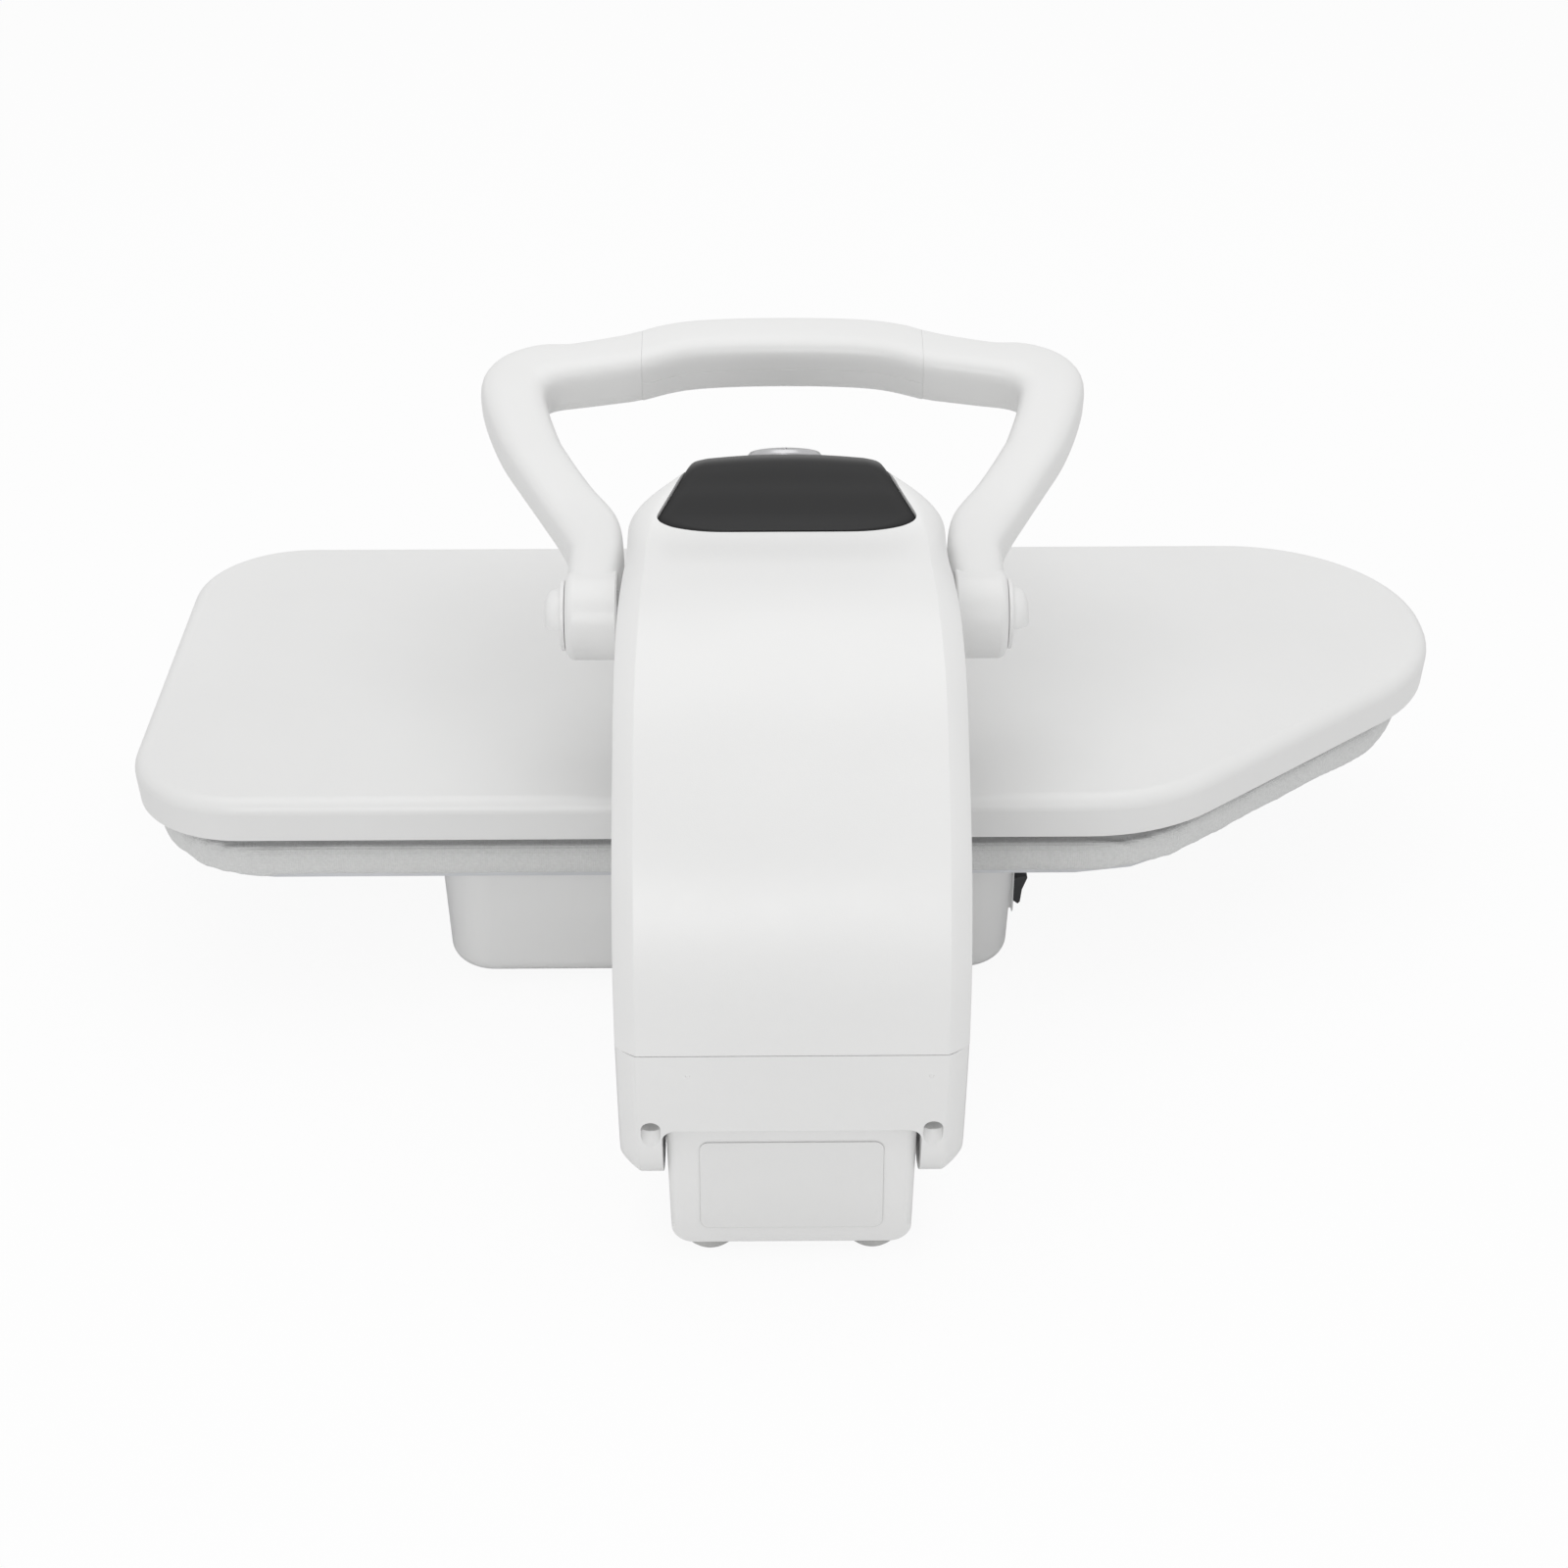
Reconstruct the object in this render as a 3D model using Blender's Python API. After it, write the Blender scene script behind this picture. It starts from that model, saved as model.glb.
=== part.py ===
"""Steam ironing press: a padded board on a base, and a heated shoe on a sprung rear arm with a bow handle."""

import math

import bmesh
import bpy
from mathutils import Vector

# Frame: X runs along the board with 0 on the arm's centre plane and + towards the square end, Y runs
# from the user's side to the rear with 0 at the middle of the board, Z is up with 0 on the table.

# Fits, shared walls and the fineness of round shapes
GAP = 0.0003
RUNNING_GAP = 0.0001
OVERRUN = 0.002
WALL = 0.0028
ARC_STEP = 18.0
SMOOTH_ANGLE = 38.0
ROUND_SIDES = 22
SMALL_SIDES = 12
SLOPE_STEP_SHARE = 0.01
SEARCH_STEP_SHARE = 0.05

# Shoe and board outline, seen from above
SQUARE_END_X = 0.323
NOSE_X = 0.3455
FRONT_Y = 0.1452
REAR_Y = 0.1440
SHOULDER_X = 0.1823
NOSE_SHOULDER_Y = 0.0012
SQUARE_FRONT_RADIUS = 0.058
SQUARE_REAR_RADIUS = 0.058
SHOULDER_RADIUS = 0.095
NOSE_REAR_RADIUS = 0.100
NOSE_FRONT_RADIUS = 0.095

# Sizes that the arm, its hinge and the handle share
ARM_REAR_Y = 0.351
ARM_HALF_X = 0.0745
LOBE_WIDTH = 0.0187
POST_SIDE_GAP = 0.0013

# Shoe: cover, heating plate and what lies on it
SHOE_TOP_Z = 0.122
SKIRT_Z = 0.100
SHOE_EDGE_RADIUS = 0.0075
SKIRT_DRAFT = 0.0012
PLATE_INSET = 0.0062
PLATE_THICKNESS = 0.006
PLATE_EDGE_RADIUS = 0.0016
PLATE_PROUD = 0.0015
STEAM_HOLE_RADIUS = 0.0016
STEAM_HOLE_DEPTH = 0.0025
STEAM_HOLE_ROWS = 3
STEAM_HOLE_COLUMNS = 8
STEAM_FIELD_LENGTH = 0.38
STEAM_FIELD_WIDTH = 0.12
LID_INSET = 0.034
LID_THICKNESS = 0.003
ELEMENT_INSET = 0.021
ELEMENT_RADIUS = 0.0034
ELEMENT_GAP = 0.030
THERMOSTAT_RADIUS = 0.009
THERMOSTAT_HEIGHT = 0.0055
THERMOSTAT_X = 0.085
FUSE_RADIUS = 0.0028
FUSE_LENGTH = 0.022
FUSE_X = 0.125
SHIELD_INSET = 0.0125
SHIELD_THICKNESS = 0.0008
SHIELD_POST_RADIUS = 0.004
SHIELD_POSTS = (
    (0.215, 0.055),
    (0.215, -0.055),
    (0.085, 0.085),
    (0.085, -0.085),
    (-0.135, 0.060),
    (-0.135, -0.060),
    (-0.230, 0.0),
)
SHOE_WINDOW_X = 0.0375
SHOE_WINDOW_Y = 0.034
BRACKET_THICKNESS = 0.0025
BRACKET_HALF_X = 0.0325
BRACKET_HALF_Y = 0.026
BRACKET_EAR_RADIUS = 0.011
INLET_RADIUS = 0.0035
INLET_BORE_RADIUS = 0.002
INLET_HEIGHT = 0.010
INLET_X = 0.062
INLET_Y = 0.040
SHOE_PIN_Y = 0.025
SHOE_PIN_Z = 0.145
SHOE_PIN_RADIUS = 0.005
SHOE_PIN_HEAD = 0.002
SHOE_PIN_HEAD_RADIUS = 0.007

# Board: cushion on a steel tray
PAD_TOP_Z = 0.0979
PAD_BOTTOM_Z = 0.0720
PAD_EDGE_DROP = 0.0016
PAD_INSET = 0.0045
PAD_PINCH = 0.0012
PAD_ROLL = 0.0085
PAD_UNDER_LIP = 0.0125
PAD_CORNER_RADIUS = 0.071
PAD_SHOULDER_X = 0.1781
PAD_NOSE_X = 0.3395
PAD_NOSE_SHOULDER_Y = 0.0030
TRAY_INSET = 0.0150
TRAY_THICKNESS = 0.003

# Base housing under the board
BASE_TOP_Z = 0.0708
BASE_BOTTOM_Z = 0.0065
BASE_RIGHT_X = 0.1732
BASE_LEFT_X = 0.1153
BASE_FRONT_Y = 0.118
BASE_REAR_Y = 0.1237
BASE_CORNER_RADIUS = 0.026
BASE_BOTTOM_RADIUS = 0.009
BASE_DRAFT = 0.0025
FLOOR_THICKNESS = 0.002
FOOT_RADIUS = 0.011
FOOT_FRONT_X = 0.080
FOOT_FRONT_Y = 0.080
FOOT_REAR_INSET = 0.0185
FOOT_REAR_SET_BACK = 0.013
FOOT_FLARE = 0.002

# Rear post, which carries the hinge
POST_HALF_X = ARM_HALF_X - LOBE_WIDTH - POST_SIDE_GAP
HINGE_SET_BACK = 0.048
HINGE_Y = ARM_REAR_Y - HINGE_SET_BACK
POST_SHOULDER_Z = 0.062
POST_BARREL_RADIUS = 0.030
POST_REAR_Y = HINGE_Y + POST_BARREL_RADIUS
POST_BOTTOM_RADIUS = 0.010
POST_EDGE_RADIUS = 0.003
HINGE_Z = 0.070
HINGE_SHAFT_RADIUS = 0.005
HINGE_SHAFT_INSET = 0.0040
HINGE_SHAFT_HALF = ARM_HALF_X - HINGE_SHAFT_INSET
PLATE_LABEL_MARGIN = 0.0145
PLATE_LABEL_HEIGHT = 0.0465
PLATE_LABEL_Z = 0.0381
PLATE_LABEL_THICKNESS = 0.0006
PLATE_LABEL_RADIUS = 0.004
FRAME_THICKNESS = 0.0025
FRAME_SIDE_ROOM = 0.0085
FRAME_HALF_X = POST_HALF_X - FRAME_SIDE_ROOM
FRAME_FRONT_Y = 0.060
FRAME_EAR_REACH = 0.022
FRAME_REAR_Y = HINGE_Y + FRAME_EAR_REACH
FRAME_FLANGE = 0.014
FRAME_EAR_RADIUS = 0.013
FRAME_PASS_HEIGHT = 0.020
SPRING_COIL_RADIUS = 0.0072
SPRING_WIRE_RADIUS = 0.0013
SPRING_TURNS = 6
SPRING_POINTS_PER_TURN = 8
SPRING_PITCH = 0.0040
SPRING_SIDE_ROOM = 0.0035
SPRING_OUTER_X = FRAME_HALF_X - FRAME_THICKNESS - SPRING_SIDE_ROOM
SPRING_INNER_X = SPRING_OUTER_X - SPRING_TURNS * SPRING_PITCH
SPRING_LEG = 0.030
SPRING_SIDES = 4

# Switch, gland, pump, hose, valve seat, power board
SWITCH_Y = 0.088
SWITCH_Z = 0.0410
SWITCH_WIDTH = 0.0130
SWITCH_HEIGHT = 0.0210
SWITCH_RIM = 0.0018
SWITCH_PROUD = 0.0022
SWITCH_DEPTH = 0.012
ROCKER_RADIUS = 0.0119
ROCKER_PIVOT_DEPTH = 0.0052
ROCKER_TILT = 13.0
ROCKER_FACE_ANGLE = 32.0
ROCKER_END_ANGLE = 38.5
ROCKER_HUB_RADIUS = 0.0038
ROCKER_WALL_GAP = 0.0006
GLAND_Y = 0.020
GLAND_Z = 0.034
GLAND_RADIUS = 0.0085
GLAND_COLLAR_RADIUS = 0.0115
GLAND_PROUD = 0.006
GLAND_COLLAR = 0.0025
GLAND_BORE_RADIUS = 0.0038
GLAND_DEPTH = 0.014
PUMP_SIDE_ROOM = 0.007
PUMP_Y = 0.045
PUMP_BODY = (0.034, 0.050, 0.032)
PUMP_X = FRAME_HALF_X + PUMP_SIDE_ROOM + PUMP_BODY[0] / 2
PUMP_NOZZLE_RADIUS = 0.0038
PUMP_NOZZLE_LENGTH = 0.010
PUMP_COIL_RADIUS = 0.021
PUMP_COIL_LENGTH = 0.022
BOARD_BODY = (0.050, 0.070, 0.0016)
BOARD_SIDE_ROOM = 0.012
POWER_BOARD_X = PUMP_X + PUMP_BODY[0] / 2 + BOARD_SIDE_ROOM + BOARD_BODY[0] / 2
POWER_BOARD_Y = 0.030
STANDOFF_RADIUS = 0.003
STANDOFF_HEIGHT = 0.006
CAPACITOR_RADIUS = 0.007
CAPACITOR_HEIGHT = 0.016
VALVE_RADIUS = 0.0080
VALVE_LENGTH = 0.0100
VALVE_SPIGOT_RADIUS = 0.0034
VALVE_SPIGOT_LENGTH = 0.009
HOSE_RADIUS = 0.0054
HOSE_SIDES = 10
HOSE_STEPS = 12
HOSE_GRIP = 0.006
HOSE_STRAIGHT = 0.0072

# Water tank, a drawer at the front of the base
TANK_HALF_X = 0.080
TANK_REAR_Y = 0.040
TANK_BOTTOM_Z = 0.0150
TANK_TOP_Z = 0.0600
TANK_WALL = 0.0022
TANK_CORNER_RADIUS = 0.008
TANK_FACE_HALF_X = 0.0870
TANK_FACE_BOTTOM_Z = 0.0120
TANK_FACE_TOP_Z = 0.0665
TANK_FACE_THICKNESS = 0.0035
TANK_FACE_RADIUS = 0.006
TANK_FACE_PROUD = 0.0012
TANK_SIDE_GAP = 0.0008
TANK_LID_THICKNESS = 0.0022
TANK_FILL_RADIUS = 0.010
TANK_FILL_X = 0.045
TANK_PULL_RADIUS = 0.017
TANK_PULL_DEPTH = 0.0022
TANK_GUIDE_THICKNESS = 0.002
TANK_OUTLET_RADIUS = 0.0045
TANK_OUTLET_LENGTH = 0.005

# Arm casing: each row of shares gives one station of the C, from the rear seam over the crest to the shoe
ARM_FRONT_Y = 0.046
ARM_SEAM_Z = 0.1196
ARM_CREST_Z = 0.2825
ARM_WALL = 0.0028
ARM_SPLIT_SHARE = 0.45
ARM_INNER_CORNER = 0.007
ARM_STEPS_PER_ROW = 2
ARM_BEVEL_STEPS = 3
ARM_BEVEL_POWER_SHARE = 2.1
# outer depth share, outer height share, inner depth share, inner height share, crown half width share,
# side half width share, bevel depth share
ARM_ROW_SHARES = (
    (1.000, 0.000, 0.733, 0.000, 0.875, 1.000, 0.101),
    (0.992, 0.230, 0.725, 0.113, 0.875, 1.000, 0.101),
    (0.952, 0.451, 0.698, 0.217, 0.875, 1.000, 0.101),
    (0.880, 0.650, 0.652, 0.288, 0.875, 1.000, 0.101),
    (0.796, 0.822, 0.599, 0.323, 0.872, 1.000, 0.105),
    (0.695, 0.904, 0.544, 0.334, 0.859, 0.997, 0.114),
    (0.594, 0.909, 0.499, 0.334, 0.848, 0.991, 0.134),
    (0.491, 0.899, 0.466, 0.333, 0.835, 0.984, 0.181),
    (0.431, 0.961, 0.443, 0.328, 0.721, 0.977, 0.250),
    (0.375, 1.000, 0.423, 0.316, 0.540, 0.960, 0.510),
    (0.280, 0.891, 0.398, 0.291, 0.525, 0.940, 0.450),
    (0.179, 0.754, 0.378, 0.254, 0.530, 0.909, 0.376),
    (0.091, 0.595, 0.365, 0.211, 0.540, 0.875, 0.309),
    (0.030, 0.395, 0.358, 0.168, 0.550, 0.843, 0.242),
    (0.005, 0.223, 0.355, 0.119, 0.550, 0.819, 0.174),
    (0.000, 0.055, 0.354, 0.055, 0.550, 0.805, 0.161),
)

# Lower cover of the arm, with the two hinge lobes
LOBE_RADIUS = 0.0373
LOBE_INNER_X = POST_HALF_X + POST_SIDE_GAP
LOWER_MID_SET_BACK = 0.004
LOWER_MID_Y = ARM_REAR_Y - LOWER_MID_SET_BACK
LOWER_MID_Z = 0.0955
LOWER_TOE_SET_BACK = 0.0095
LOWER_TOE_Y = ARM_REAR_Y - LOWER_TOE_SET_BACK
NOTCH_Z = 0.0742
NOTCH_RADIUS = 0.004
LOBE_ROOF_Z = 0.104
LOWER_BEVEL = 0.0100
LOWER_WALL = 0.003
LOBE_FRONT_Z = 0.098
SCREW_INSET = 0.0140
SCREW_X = ARM_HALF_X - SCREW_INSET
SCREW_Z = 0.0735
SCREW_HOLE_RADIUS = 0.0041
SCREW_HOLE_DEPTH = 0.014
SCREW_HEAD_RADIUS = 0.0034
SCREW_HEAD_HEIGHT = 0.0024
SCREW_SHANK_RADIUS = 0.0016
SCREW_SHANK_LENGTH = 0.009
SCREW_SLOT = 0.0009
EAR_SLOT_INSET = 0.0145
EAR_SLOT_INNER_X = ARM_HALF_X - EAR_SLOT_INSET
EAR_SLOT_RADIUS = 0.0170
BUSH_RADIUS = 0.0085
BUSH_LENGTH = 0.0090

# Steel frame of the arm
ARM_PLATE_INSET = 0.0140
ARM_PLATE_X = ARM_HALF_X - ARM_PLATE_INSET
ARM_PLATE_THICKNESS = 0.003
ARM_PLATE_OUTER_SHARE = 0.42
ARM_PLATE_INNER_SHARE = 0.86
ARM_PLATE_LAST_ROW = 7.5
ARM_EAR_RADIUS = 0.0155
ARM_NECK_WIDTH = 0.024
ARM_ROD_RADIUS = 0.006
ARM_ROD_ROWS = (1.5, 4.5)

# Handle: rows follow the bow from a boss to the middle of the grip, in the handle's own plane
HANDLE_DEPTH_SHARE = 0.425693
HANDLE_Y = (ARM_REAR_Y + ARM_FRONT_Y) * HANDLE_DEPTH_SHARE - ARM_FRONT_Y
HANDLE_HEIGHT_SHARE = 0.56108
HANDLE_Z = ARM_SEAM_Z + (ARM_CREST_Z - ARM_SEAM_Z) * HANDLE_HEIGHT_SHARE
HANDLE_TILT = 14.5
HANDLE_REACH = 0.209
HANDLE_SIDE_GAP = 0.0045
HANDLE_BOSS_LENGTH = 0.0245
HANDLE_BOSS_INNER_X = ARM_HALF_X + HANDLE_SIDE_GAP
HANDLE_BOSS_OUTER_X = HANDLE_BOSS_INNER_X + HANDLE_BOSS_LENGTH
HANDLE_BOSS_RADIUS = 0.021
HANDLE_BOSS_EDGE = 0.0050
HANDLE_SEAM_INSET = 0.0020
HANDLE_SEAM_X = ARM_HALF_X - HANDLE_SEAM_INSET
HANDLE_SPREAD_SHARE = 1.343
HANDLE_MAX_X = HANDLE_BOSS_OUTER_X * HANDLE_SPREAD_SHARE
HANDLE_SECTION_SHARE = 0.3285
HANDLE_SECTION = HANDLE_BOSS_OUTER_X * HANDLE_SECTION_SHARE
HANDLE_SECTION_POWER_SHARE = 3.4
HANDLE_TURN_STEP_SHARE = 0.6
HANDLE_ROOT_SHARE = 0.353
HANDLE_ROOT_RISE = HANDLE_BOSS_RADIUS - HANDLE_SECTION * HANDLE_ROOT_SHARE
HANDLE_ROOT_REACH = HANDLE_REACH * 0.38
HANDLE_STEPS_PER_ROW = 1
HANDLE_SECTION_SIDES = 12
GRIP_WALL = 0.0026
GRIP_STATIONS = 8
HANDLE_CORE_RADIUS = 0.0078
HANDLE_CORE_REACH = 0.0195
HANDLE_CORE_HALF_X = HANDLE_SEAM_X + HANDLE_CORE_REACH
HANDLE_SHAFT_RADIUS = 0.006
HANDLE_SHAFT_COVER = 0.0085
HANDLE_SHAFT_HALF = HANDLE_BOSS_OUTER_X - HANDLE_SHAFT_COVER
# sideways share, reach share, width share, thickness share
HANDLE_ROW_SHARES = (
    (0.650, 0.000, 0.762, 0.693),
    (0.650, 0.110, 0.767, 0.683),
    (0.652, 0.185, 0.782, 0.683),
    (0.688, 0.285, 0.895, 0.676),
    (0.769, 0.390, 0.843, 0.681),
    (0.847, 0.495, 0.839, 0.700),
    (0.920, 0.603, 0.865, 0.740),
    (0.972, 0.715, 0.899, 0.791),
    (1.000, 0.812, 0.919, 0.826),
    (0.953, 0.860, 1.090, 0.818),
    (0.888, 0.898, 0.902, 0.837),
    (0.786, 0.898, 0.902, 0.846),
    (0.660, 0.917, 0.907, 0.856),
    (0.544, 0.940, 0.916, 0.865),
    (0.435, 0.971, 0.925, 0.874),
    (0.324, 0.989, 0.930, 0.884),
    (0.160, 0.998, 0.930, 0.884),
    (0.000, 1.000, 0.930, 0.884),
)
KNOB_RADIUS = 0.0165
KNOB_THICKNESS = 0.0022
KNOB_EDGE = 0.0006
KNOB_STEM_RADIUS = 0.0042
KNOB_STEM_LENGTH = 0.005
KNOB_LUG_RADIUS = 0.0143
KNOB_LUG_FLAT = -0.0022
KNOB_LUG_HEIGHT = 0.0078
KNOB_DOME_SHARES = ((0, 1), (0.36, 0.95), (0.68, 0.78), (0.90, 0.50), (1, 0.22))

# Control panel on the crest, with its dial, buttons, window and board
PANEL_REAR_ROW = 7.0
PANEL_FRONT_ROW = 12.75
PANEL_THICKNESS = 0.0078
# half width shares of the panel, one for each of the arm's rows from its rear end
PANEL_HALF_SHARES = ((0.835,), (0.704,), (0.595,), (0.570,), (0.545,), (0.530,), (0.530,))
PANEL_PROUD = 0.0005
PANEL_EDGE = 0.0012
PANEL_REAR_RADIUS = 0.022
PANEL_FRONT_RADIUS = 0.014
PANEL_STEP_SHARES = (0.0, 0.04, 0.14, 0.36, 0.68)
PANEL_ROUND_ROWS_SHARE = 0.42
DIAL_ROW = 10.30
DIAL_RADIUS = 0.0182
DIAL_HEIGHT = 0.0038
DIAL_EDGE = 0.0010
DIAL_DISH_RADIUS = 0.0140
DIAL_DISH_DEPTH = 0.0010
DIAL_LIFT = 0.0008
DIAL_STEM_RADIUS = 0.003
DIAL_POINTER_HALF = 0.0008
DIAL_POINTER_LENGTH = 0.004
DIAL_POINTER_DEPTH = 0.0005
BUTTON_ROW = 11.25
BUTTON_X = 0.0200
BUTTON_RADIUS = 0.0065
BUTTON_PROUD = 0.0014
BUTTON_DEPTH = 0.0034
BUTTON_EDGE = 0.0005
WINDOW_REAR_ROW = 11.70
WINDOW_FRONT_ROW = 12.25
WINDOW_HALF_X = 0.0220
WINDOW_THICKNESS = 0.0022
WINDOW_STEPS = 3
BOARD_REAR_ROW = 9.9
BOARD_FRONT_ROW = 12.0
BOARD_DROP = 0.0115
BOARD_HALF_X = 0.028
BOARD_THICKNESS = 0.0016
CARRIER_MARGIN = 0.0075
CARRIER_THICKNESS = 0.0016
CARRIER_POST_RADIUS = 0.0026

COLOURS = {
    "white_plastic": ((0.80, 0.80, 0.80), 0.36, 0.0),
    "grey_cloth": ((0.62, 0.62, 0.62), 0.90, 0.0),
    "black_gloss": ((0.045, 0.045, 0.045), 0.25, 0.0),
    "black_plastic": ((0.030, 0.030, 0.030), 0.45, 0.0),
    "silver": ((0.72, 0.72, 0.72), 0.28, 1.0),
    "zinc_steel": ((0.55, 0.56, 0.58), 0.42, 1.0),
    "cast_aluminium": ((0.66, 0.67, 0.68), 0.48, 1.0),
    "spring_steel": ((0.35, 0.35, 0.36), 0.38, 1.0),
    "bronze": ((0.62, 0.42, 0.22), 0.40, 1.0),
    "brass": ((0.74, 0.56, 0.26), 0.34, 1.0),
    "pale_rubber": ((0.60, 0.60, 0.59), 0.80, 0.0),
    "clear_grey": ((0.55, 0.60, 0.64), 0.15, 0.0),
    "board_green": ((0.05, 0.22, 0.11), 0.50, 0.0),
    "label": ((0.74, 0.74, 0.74), 0.50, 0.0),
}

# The model's origin is the middle of the whole press, on the table
CENTRE_X = (SQUARE_END_X - NOSE_X) / 2
CENTRE_Y = (ARM_REAR_Y - FRONT_Y) / 2

for old in list(bpy.data.objects):
    bpy.data.objects.remove(old)


def place_on(axis, origin):
    """A frame (origin, u, v, w) whose w runs along a main axis."""
    units = {
        "X": (Vector((0, 1, 0)), Vector((0, 0, 1)), Vector((1, 0, 0))),
        "Y": (Vector((1, 0, 0)), Vector((0, 0, 1)), Vector((0, 1, 0))),
        "Z": (Vector((1, 0, 0)), Vector((0, 1, 0)), Vector((0, 0, 1))),
    }[axis]
    return (Vector(origin), *units)


def flip(frame):
    """The same frame with u and w turned the other way."""
    origin, u, v, w = frame
    return (origin, -u, v, -w)


def at(frame, u, v, w):
    origin, along_u, along_v, along_w = frame
    return origin + along_u * u + along_v * v + along_w * w


GROUND = place_on("Z", (0, 0, 0))
SIDE = place_on("X", (0, 0, 0))
BACK = place_on("Y", (0, 0, 0))


def loft(rings, closed=False, paired=False):
    """A solid skinned over rings of equal length. Paired rings hold an outer path and its inner path back."""
    mesh = bmesh.new()
    loops = [[mesh.verts.new(point) for point in ring] for ring in rings]
    count = len(loops[0])
    steps = list(zip(loops, loops[1:]))
    if closed:
        steps.append((loops[-1], loops[0]))
    for near, far in steps:
        for i in range(count):
            j = (i + 1) % count
            mesh.faces.new((near[i], near[j], far[j], far[i]))
    if not closed:
        for loop in (loops[0], loops[-1]):
            if paired:
                for i in range(count // 2 - 1):
                    mesh.faces.new((loop[i], loop[i + 1], loop[count - 2 - i], loop[count - 1 - i]))
            else:
                mesh.faces.new(loop)
    bmesh.ops.recalc_face_normals(mesh, faces=mesh.faces)
    return mesh


def rounded(corners):
    """Points and outward normals round a convex outline, counterclockwise, of (u, v, radius) corners."""
    outline = []
    for i, (u, v, radius) in enumerate(corners):
        corner = Vector((u, v))
        back = (Vector(corners[i - 1][:2]) - corner).normalized()
        ahead = (Vector(corners[(i + 1) % len(corners)][:2]) - corner).normalized()
        half = back.angle(ahead) / 2
        centre = corner + (back + ahead).normalized() * (radius / math.sin(half))
        start = math.atan2(back.x, -back.y)
        sweep = math.pi - 2 * half
        steps = max(1, round(math.degrees(sweep) / ARC_STEP))
        for k in range(steps + 1):
            angle = start + sweep * k / steps
            normal = Vector((math.cos(angle), math.sin(angle)))
            outline.append((centre + normal * radius, normal))
    return outline


def round_rectangle(half_u, half_v, radius, u=0, v=0):
    return rounded(
        (
            (u + half_u, v - half_v, radius),
            (u + half_u, v + half_v, radius),
            (u - half_u, v + half_v, radius),
            (u - half_u, v - half_v, radius),
        )
    )


def ring_at(outline, inset, height, frame=GROUND):
    return [at(frame, *(point - normal * inset), height) for point, normal in outline]


def stack(levels, outline, frame=GROUND):
    """A solid of an outline drawn in by each level's inset at its height."""
    return loft([ring_at(outline, inset, height, frame) for height, inset in levels])


def circle(sides):
    return [Vector((math.cos(a), math.sin(a))) for a in (2 * math.pi * k / sides for k in range(sides))]


def turned(levels, frame, sides=ROUND_SIDES, closed=False):
    """A turned solid of (height along the axis, radius) levels."""
    rings = [[at(frame, *(point * radius), height) for point in circle(sides)] for height, radius in levels]
    return loft(rings, closed)


def rod(frame, radius, low, high, sides=ROUND_SIDES):
    return turned(((low, radius), (high, radius)), frame, sides)


def prism(outline, low, high, frame):
    """An outline of (u, v) points pushed from low to high along the frame's axis."""
    return loft([[at(frame, u, v, w) for u, v in outline] for w in (low, high)])


def box(low, high):
    outline = ((low[0], low[1]), (high[0], low[1]), (high[0], high[1]), (low[0], high[1]))
    return prism(outline, low[2], high[2], GROUND)


def gathered(meshes):
    """Several closed shapes, clear of each other, as one mesh."""
    whole = bmesh.new()
    for mesh in meshes:
        data = bpy.data.meshes.new("shape")
        mesh.to_mesh(data)
        mesh.free()
        whole.from_mesh(data)
        bpy.data.meshes.remove(data)
    return whole


def arc(centre, radius, start, end, steps):
    """Points of an arc in degrees, from start to end."""
    points = []
    for k in range(steps + 1):
        angle = math.radians(start + (end - start) * k / steps)
        points.append((centre[0] + radius * math.cos(angle), centre[1] + radius * math.sin(angle)))
    return points


def soften(mesh, width, segments, wanted):
    """Bevels the edges whose two ends the test accepts."""
    edges = [edge for edge in mesh.edges if wanted(edge.verts[0].co, edge.verts[1].co)]
    bmesh.ops.bevel(mesh, geom=edges, offset=width, segments=segments, profile=0.5, affect="EDGES")
    return mesh


def curve_through(rows, position):
    """A smooth curve through rows of values, read at a row number with a fraction."""
    last = len(rows) - 1
    k = min(int(position), last - 1)
    t = position - k
    before, first, second, after = rows[max(k - 1, 0)], rows[k], rows[k + 1], rows[min(k + 2, last)]
    values = []
    for a, b, c, d in zip(before, first, second, after):
        bend = (-a + 3 * b - 3 * c + d) * t * t * t + (2 * a - 5 * b + 4 * c - d) * t * t
        values.append(b + (bend + (c - a) * t) / 2)
    return values


def sweep(points, radius, sides):
    """A round tube along points, its section carried without twist."""
    rings = []
    normal = None
    for i, point in enumerate(points):
        ahead = (points[min(i + 1, len(points) - 1)] - points[max(i - 1, 0)]).normalized()
        if normal is None:
            normal = ahead.orthogonal()
        normal = (normal - ahead * normal.dot(ahead)).normalized()
        across = ahead.cross(normal)
        rings.append([point + (normal * unit.x + across * unit.y) * radius for unit in circle(sides)])
    return loft(rings)


MATERIALS = {}
for shade, (colour, roughness, metallic) in COLOURS.items():
    finish = bpy.data.materials.new(shade)
    finish.use_nodes = True
    shader = finish.node_tree.nodes["Principled BSDF"]
    shader.inputs["Base Color"].default_value = (*colour, 1)
    shader.inputs["Roughness"].default_value = roughness
    shader.inputs["Metallic"].default_value = metallic
    finish.diffuse_color = (*colour, 1)
    MATERIALS[shade] = finish


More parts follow.
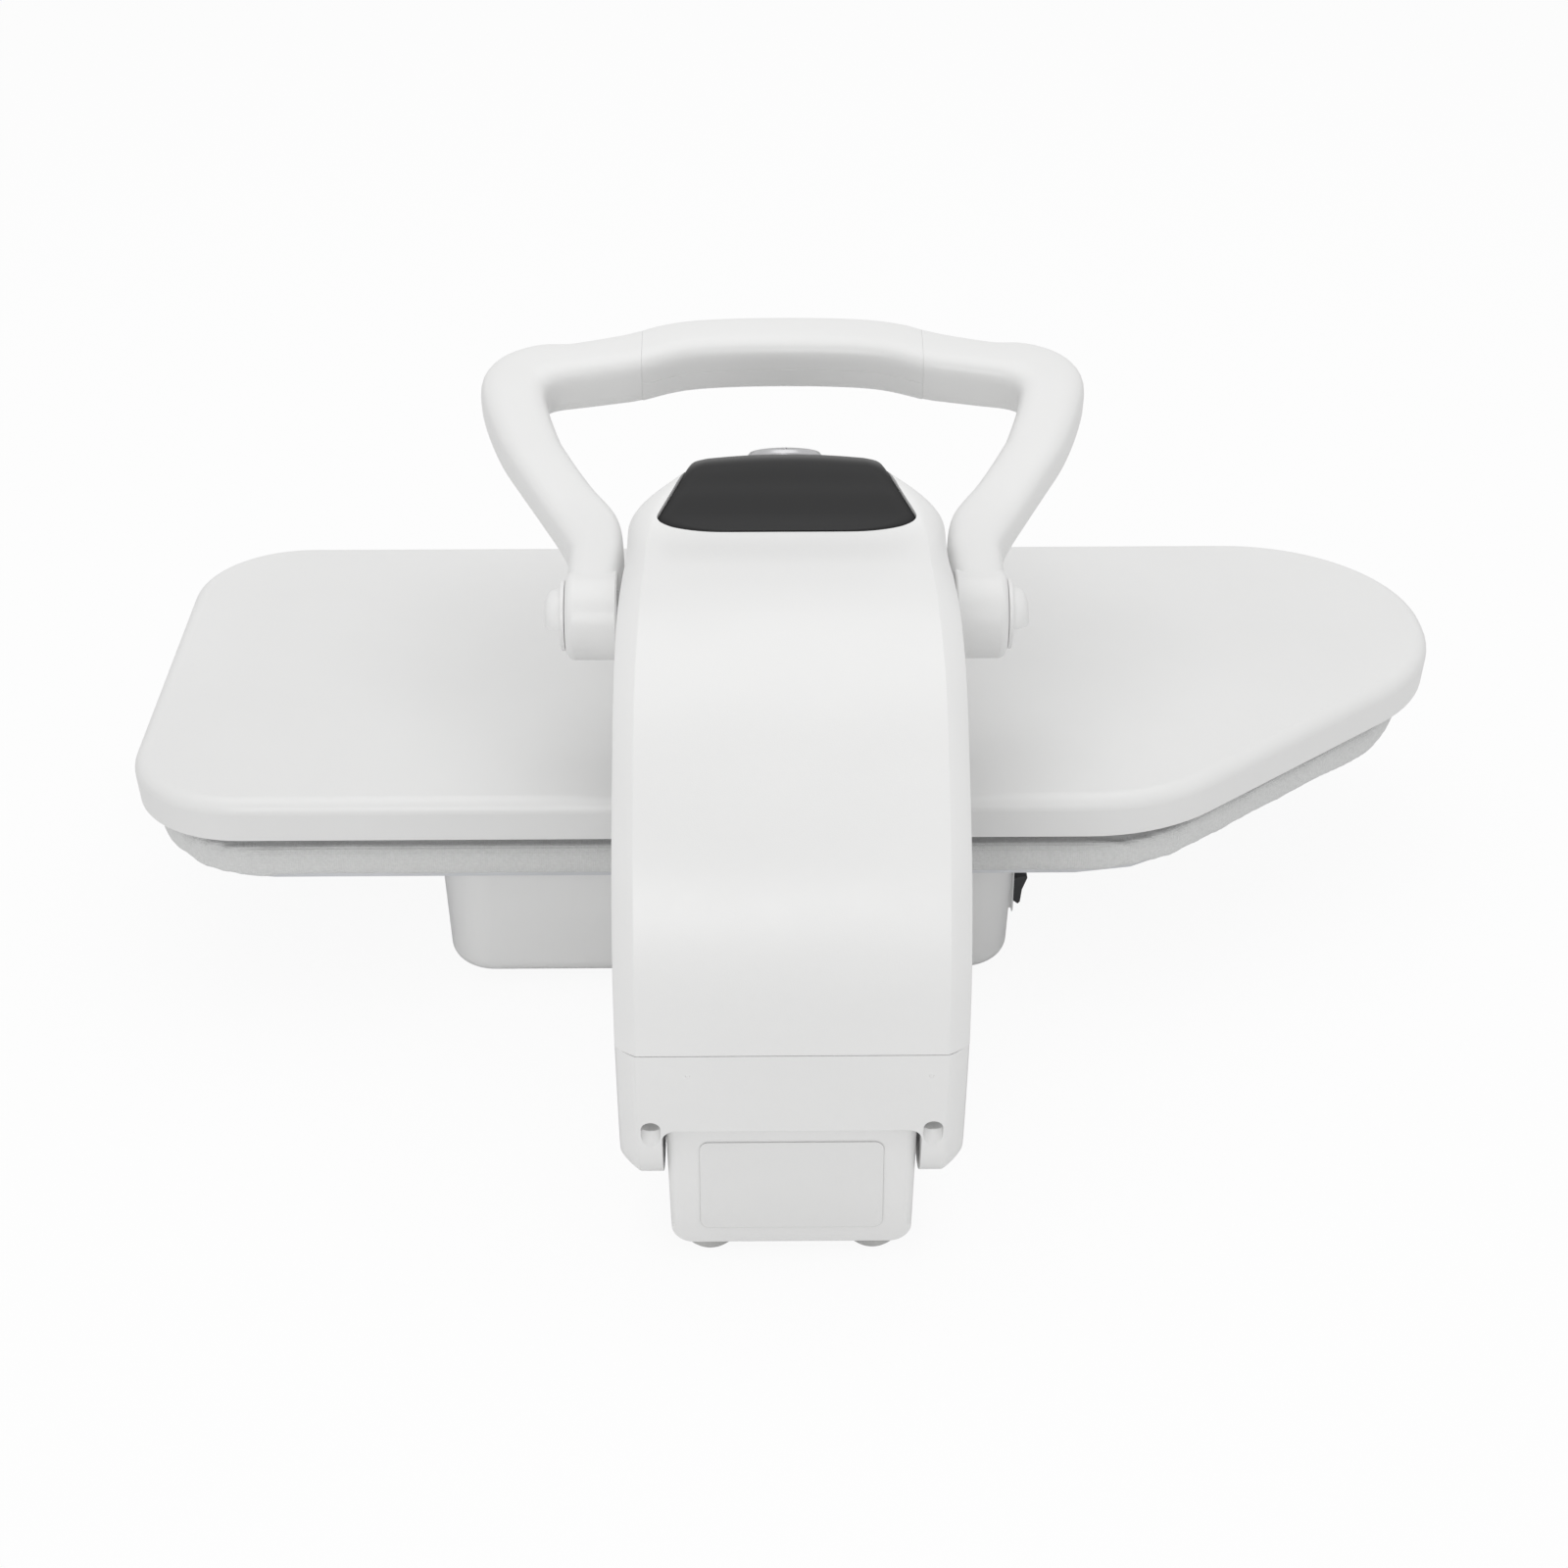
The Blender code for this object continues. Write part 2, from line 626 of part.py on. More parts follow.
def arm_station(row):
    """Outer and inner point, crown and side half widths, and bevel depth of the arm at a row."""
    run, rise, inner_run, inner_rise, crown, side, bevel = curve_through(ARM_ROW_SHARES, row)
    depth = ARM_REAR_Y + ARM_FRONT_Y
    height = ARM_CREST_Z - ARM_SEAM_Z
    outer = Vector((0, run * depth - ARM_FRONT_Y, ARM_SEAM_Z + rise * height))
    inner = Vector((0, inner_run * depth - ARM_FRONT_Y, ARM_SEAM_Z + inner_rise * height))
    return outer, inner, crown * ARM_HALF_X, side * ARM_HALF_X, bevel * ARM_HALF_X


def arm_surface(row):
    """A frame on the arm's crown at a row: u runs to +X, w points out and v completes it."""
    origin = arm_station(row)[0]
    along = (arm_station(row + SLOPE_STEP_SHARE)[0] - arm_station(row - SLOPE_STEP_SHARE)[0]).normalized()
    out = Vector((0, along.z, -along.y))
    return origin, Vector((1, 0, 0)), out.cross(Vector((1, 0, 0))), out


def handle_point(side, across, reach, lift=0.0):
    """A point of the handle's plane: sideways, away from the shaft, and above the plane."""
    tilt = math.radians(HANDLE_TILT)
    out = Vector((0, -math.cos(tilt), math.sin(tilt)))
    up = Vector((0, math.sin(tilt), math.cos(tilt)))
    return Vector((side * across, HANDLE_Y, HANDLE_Z)) + out * reach + up * lift


PIVOTS = {
    "base": Vector((0, 0, 0)),
    "arm": Vector((0, HINGE_Y, HINGE_Z)),
    "shoe": Vector((0, SHOE_PIN_Y, SHOE_PIN_Z)),
    "handle": Vector((0, HANDLE_Y, HANDLE_Z)),
    "lock_left": Vector((-HANDLE_BOSS_OUTER_X, HANDLE_Y, HANDLE_Z)),
    "lock_right": Vector((HANDLE_BOSS_OUTER_X, HANDLE_Y, HANDLE_Z)),
    "dial": arm_surface(DIAL_ROW)[0],
    "power_button": at(arm_surface(BUTTON_ROW), BUTTON_X, 0, 0),
    "steam_button": at(arm_surface(BUTTON_ROW), -BUTTON_X, 0, 0),
    "rocker": Vector((ROCKER_PIVOT_DEPTH - BASE_LEFT_X, SWITCH_Y, SWITCH_Z)),
    "tank": Vector((0, -BASE_FRONT_Y, TANK_BOTTOM_Z)),
}
CARRIED_BY = {
    "base": None,
    "arm": "base",
    "shoe": "arm",
    "handle": "arm",
    "lock_left": "handle",
    "lock_right": "handle",
    "dial": "arm",
    "power_button": "arm",
    "steam_button": "arm",
    "rocker": "base",
    "tank": "base",
}
EMPTIES = {}
for body, carrier in CARRIED_BY.items():
    empty = bpy.data.objects.new(body + "_pivot", None)
    bpy.context.scene.collection.objects.link(empty)
    if carrier is None:
        empty.location = Vector((-CENTRE_X, -CENTRE_Y, 0)) + PIVOTS[body]
    else:
        empty.parent = EMPTIES[carrier]
        empty.location = PIVOTS[body] - PIVOTS[carrier]
    EMPTIES[body] = empty


def add_object(name, mesh, body):
    bmesh.ops.translate(mesh, verts=mesh.verts, vec=-PIVOTS[body])
    data = bpy.data.meshes.new(name)
    mesh.to_mesh(data)
    mesh.free()
    obj = bpy.data.objects.new(name, data)
    bpy.context.scene.collection.objects.link(obj)
    obj.parent = EMPTIES[body]
    return obj


def make(name, mesh, body, shade, joined=(), cut=()):
    """One sub-part: a mesh on its body, with shapes joined to it and then shapes cut from it."""
    obj = add_object(name, mesh, body)
    obj.data.materials.append(MATERIALS[shade])
    obj.data.shade_smooth()
    obj.data.set_sharp_from_angle(angle=math.radians(SMOOTH_ANGLE))
    helpers = [("UNION", shape) for shape in joined] + [("DIFFERENCE", shape) for shape in cut]
    for number, (operation, shape) in enumerate(helpers):
        helper = add_object(f"{name}_helper_{number}", shape, body)
        helper.hide_render = True
        helper.display_type = "WIRE"
        boolean = obj.modifiers.new(operation.title() + str(number), "BOOLEAN")
        boolean.operation = operation
        boolean.solver = "EXACT"
        boolean.object = helper
    return obj


BOARD_OUTLINE = rounded(
    (
        (SQUARE_END_X, -FRONT_Y, SQUARE_FRONT_RADIUS),
        (SQUARE_END_X, REAR_Y, SQUARE_REAR_RADIUS),
        (-SHOULDER_X, REAR_Y, SHOULDER_RADIUS),
        (-NOSE_X, NOSE_SHOULDER_Y, NOSE_REAR_RADIUS),
        (-NOSE_X, -FRONT_Y, NOSE_FRONT_RADIUS),
    )
)

# Casting that carries the shoe, clamped round the handle's shaft
MOUNT_REAR_WIDTH = 0.014
MOUNT_FRONT_WIDTH = 0.019
MOUNT_TOP_LENGTH = 0.020
MOUNT_REAR_Y = HANDLE_Y + MOUNT_REAR_WIDTH
MOUNT_CROSS_Y = HANDLE_Y - MOUNT_FRONT_WIDTH
MOUNT_SLOPE_Y = MOUNT_CROSS_Y - MOUNT_TOP_LENGTH
MOUNT_TOP_Z = HANDLE_Z + HANDLE_BOSS_RADIUS
MOUNT_CROSS_Z = HANDLE_Z - HANDLE_BOSS_RADIUS
MOUNT_HALF_X = 0.0265
MOUNT_NOSE_RADIUS = 0.0115
MOUNT_WAIST_Y = 0.010
MOUNT_WAIST_RISE = 0.005
MOUNT_WAIST_Z = MOUNT_CROSS_Z + MOUNT_WAIST_RISE
PAD_OUTLINE = rounded(
    (
        (SQUARE_END_X, -FRONT_Y, PAD_CORNER_RADIUS),
        (SQUARE_END_X, REAR_Y, PAD_CORNER_RADIUS),
        (-PAD_SHOULDER_X, REAR_Y, SHOULDER_RADIUS),
        (-PAD_NOSE_X, PAD_NOSE_SHOULDER_Y, NOSE_REAR_RADIUS),
        (-PAD_NOSE_X, -FRONT_Y, NOSE_FRONT_RADIUS),
    )
)
PLATE_BOTTOM_Z = SKIRT_Z - PLATE_PROUD
PLATE_TOP_Z = PLATE_BOTTOM_Z + PLATE_THICKNESS
LID_TOP_Z = PLATE_TOP_Z + GAP + LID_THICKNESS
BRACKET_BASE_Z = LID_TOP_Z + GAP


def quarter(radius, steps):
    """Insets and drops of a rounded edge, from the side to the top."""
    return [
        (radius * (1 - math.cos(a)), radius * (1 - math.sin(a)))
        for a in (math.pi / 2 * k / steps for k in range(steps + 1))
    ]


def shoe_window():
    low = (-SHOE_WINDOW_X, SHOE_PIN_Y - SHOE_WINDOW_Y, PLATE_TOP_Z + LID_THICKNESS)
    high = (SHOE_WINDOW_X, SHOE_PIN_Y + SHOE_WINDOW_Y, SHOE_TOP_Z + OVERRUN)
    return box(low, high)


def build_shoe_cover():
    inner = [(SKIRT_Z, WALL), (SHOE_TOP_Z - SHOE_EDGE_RADIUS, WALL)]
    inner += [
        (SHOE_TOP_Z - WALL - drop, WALL + inset)
        for inset, drop in quarter(SHOE_EDGE_RADIUS - WALL, 2)[1:]
    ]
    outer = [(SKIRT_Z, SKIRT_DRAFT)]
    outer += [(SHOE_TOP_Z - drop, inset) for inset, drop in quarter(SHOE_EDGE_RADIUS, 4)]
    shell = stack(inner[::-1] + outer, BOARD_OUTLINE)
    make("shoe_cover", shell, "shoe", "white_plastic", cut=[shoe_window()])


def build_heating_plate():
    edge = quarter(PLATE_EDGE_RADIUS, 2)[::-1]
    levels = [(PLATE_BOTTOM_Z + drop, PLATE_INSET + inset) for inset, drop in edge]
    levels += [(PLATE_TOP_Z, PLATE_INSET)]
    holes = []
    for row in range(STEAM_HOLE_ROWS):
        for column in range(STEAM_HOLE_COLUMNS):
            x = STEAM_FIELD_LENGTH * (column / (STEAM_HOLE_COLUMNS - 1) - 1 / 2)
            y = STEAM_FIELD_WIDTH * (row / (STEAM_HOLE_ROWS - 1) - 1 / 2)
            frame = place_on("Z", (x, y, PLATE_BOTTOM_Z))
            holes.append(rod(frame, STEAM_HOLE_RADIUS, -OVERRUN, STEAM_HOLE_DEPTH, 6))
    make("heating_plate", stack(levels, BOARD_OUTLINE), "shoe", "cast_aluminium", cut=[gathered(holes)])


def build_shoe_inner():
    lid_levels = [(PLATE_TOP_Z + GAP, LID_INSET), (LID_TOP_Z, LID_INSET)]
    shield_bottom = SHOE_TOP_Z - WALL - GAP - SHIELD_THICKNESS
    posts = []
    for x, y in SHIELD_POSTS:
        frame = place_on("Z", (x, y, LID_TOP_Z))
        reach = shield_bottom - GAP - LID_TOP_Z
        posts.append(rod(frame, SHIELD_POST_RADIUS, -LID_THICKNESS / 2, reach, SMALL_SIDES))
    lid = stack(lid_levels, BOARD_OUTLINE)
    make("steam_chamber_lid", lid, "shoe", "cast_aluminium", joined=[gathered(posts)])

    height = PLATE_TOP_Z + GAP + ELEMENT_RADIUS
    loop = [(point - normal * ELEMENT_INSET) for point, normal in BOARD_OUTLINE]
    first, last = loop[0], loop[-1]
    start = Vector((max(first.x, last.x), first.y))
    path = [Vector((point.x, point.y, height)) for point in loop]
    half_gap = Vector((ELEMENT_GAP / 2, 0, 0))
    middle = (path[0] + path[-1]) / 2
    path = [middle + half_gap, *path, middle - half_gap] if start.x > 0 else path
    make("heating_element", sweep(path, ELEMENT_RADIUS, 8), "shoe", "spring_steel")

    frame = place_on("Z", (THERMOSTAT_X, 0, LID_TOP_Z + GAP))
    rim = THERMOSTAT_RADIUS - GAP
    levels = ((0, rim), (THERMOSTAT_HEIGHT / 2, THERMOSTAT_RADIUS), (THERMOSTAT_HEIGHT, rim))
    make("thermostat", turned(levels, frame), "shoe", "black_plastic")

    frame = place_on("Y", (FUSE_X, -FUSE_LENGTH / 2, LID_TOP_Z + GAP + FUSE_RADIUS))
    tip = FUSE_RADIUS / 2
    levels = ((0, tip), (tip, FUSE_RADIUS), (FUSE_LENGTH - tip, FUSE_RADIUS), (FUSE_LENGTH, tip))
    make("thermal_fuse", turned(levels, frame, SMALL_SIDES), "shoe", "silver")

    top = SHOE_TOP_Z - WALL - GAP
    levels = [(top - SHIELD_THICKNESS, SHIELD_INSET), (top, SHIELD_INSET)]
    make("heat_shield", stack(levels, BOARD_OUTLINE), "shoe", "zinc_steel", cut=[shoe_window()])

    frame = place_on("Z", (INLET_X, INLET_Y, LID_TOP_Z + GAP))
    neck = INLET_BORE_RADIUS + (INLET_RADIUS - INLET_BORE_RADIUS) / 2
    levels = (
        (0, INLET_BORE_RADIUS),
        (0, INLET_RADIUS),
        (INLET_HEIGHT / 2, INLET_RADIUS),
        (INLET_HEIGHT / 2, neck),
        (INLET_HEIGHT - LID_THICKNESS, neck),
        (INLET_HEIGHT - LID_THICKNESS, INLET_BORE_RADIUS),
    )
    make("steam_inlet", turned(levels, frame, SMALL_SIDES, closed=True), "shoe", "brass")


def build_shoe_bracket():
    low = (-BRACKET_HALF_X, SHOE_PIN_Y - BRACKET_HALF_Y, BRACKET_BASE_Z)
    high = (BRACKET_HALF_X, SHOE_PIN_Y + BRACKET_HALF_Y, BRACKET_BASE_Z + BRACKET_THICKNESS)
    foot = (SHOE_PIN_Y + BRACKET_HALF_Y, BRACKET_BASE_Z)
    ear = [(SHOE_PIN_Y - BRACKET_HALF_Y, BRACKET_BASE_Z), foot]
    ear += arc((SHOE_PIN_Y, SHOE_PIN_Z), BRACKET_EAR_RADIUS, 0, 180, 8)
    ears = []
    for side in (-1, 1):
        near, far = sorted((side * BRACKET_HALF_X, side * (BRACKET_HALF_X - BRACKET_THICKNESS)))
        ears.append(prism(ear, near, far, SIDE))
    pin = place_on("X", (0, SHOE_PIN_Y, SHOE_PIN_Z))
    reach = BRACKET_HALF_X + OVERRUN
    bore = rod(pin, SHOE_PIN_RADIUS + RUNNING_GAP, -reach, reach)
    make("shoe_bracket", box(low, high), "shoe", "zinc_steel", joined=ears, cut=[bore])


def build_board():
    tray_top = BASE_TOP_Z + GAP + TRAY_THICKNESS
    levels = [(BASE_TOP_Z + GAP, TRAY_INSET), (tray_top, TRAY_INSET)]
    make("board_tray", stack(levels, PAD_OUTLINE), "base", "zinc_steel")

    recess = TRAY_INSET - GAP
    middle = (PAD_TOP_Z + PAD_BOTTOM_Z) / 2
    third = (PAD_TOP_Z - PAD_BOTTOM_Z) / 3
    levels = [
        (tray_top + GAP, recess),
        (PAD_BOTTOM_Z, recess),
        (PAD_BOTTOM_Z, PAD_UNDER_LIP),
        (PAD_BOTTOM_Z + PAD_PINCH, PAD_INSET + PAD_ROLL / 2),
        (PAD_BOTTOM_Z + third, PAD_INSET + PAD_PINCH),
        (middle, PAD_INSET),
        (middle + third, PAD_INSET + PAD_PINCH / 2),
        (PAD_TOP_Z - PAD_EDGE_DROP - PAD_PINCH, PAD_INSET + PAD_ROLL / 2),
        (PAD_TOP_Z - PAD_EDGE_DROP, PAD_INSET + PAD_ROLL),
        (PAD_TOP_Z - PAD_EDGE_DROP / 3, PAD_INSET + PAD_ROLL * 3),
        (PAD_TOP_Z, PAD_INSET + PAD_ROLL * 5),
    ]
    make("board_pad", stack(levels, PAD_OUTLINE), "base", "grey_cloth")


def base_outline():
    return rounded(
        (
            (BASE_RIGHT_X, -BASE_FRONT_Y, BASE_CORNER_RADIUS),
            (BASE_RIGHT_X, BASE_REAR_Y, BASE_CORNER_RADIUS),
            (-BASE_LEFT_X, BASE_REAR_Y, BASE_CORNER_RADIUS),
            (-BASE_LEFT_X, -BASE_FRONT_Y, BASE_CORNER_RADIUS),
        )
    )


def tank_face_outline(gap):
    middle = (TANK_FACE_TOP_Z + TANK_FACE_BOTTOM_Z) / 2
    half = (TANK_FACE_TOP_Z - TANK_FACE_BOTTOM_Z) / 2
    return round_rectangle(TANK_FACE_HALF_X + gap, half + gap, TANK_FACE_RADIUS + gap, 0, middle)


def frame_passage():
    """The way of the steel frame through the base's rear wall and the post's front wall."""
    half = FRAME_HALF_X + RUNNING_GAP * 5
    low = (-half, BASE_REAR_Y - BASE_BOTTOM_RADIUS * 2, BASE_BOTTOM_Z + FLOOR_THICKNESS)
    high = (half, BASE_REAR_Y + BASE_BOTTOM_RADIUS, BASE_BOTTOM_Z + FRAME_PASS_HEIGHT)
    return box(low, high)


def switch_cutter():
    half_y = SWITCH_WIDTH / 2 + GAP
    half_z = SWITCH_HEIGHT / 2 + GAP
    low = (-BASE_LEFT_X - OVERRUN, SWITCH_Y - half_y, SWITCH_Z - half_z)
    high = (-BASE_LEFT_X + WALL * 3, SWITCH_Y + half_y, SWITCH_Z + half_z)
    return box(low, high)


def gland_frame():
    return place_on("X", (BASE_RIGHT_X, GLAND_Y, GLAND_Z))


def build_base_housing():
    bottom_inset = BASE_DRAFT + BASE_BOTTOM_RADIUS
    inner = [
        (BASE_TOP_Z - WALL, WALL),
        (BASE_BOTTOM_Z + BASE_BOTTOM_RADIUS, BASE_DRAFT + WALL),
        (BASE_BOTTOM_Z + FLOOR_THICKNESS, bottom_inset + WALL / 2),
        (BASE_BOTTOM_Z, bottom_inset + WALL / 2),
    ]
    outer = [
        (BASE_BOTTOM_Z + drop, BASE_DRAFT + inset) for inset, drop in quarter(BASE_BOTTOM_RADIUS, 3)[::-1]
    ]
    levels = inner + outer + [(BASE_TOP_Z, 0)]
    opening = stack(
        ((-BASE_FRONT_Y - OVERRUN, 0), (-BASE_FRONT_Y + BASE_BOTTOM_RADIUS * 2, 0)),
        tank_face_outline(TANK_SIDE_GAP),
        BACK,
    )
    hole = rod(gland_frame(), GLAND_RADIUS + GAP, -WALL * 3, OVERRUN)
    make(
        "base_housing",
        stack(levels, base_outline()),
        "base",
        "white_plastic",
        cut=[opening, frame_passage(), switch_cutter(), hole],
    )


def build_floors_and_feet():
    inset = BASE_DRAFT + BASE_BOTTOM_RADIUS + WALL / 2 + GAP
    levels = [(BASE_BOTTOM_Z, inset), (BASE_BOTTOM_Z + FLOOR_THICKNESS - GAP, inset)]
    make("base_floor", stack(levels, base_outline()), "base", "white_plastic")

    low = (-POST_HALF_X + POST_BOTTOM_RADIUS, BASE_REAR_Y + WALL * 2, BASE_BOTTOM_Z)
    high = (POST_HALF_X - POST_BOTTOM_RADIUS, POST_REAR_Y - WALL * 2, BASE_BOTTOM_Z + FLOOR_THICKNESS - GAP)
    make("post_floor", box(low, high), "base", "white_plastic")

    middle = (BASE_RIGHT_X - BASE_LEFT_X) / 2
    places = {
        "foot_front_left": (middle - FOOT_FRONT_X, -FOOT_FRONT_Y),
        "foot_front_right": (middle + FOOT_FRONT_X, -FOOT_FRONT_Y),
        "foot_rear_left": (-(POST_HALF_X - FOOT_REAR_INSET), (POST_REAR_Y - FOOT_REAR_SET_BACK)),
        "foot_rear_right": ((POST_HALF_X - FOOT_REAR_INSET), (POST_REAR_Y - FOOT_REAR_SET_BACK)),
    }
    top = BASE_BOTTOM_Z - GAP
    for name, (x, y) in places.items():
        levels = ((0, FOOT_RADIUS - FOOT_FLARE), (FOOT_FLARE, FOOT_RADIUS), (top, FOOT_RADIUS))
        make(name, turned(levels, place_on("Z", (x, y, 0)), 18), "base", "pale_rubber")


def post_profile(inset):
    """Side view of the post: a neck from the base, and the hinge barrel's round top."""
    radius = POST_BARREL_RADIUS - inset
    neck = POST_SHOULDER_Z - inset
    angle = math.degrees(math.asin((neck - HINGE_Z) / radius))
    front = BASE_REAR_Y + GAP + inset
    slope = BASE_DRAFT / (BASE_TOP_Z - BASE_BOTTOM_Z - BASE_BOTTOM_RADIUS)
    foot = front - slope * (BASE_TOP_Z - BASE_BOTTOM_Z)
    points = [(foot, BASE_BOTTOM_Z), (HINGE_Y + radius, BASE_BOTTOM_Z)]
    points += arc((HINGE_Y, HINGE_Z), radius, 0, 180 - angle, 10)
    points.append((front - slope * (BASE_TOP_Z - neck), neck))
    return points


def build_post():
    def lower_edge(a, b):
        along = abs(a.y - b.y) > WALL and abs(a.z - b.z) < GAP
        return along and a.z < BASE_BOTTOM_Z + GAP

    def rear_edge(a, b):
        return abs(a.z - b.z) > WALL and min(a.y, b.y) > POST_REAR_Y - GAP

    solid = prism(post_profile(0), -POST_HALF_X, POST_HALF_X, SIDE)
    soften(solid, POST_BOTTOM_RADIUS, 4, lower_edge)
    soften(solid, POST_EDGE_RADIUS, 2, rear_edge)
    hollow = [(y, z if z > BASE_BOTTOM_Z + OVERRUN else z - OVERRUN) for y, z in post_profile(WALL)]
    half = POST_HALF_X - WALL
    inner = prism(hollow, -half, half, SIDE)
    soften(inner, POST_BOTTOM_RADIUS - WALL / 2, 3, lambda a, b: max(a.z, b.z) < BASE_BOTTOM_Z)
    hinge = place_on("X", (0, HINGE_Y, HINGE_Z))
    reach = POST_HALF_X + OVERRUN
    bore = rod(hinge, HINGE_SHAFT_RADIUS + GAP, -reach, reach)
    half = POST_HALF_X - POST_BOTTOM_RADIUS + GAP
    front = BASE_REAR_Y + WALL * 2 - GAP
    rear = POST_REAR_Y - WALL * 2 + GAP
    floor_seat = box((-half, front, BASE_BOTTOM_Z - OVERRUN), (half, rear, BASE_BOTTOM_Z + FLOOR_THICKNESS))
    make("hinge_post", solid, "base", "white_plastic", cut=[inner, floor_seat, frame_passage(), bore])

    half = POST_HALF_X - PLATE_LABEL_MARGIN
    outline = round_rectangle(half, PLATE_LABEL_HEIGHT / 2, PLATE_LABEL_RADIUS, 0, PLATE_LABEL_Z)
    near = POST_REAR_Y + GAP
    levels = ((near, 0), (near + PLATE_LABEL_THICKNESS, 0))
    make("rating_plate", stack(levels, outline, BACK), "base", "label")


def build_hinge():
    floor = BASE_BOTTOM_Z + FLOOR_THICKNESS
    top = floor + FRAME_THICKNESS
    low = (-FRAME_HALF_X, -FRAME_FRONT_Y + BASE_FRONT_Y / 2, floor)
    high = (FRAME_HALF_X, FRAME_REAR_Y, top)
    flange_top = floor + FRAME_FLANGE
    cheek = [(low[1], floor), (FRAME_REAR_Y, floor), (HINGE_Y + FRAME_EAR_RADIUS, HINGE_Z)]
    cheek += arc((HINGE_Y, HINGE_Z), FRAME_EAR_RADIUS, 30, 180, 6)
    cheek += [(HINGE_Y - FRAME_EAR_RADIUS * 2, flange_top), (low[1], flange_top)]
    cheeks = []
    for side in (-1, 1):
        near, far = sorted((side * FRAME_HALF_X, side * (FRAME_HALF_X - FRAME_THICKNESS)))
        cheeks.append(prism(cheek, near, far, SIDE))
    hinge = place_on("X", (0, HINGE_Y, HINGE_Z))
    reach = FRAME_HALF_X + OVERRUN
    bore = rod(hinge, HINGE_SHAFT_RADIUS + RUNNING_GAP, -reach, reach)
    make("base_frame", box(low, high), "base", "zinc_steel", joined=cheeks, cut=[bore])

    chamfer = HINGE_SHAFT_RADIUS / 5
    levels = (
        (-HINGE_SHAFT_HALF, HINGE_SHAFT_RADIUS - chamfer),
        (chamfer - HINGE_SHAFT_HALF, HINGE_SHAFT_RADIUS),
        (HINGE_SHAFT_HALF - chamfer, HINGE_SHAFT_RADIUS),
        (HINGE_SHAFT_HALF, HINGE_SHAFT_RADIUS - chamfer),
    )
    make("hinge_shaft", turned(levels, hinge), "base", "zinc_steel")

    for name, side in (("lift_spring_left", -1), ("lift_spring_right", 1)):
        points = []
        count = SPRING_TURNS * SPRING_POINTS_PER_TURN
        for k in range(count + 1):
            angle = 2 * math.pi * k / SPRING_POINTS_PER_TURN
            x = side * (SPRING_INNER_X + SPRING_PITCH * k / SPRING_POINTS_PER_TURN)
            y = HINGE_Y - SPRING_COIL_RADIUS * math.cos(angle)
            z = HINGE_Z + SPRING_COIL_RADIUS * math.sin(angle)
            points.append(Vector((x, y, z)))
        down = Vector((0, 0, -SPRING_LEG))
        points = [points[0] + down, points[0] + down / 2, *points, points[-1] + down / 2, points[-1] + down]
        make(name, sweep(points, SPRING_WIRE_RADIUS, SPRING_SIDES), "base", "spring_steel")


def build_switch():
    wall = -BASE_LEFT_X
    frame = (Vector((wall, SWITCH_Y, SWITCH_Z)), Vector((0, 1, 0)), Vector((0, 0, 1)), Vector((-1, 0, 0)))
    half_u = SWITCH_WIDTH / 2
    half_v = SWITCH_HEIGHT / 2
    rim = round_rectangle(half_u + SWITCH_RIM, half_v + SWITCH_RIM, SWITCH_RIM)
    levels = ((GAP, 0), (SWITCH_PROUD / 2, 0), (SWITCH_PROUD, SWITCH_RIM / 2))
    outline = ((-half_u, -half_v), (half_u, -half_v), (half_u, half_v), (-half_u, half_v))
    body = prism(outline, -SWITCH_DEPTH, GAP * 2, frame)
    inner_u = half_u - SWITCH_RIM / 2
    inner_v = half_v - SWITCH_RIM / 2
    well = prism(
        ((-inner_u, -inner_v), (inner_u, -inner_v), (inner_u, inner_v), (-inner_u, inner_v)),
        SWITCH_RIM - SWITCH_DEPTH,
        SWITCH_PROUD + OVERRUN,
        frame,
    )
    make("switch_bezel", stack(levels, rim, frame), "base", "white_plastic", joined=[body], cut=[well])

    # The rocker's face is a shallow V, tipped so that its upper half stands proud
    half_y = inner_u - ROCKER_WALL_GAP
    dip = (ROCKER_RADIUS * math.cos(math.radians(ROCKER_FACE_ANGLE)) - SWITCH_RIM / 2, 0)
    shape = [(ROCKER_RADIUS, -ROCKER_END_ANGLE), (ROCKER_RADIUS, -ROCKER_FACE_ANGLE), dip]
    shape += [(ROCKER_RADIUS, ROCKER_FACE_ANGLE), (ROCKER_RADIUS, ROCKER_END_ANGLE)]
    shape += [(ROCKER_HUB_RADIUS, angle) for angle in (80, 130, 180, 230, 280)]
    outline = []
    for reach, angle in shape:
        turn = math.radians(angle - ROCKER_TILT)
        depth = wall + ROCKER_PIVOT_DEPTH - reach * math.cos(turn)
        outline.append((depth, SWITCH_Z + reach * math.sin(turn)))
    rings = [[Vector((x, SWITCH_Y + y, z)) for x, z in outline] for y in (-half_y, half_y)]
    make("rocker", loft(rings), "rocker", "black_plastic")


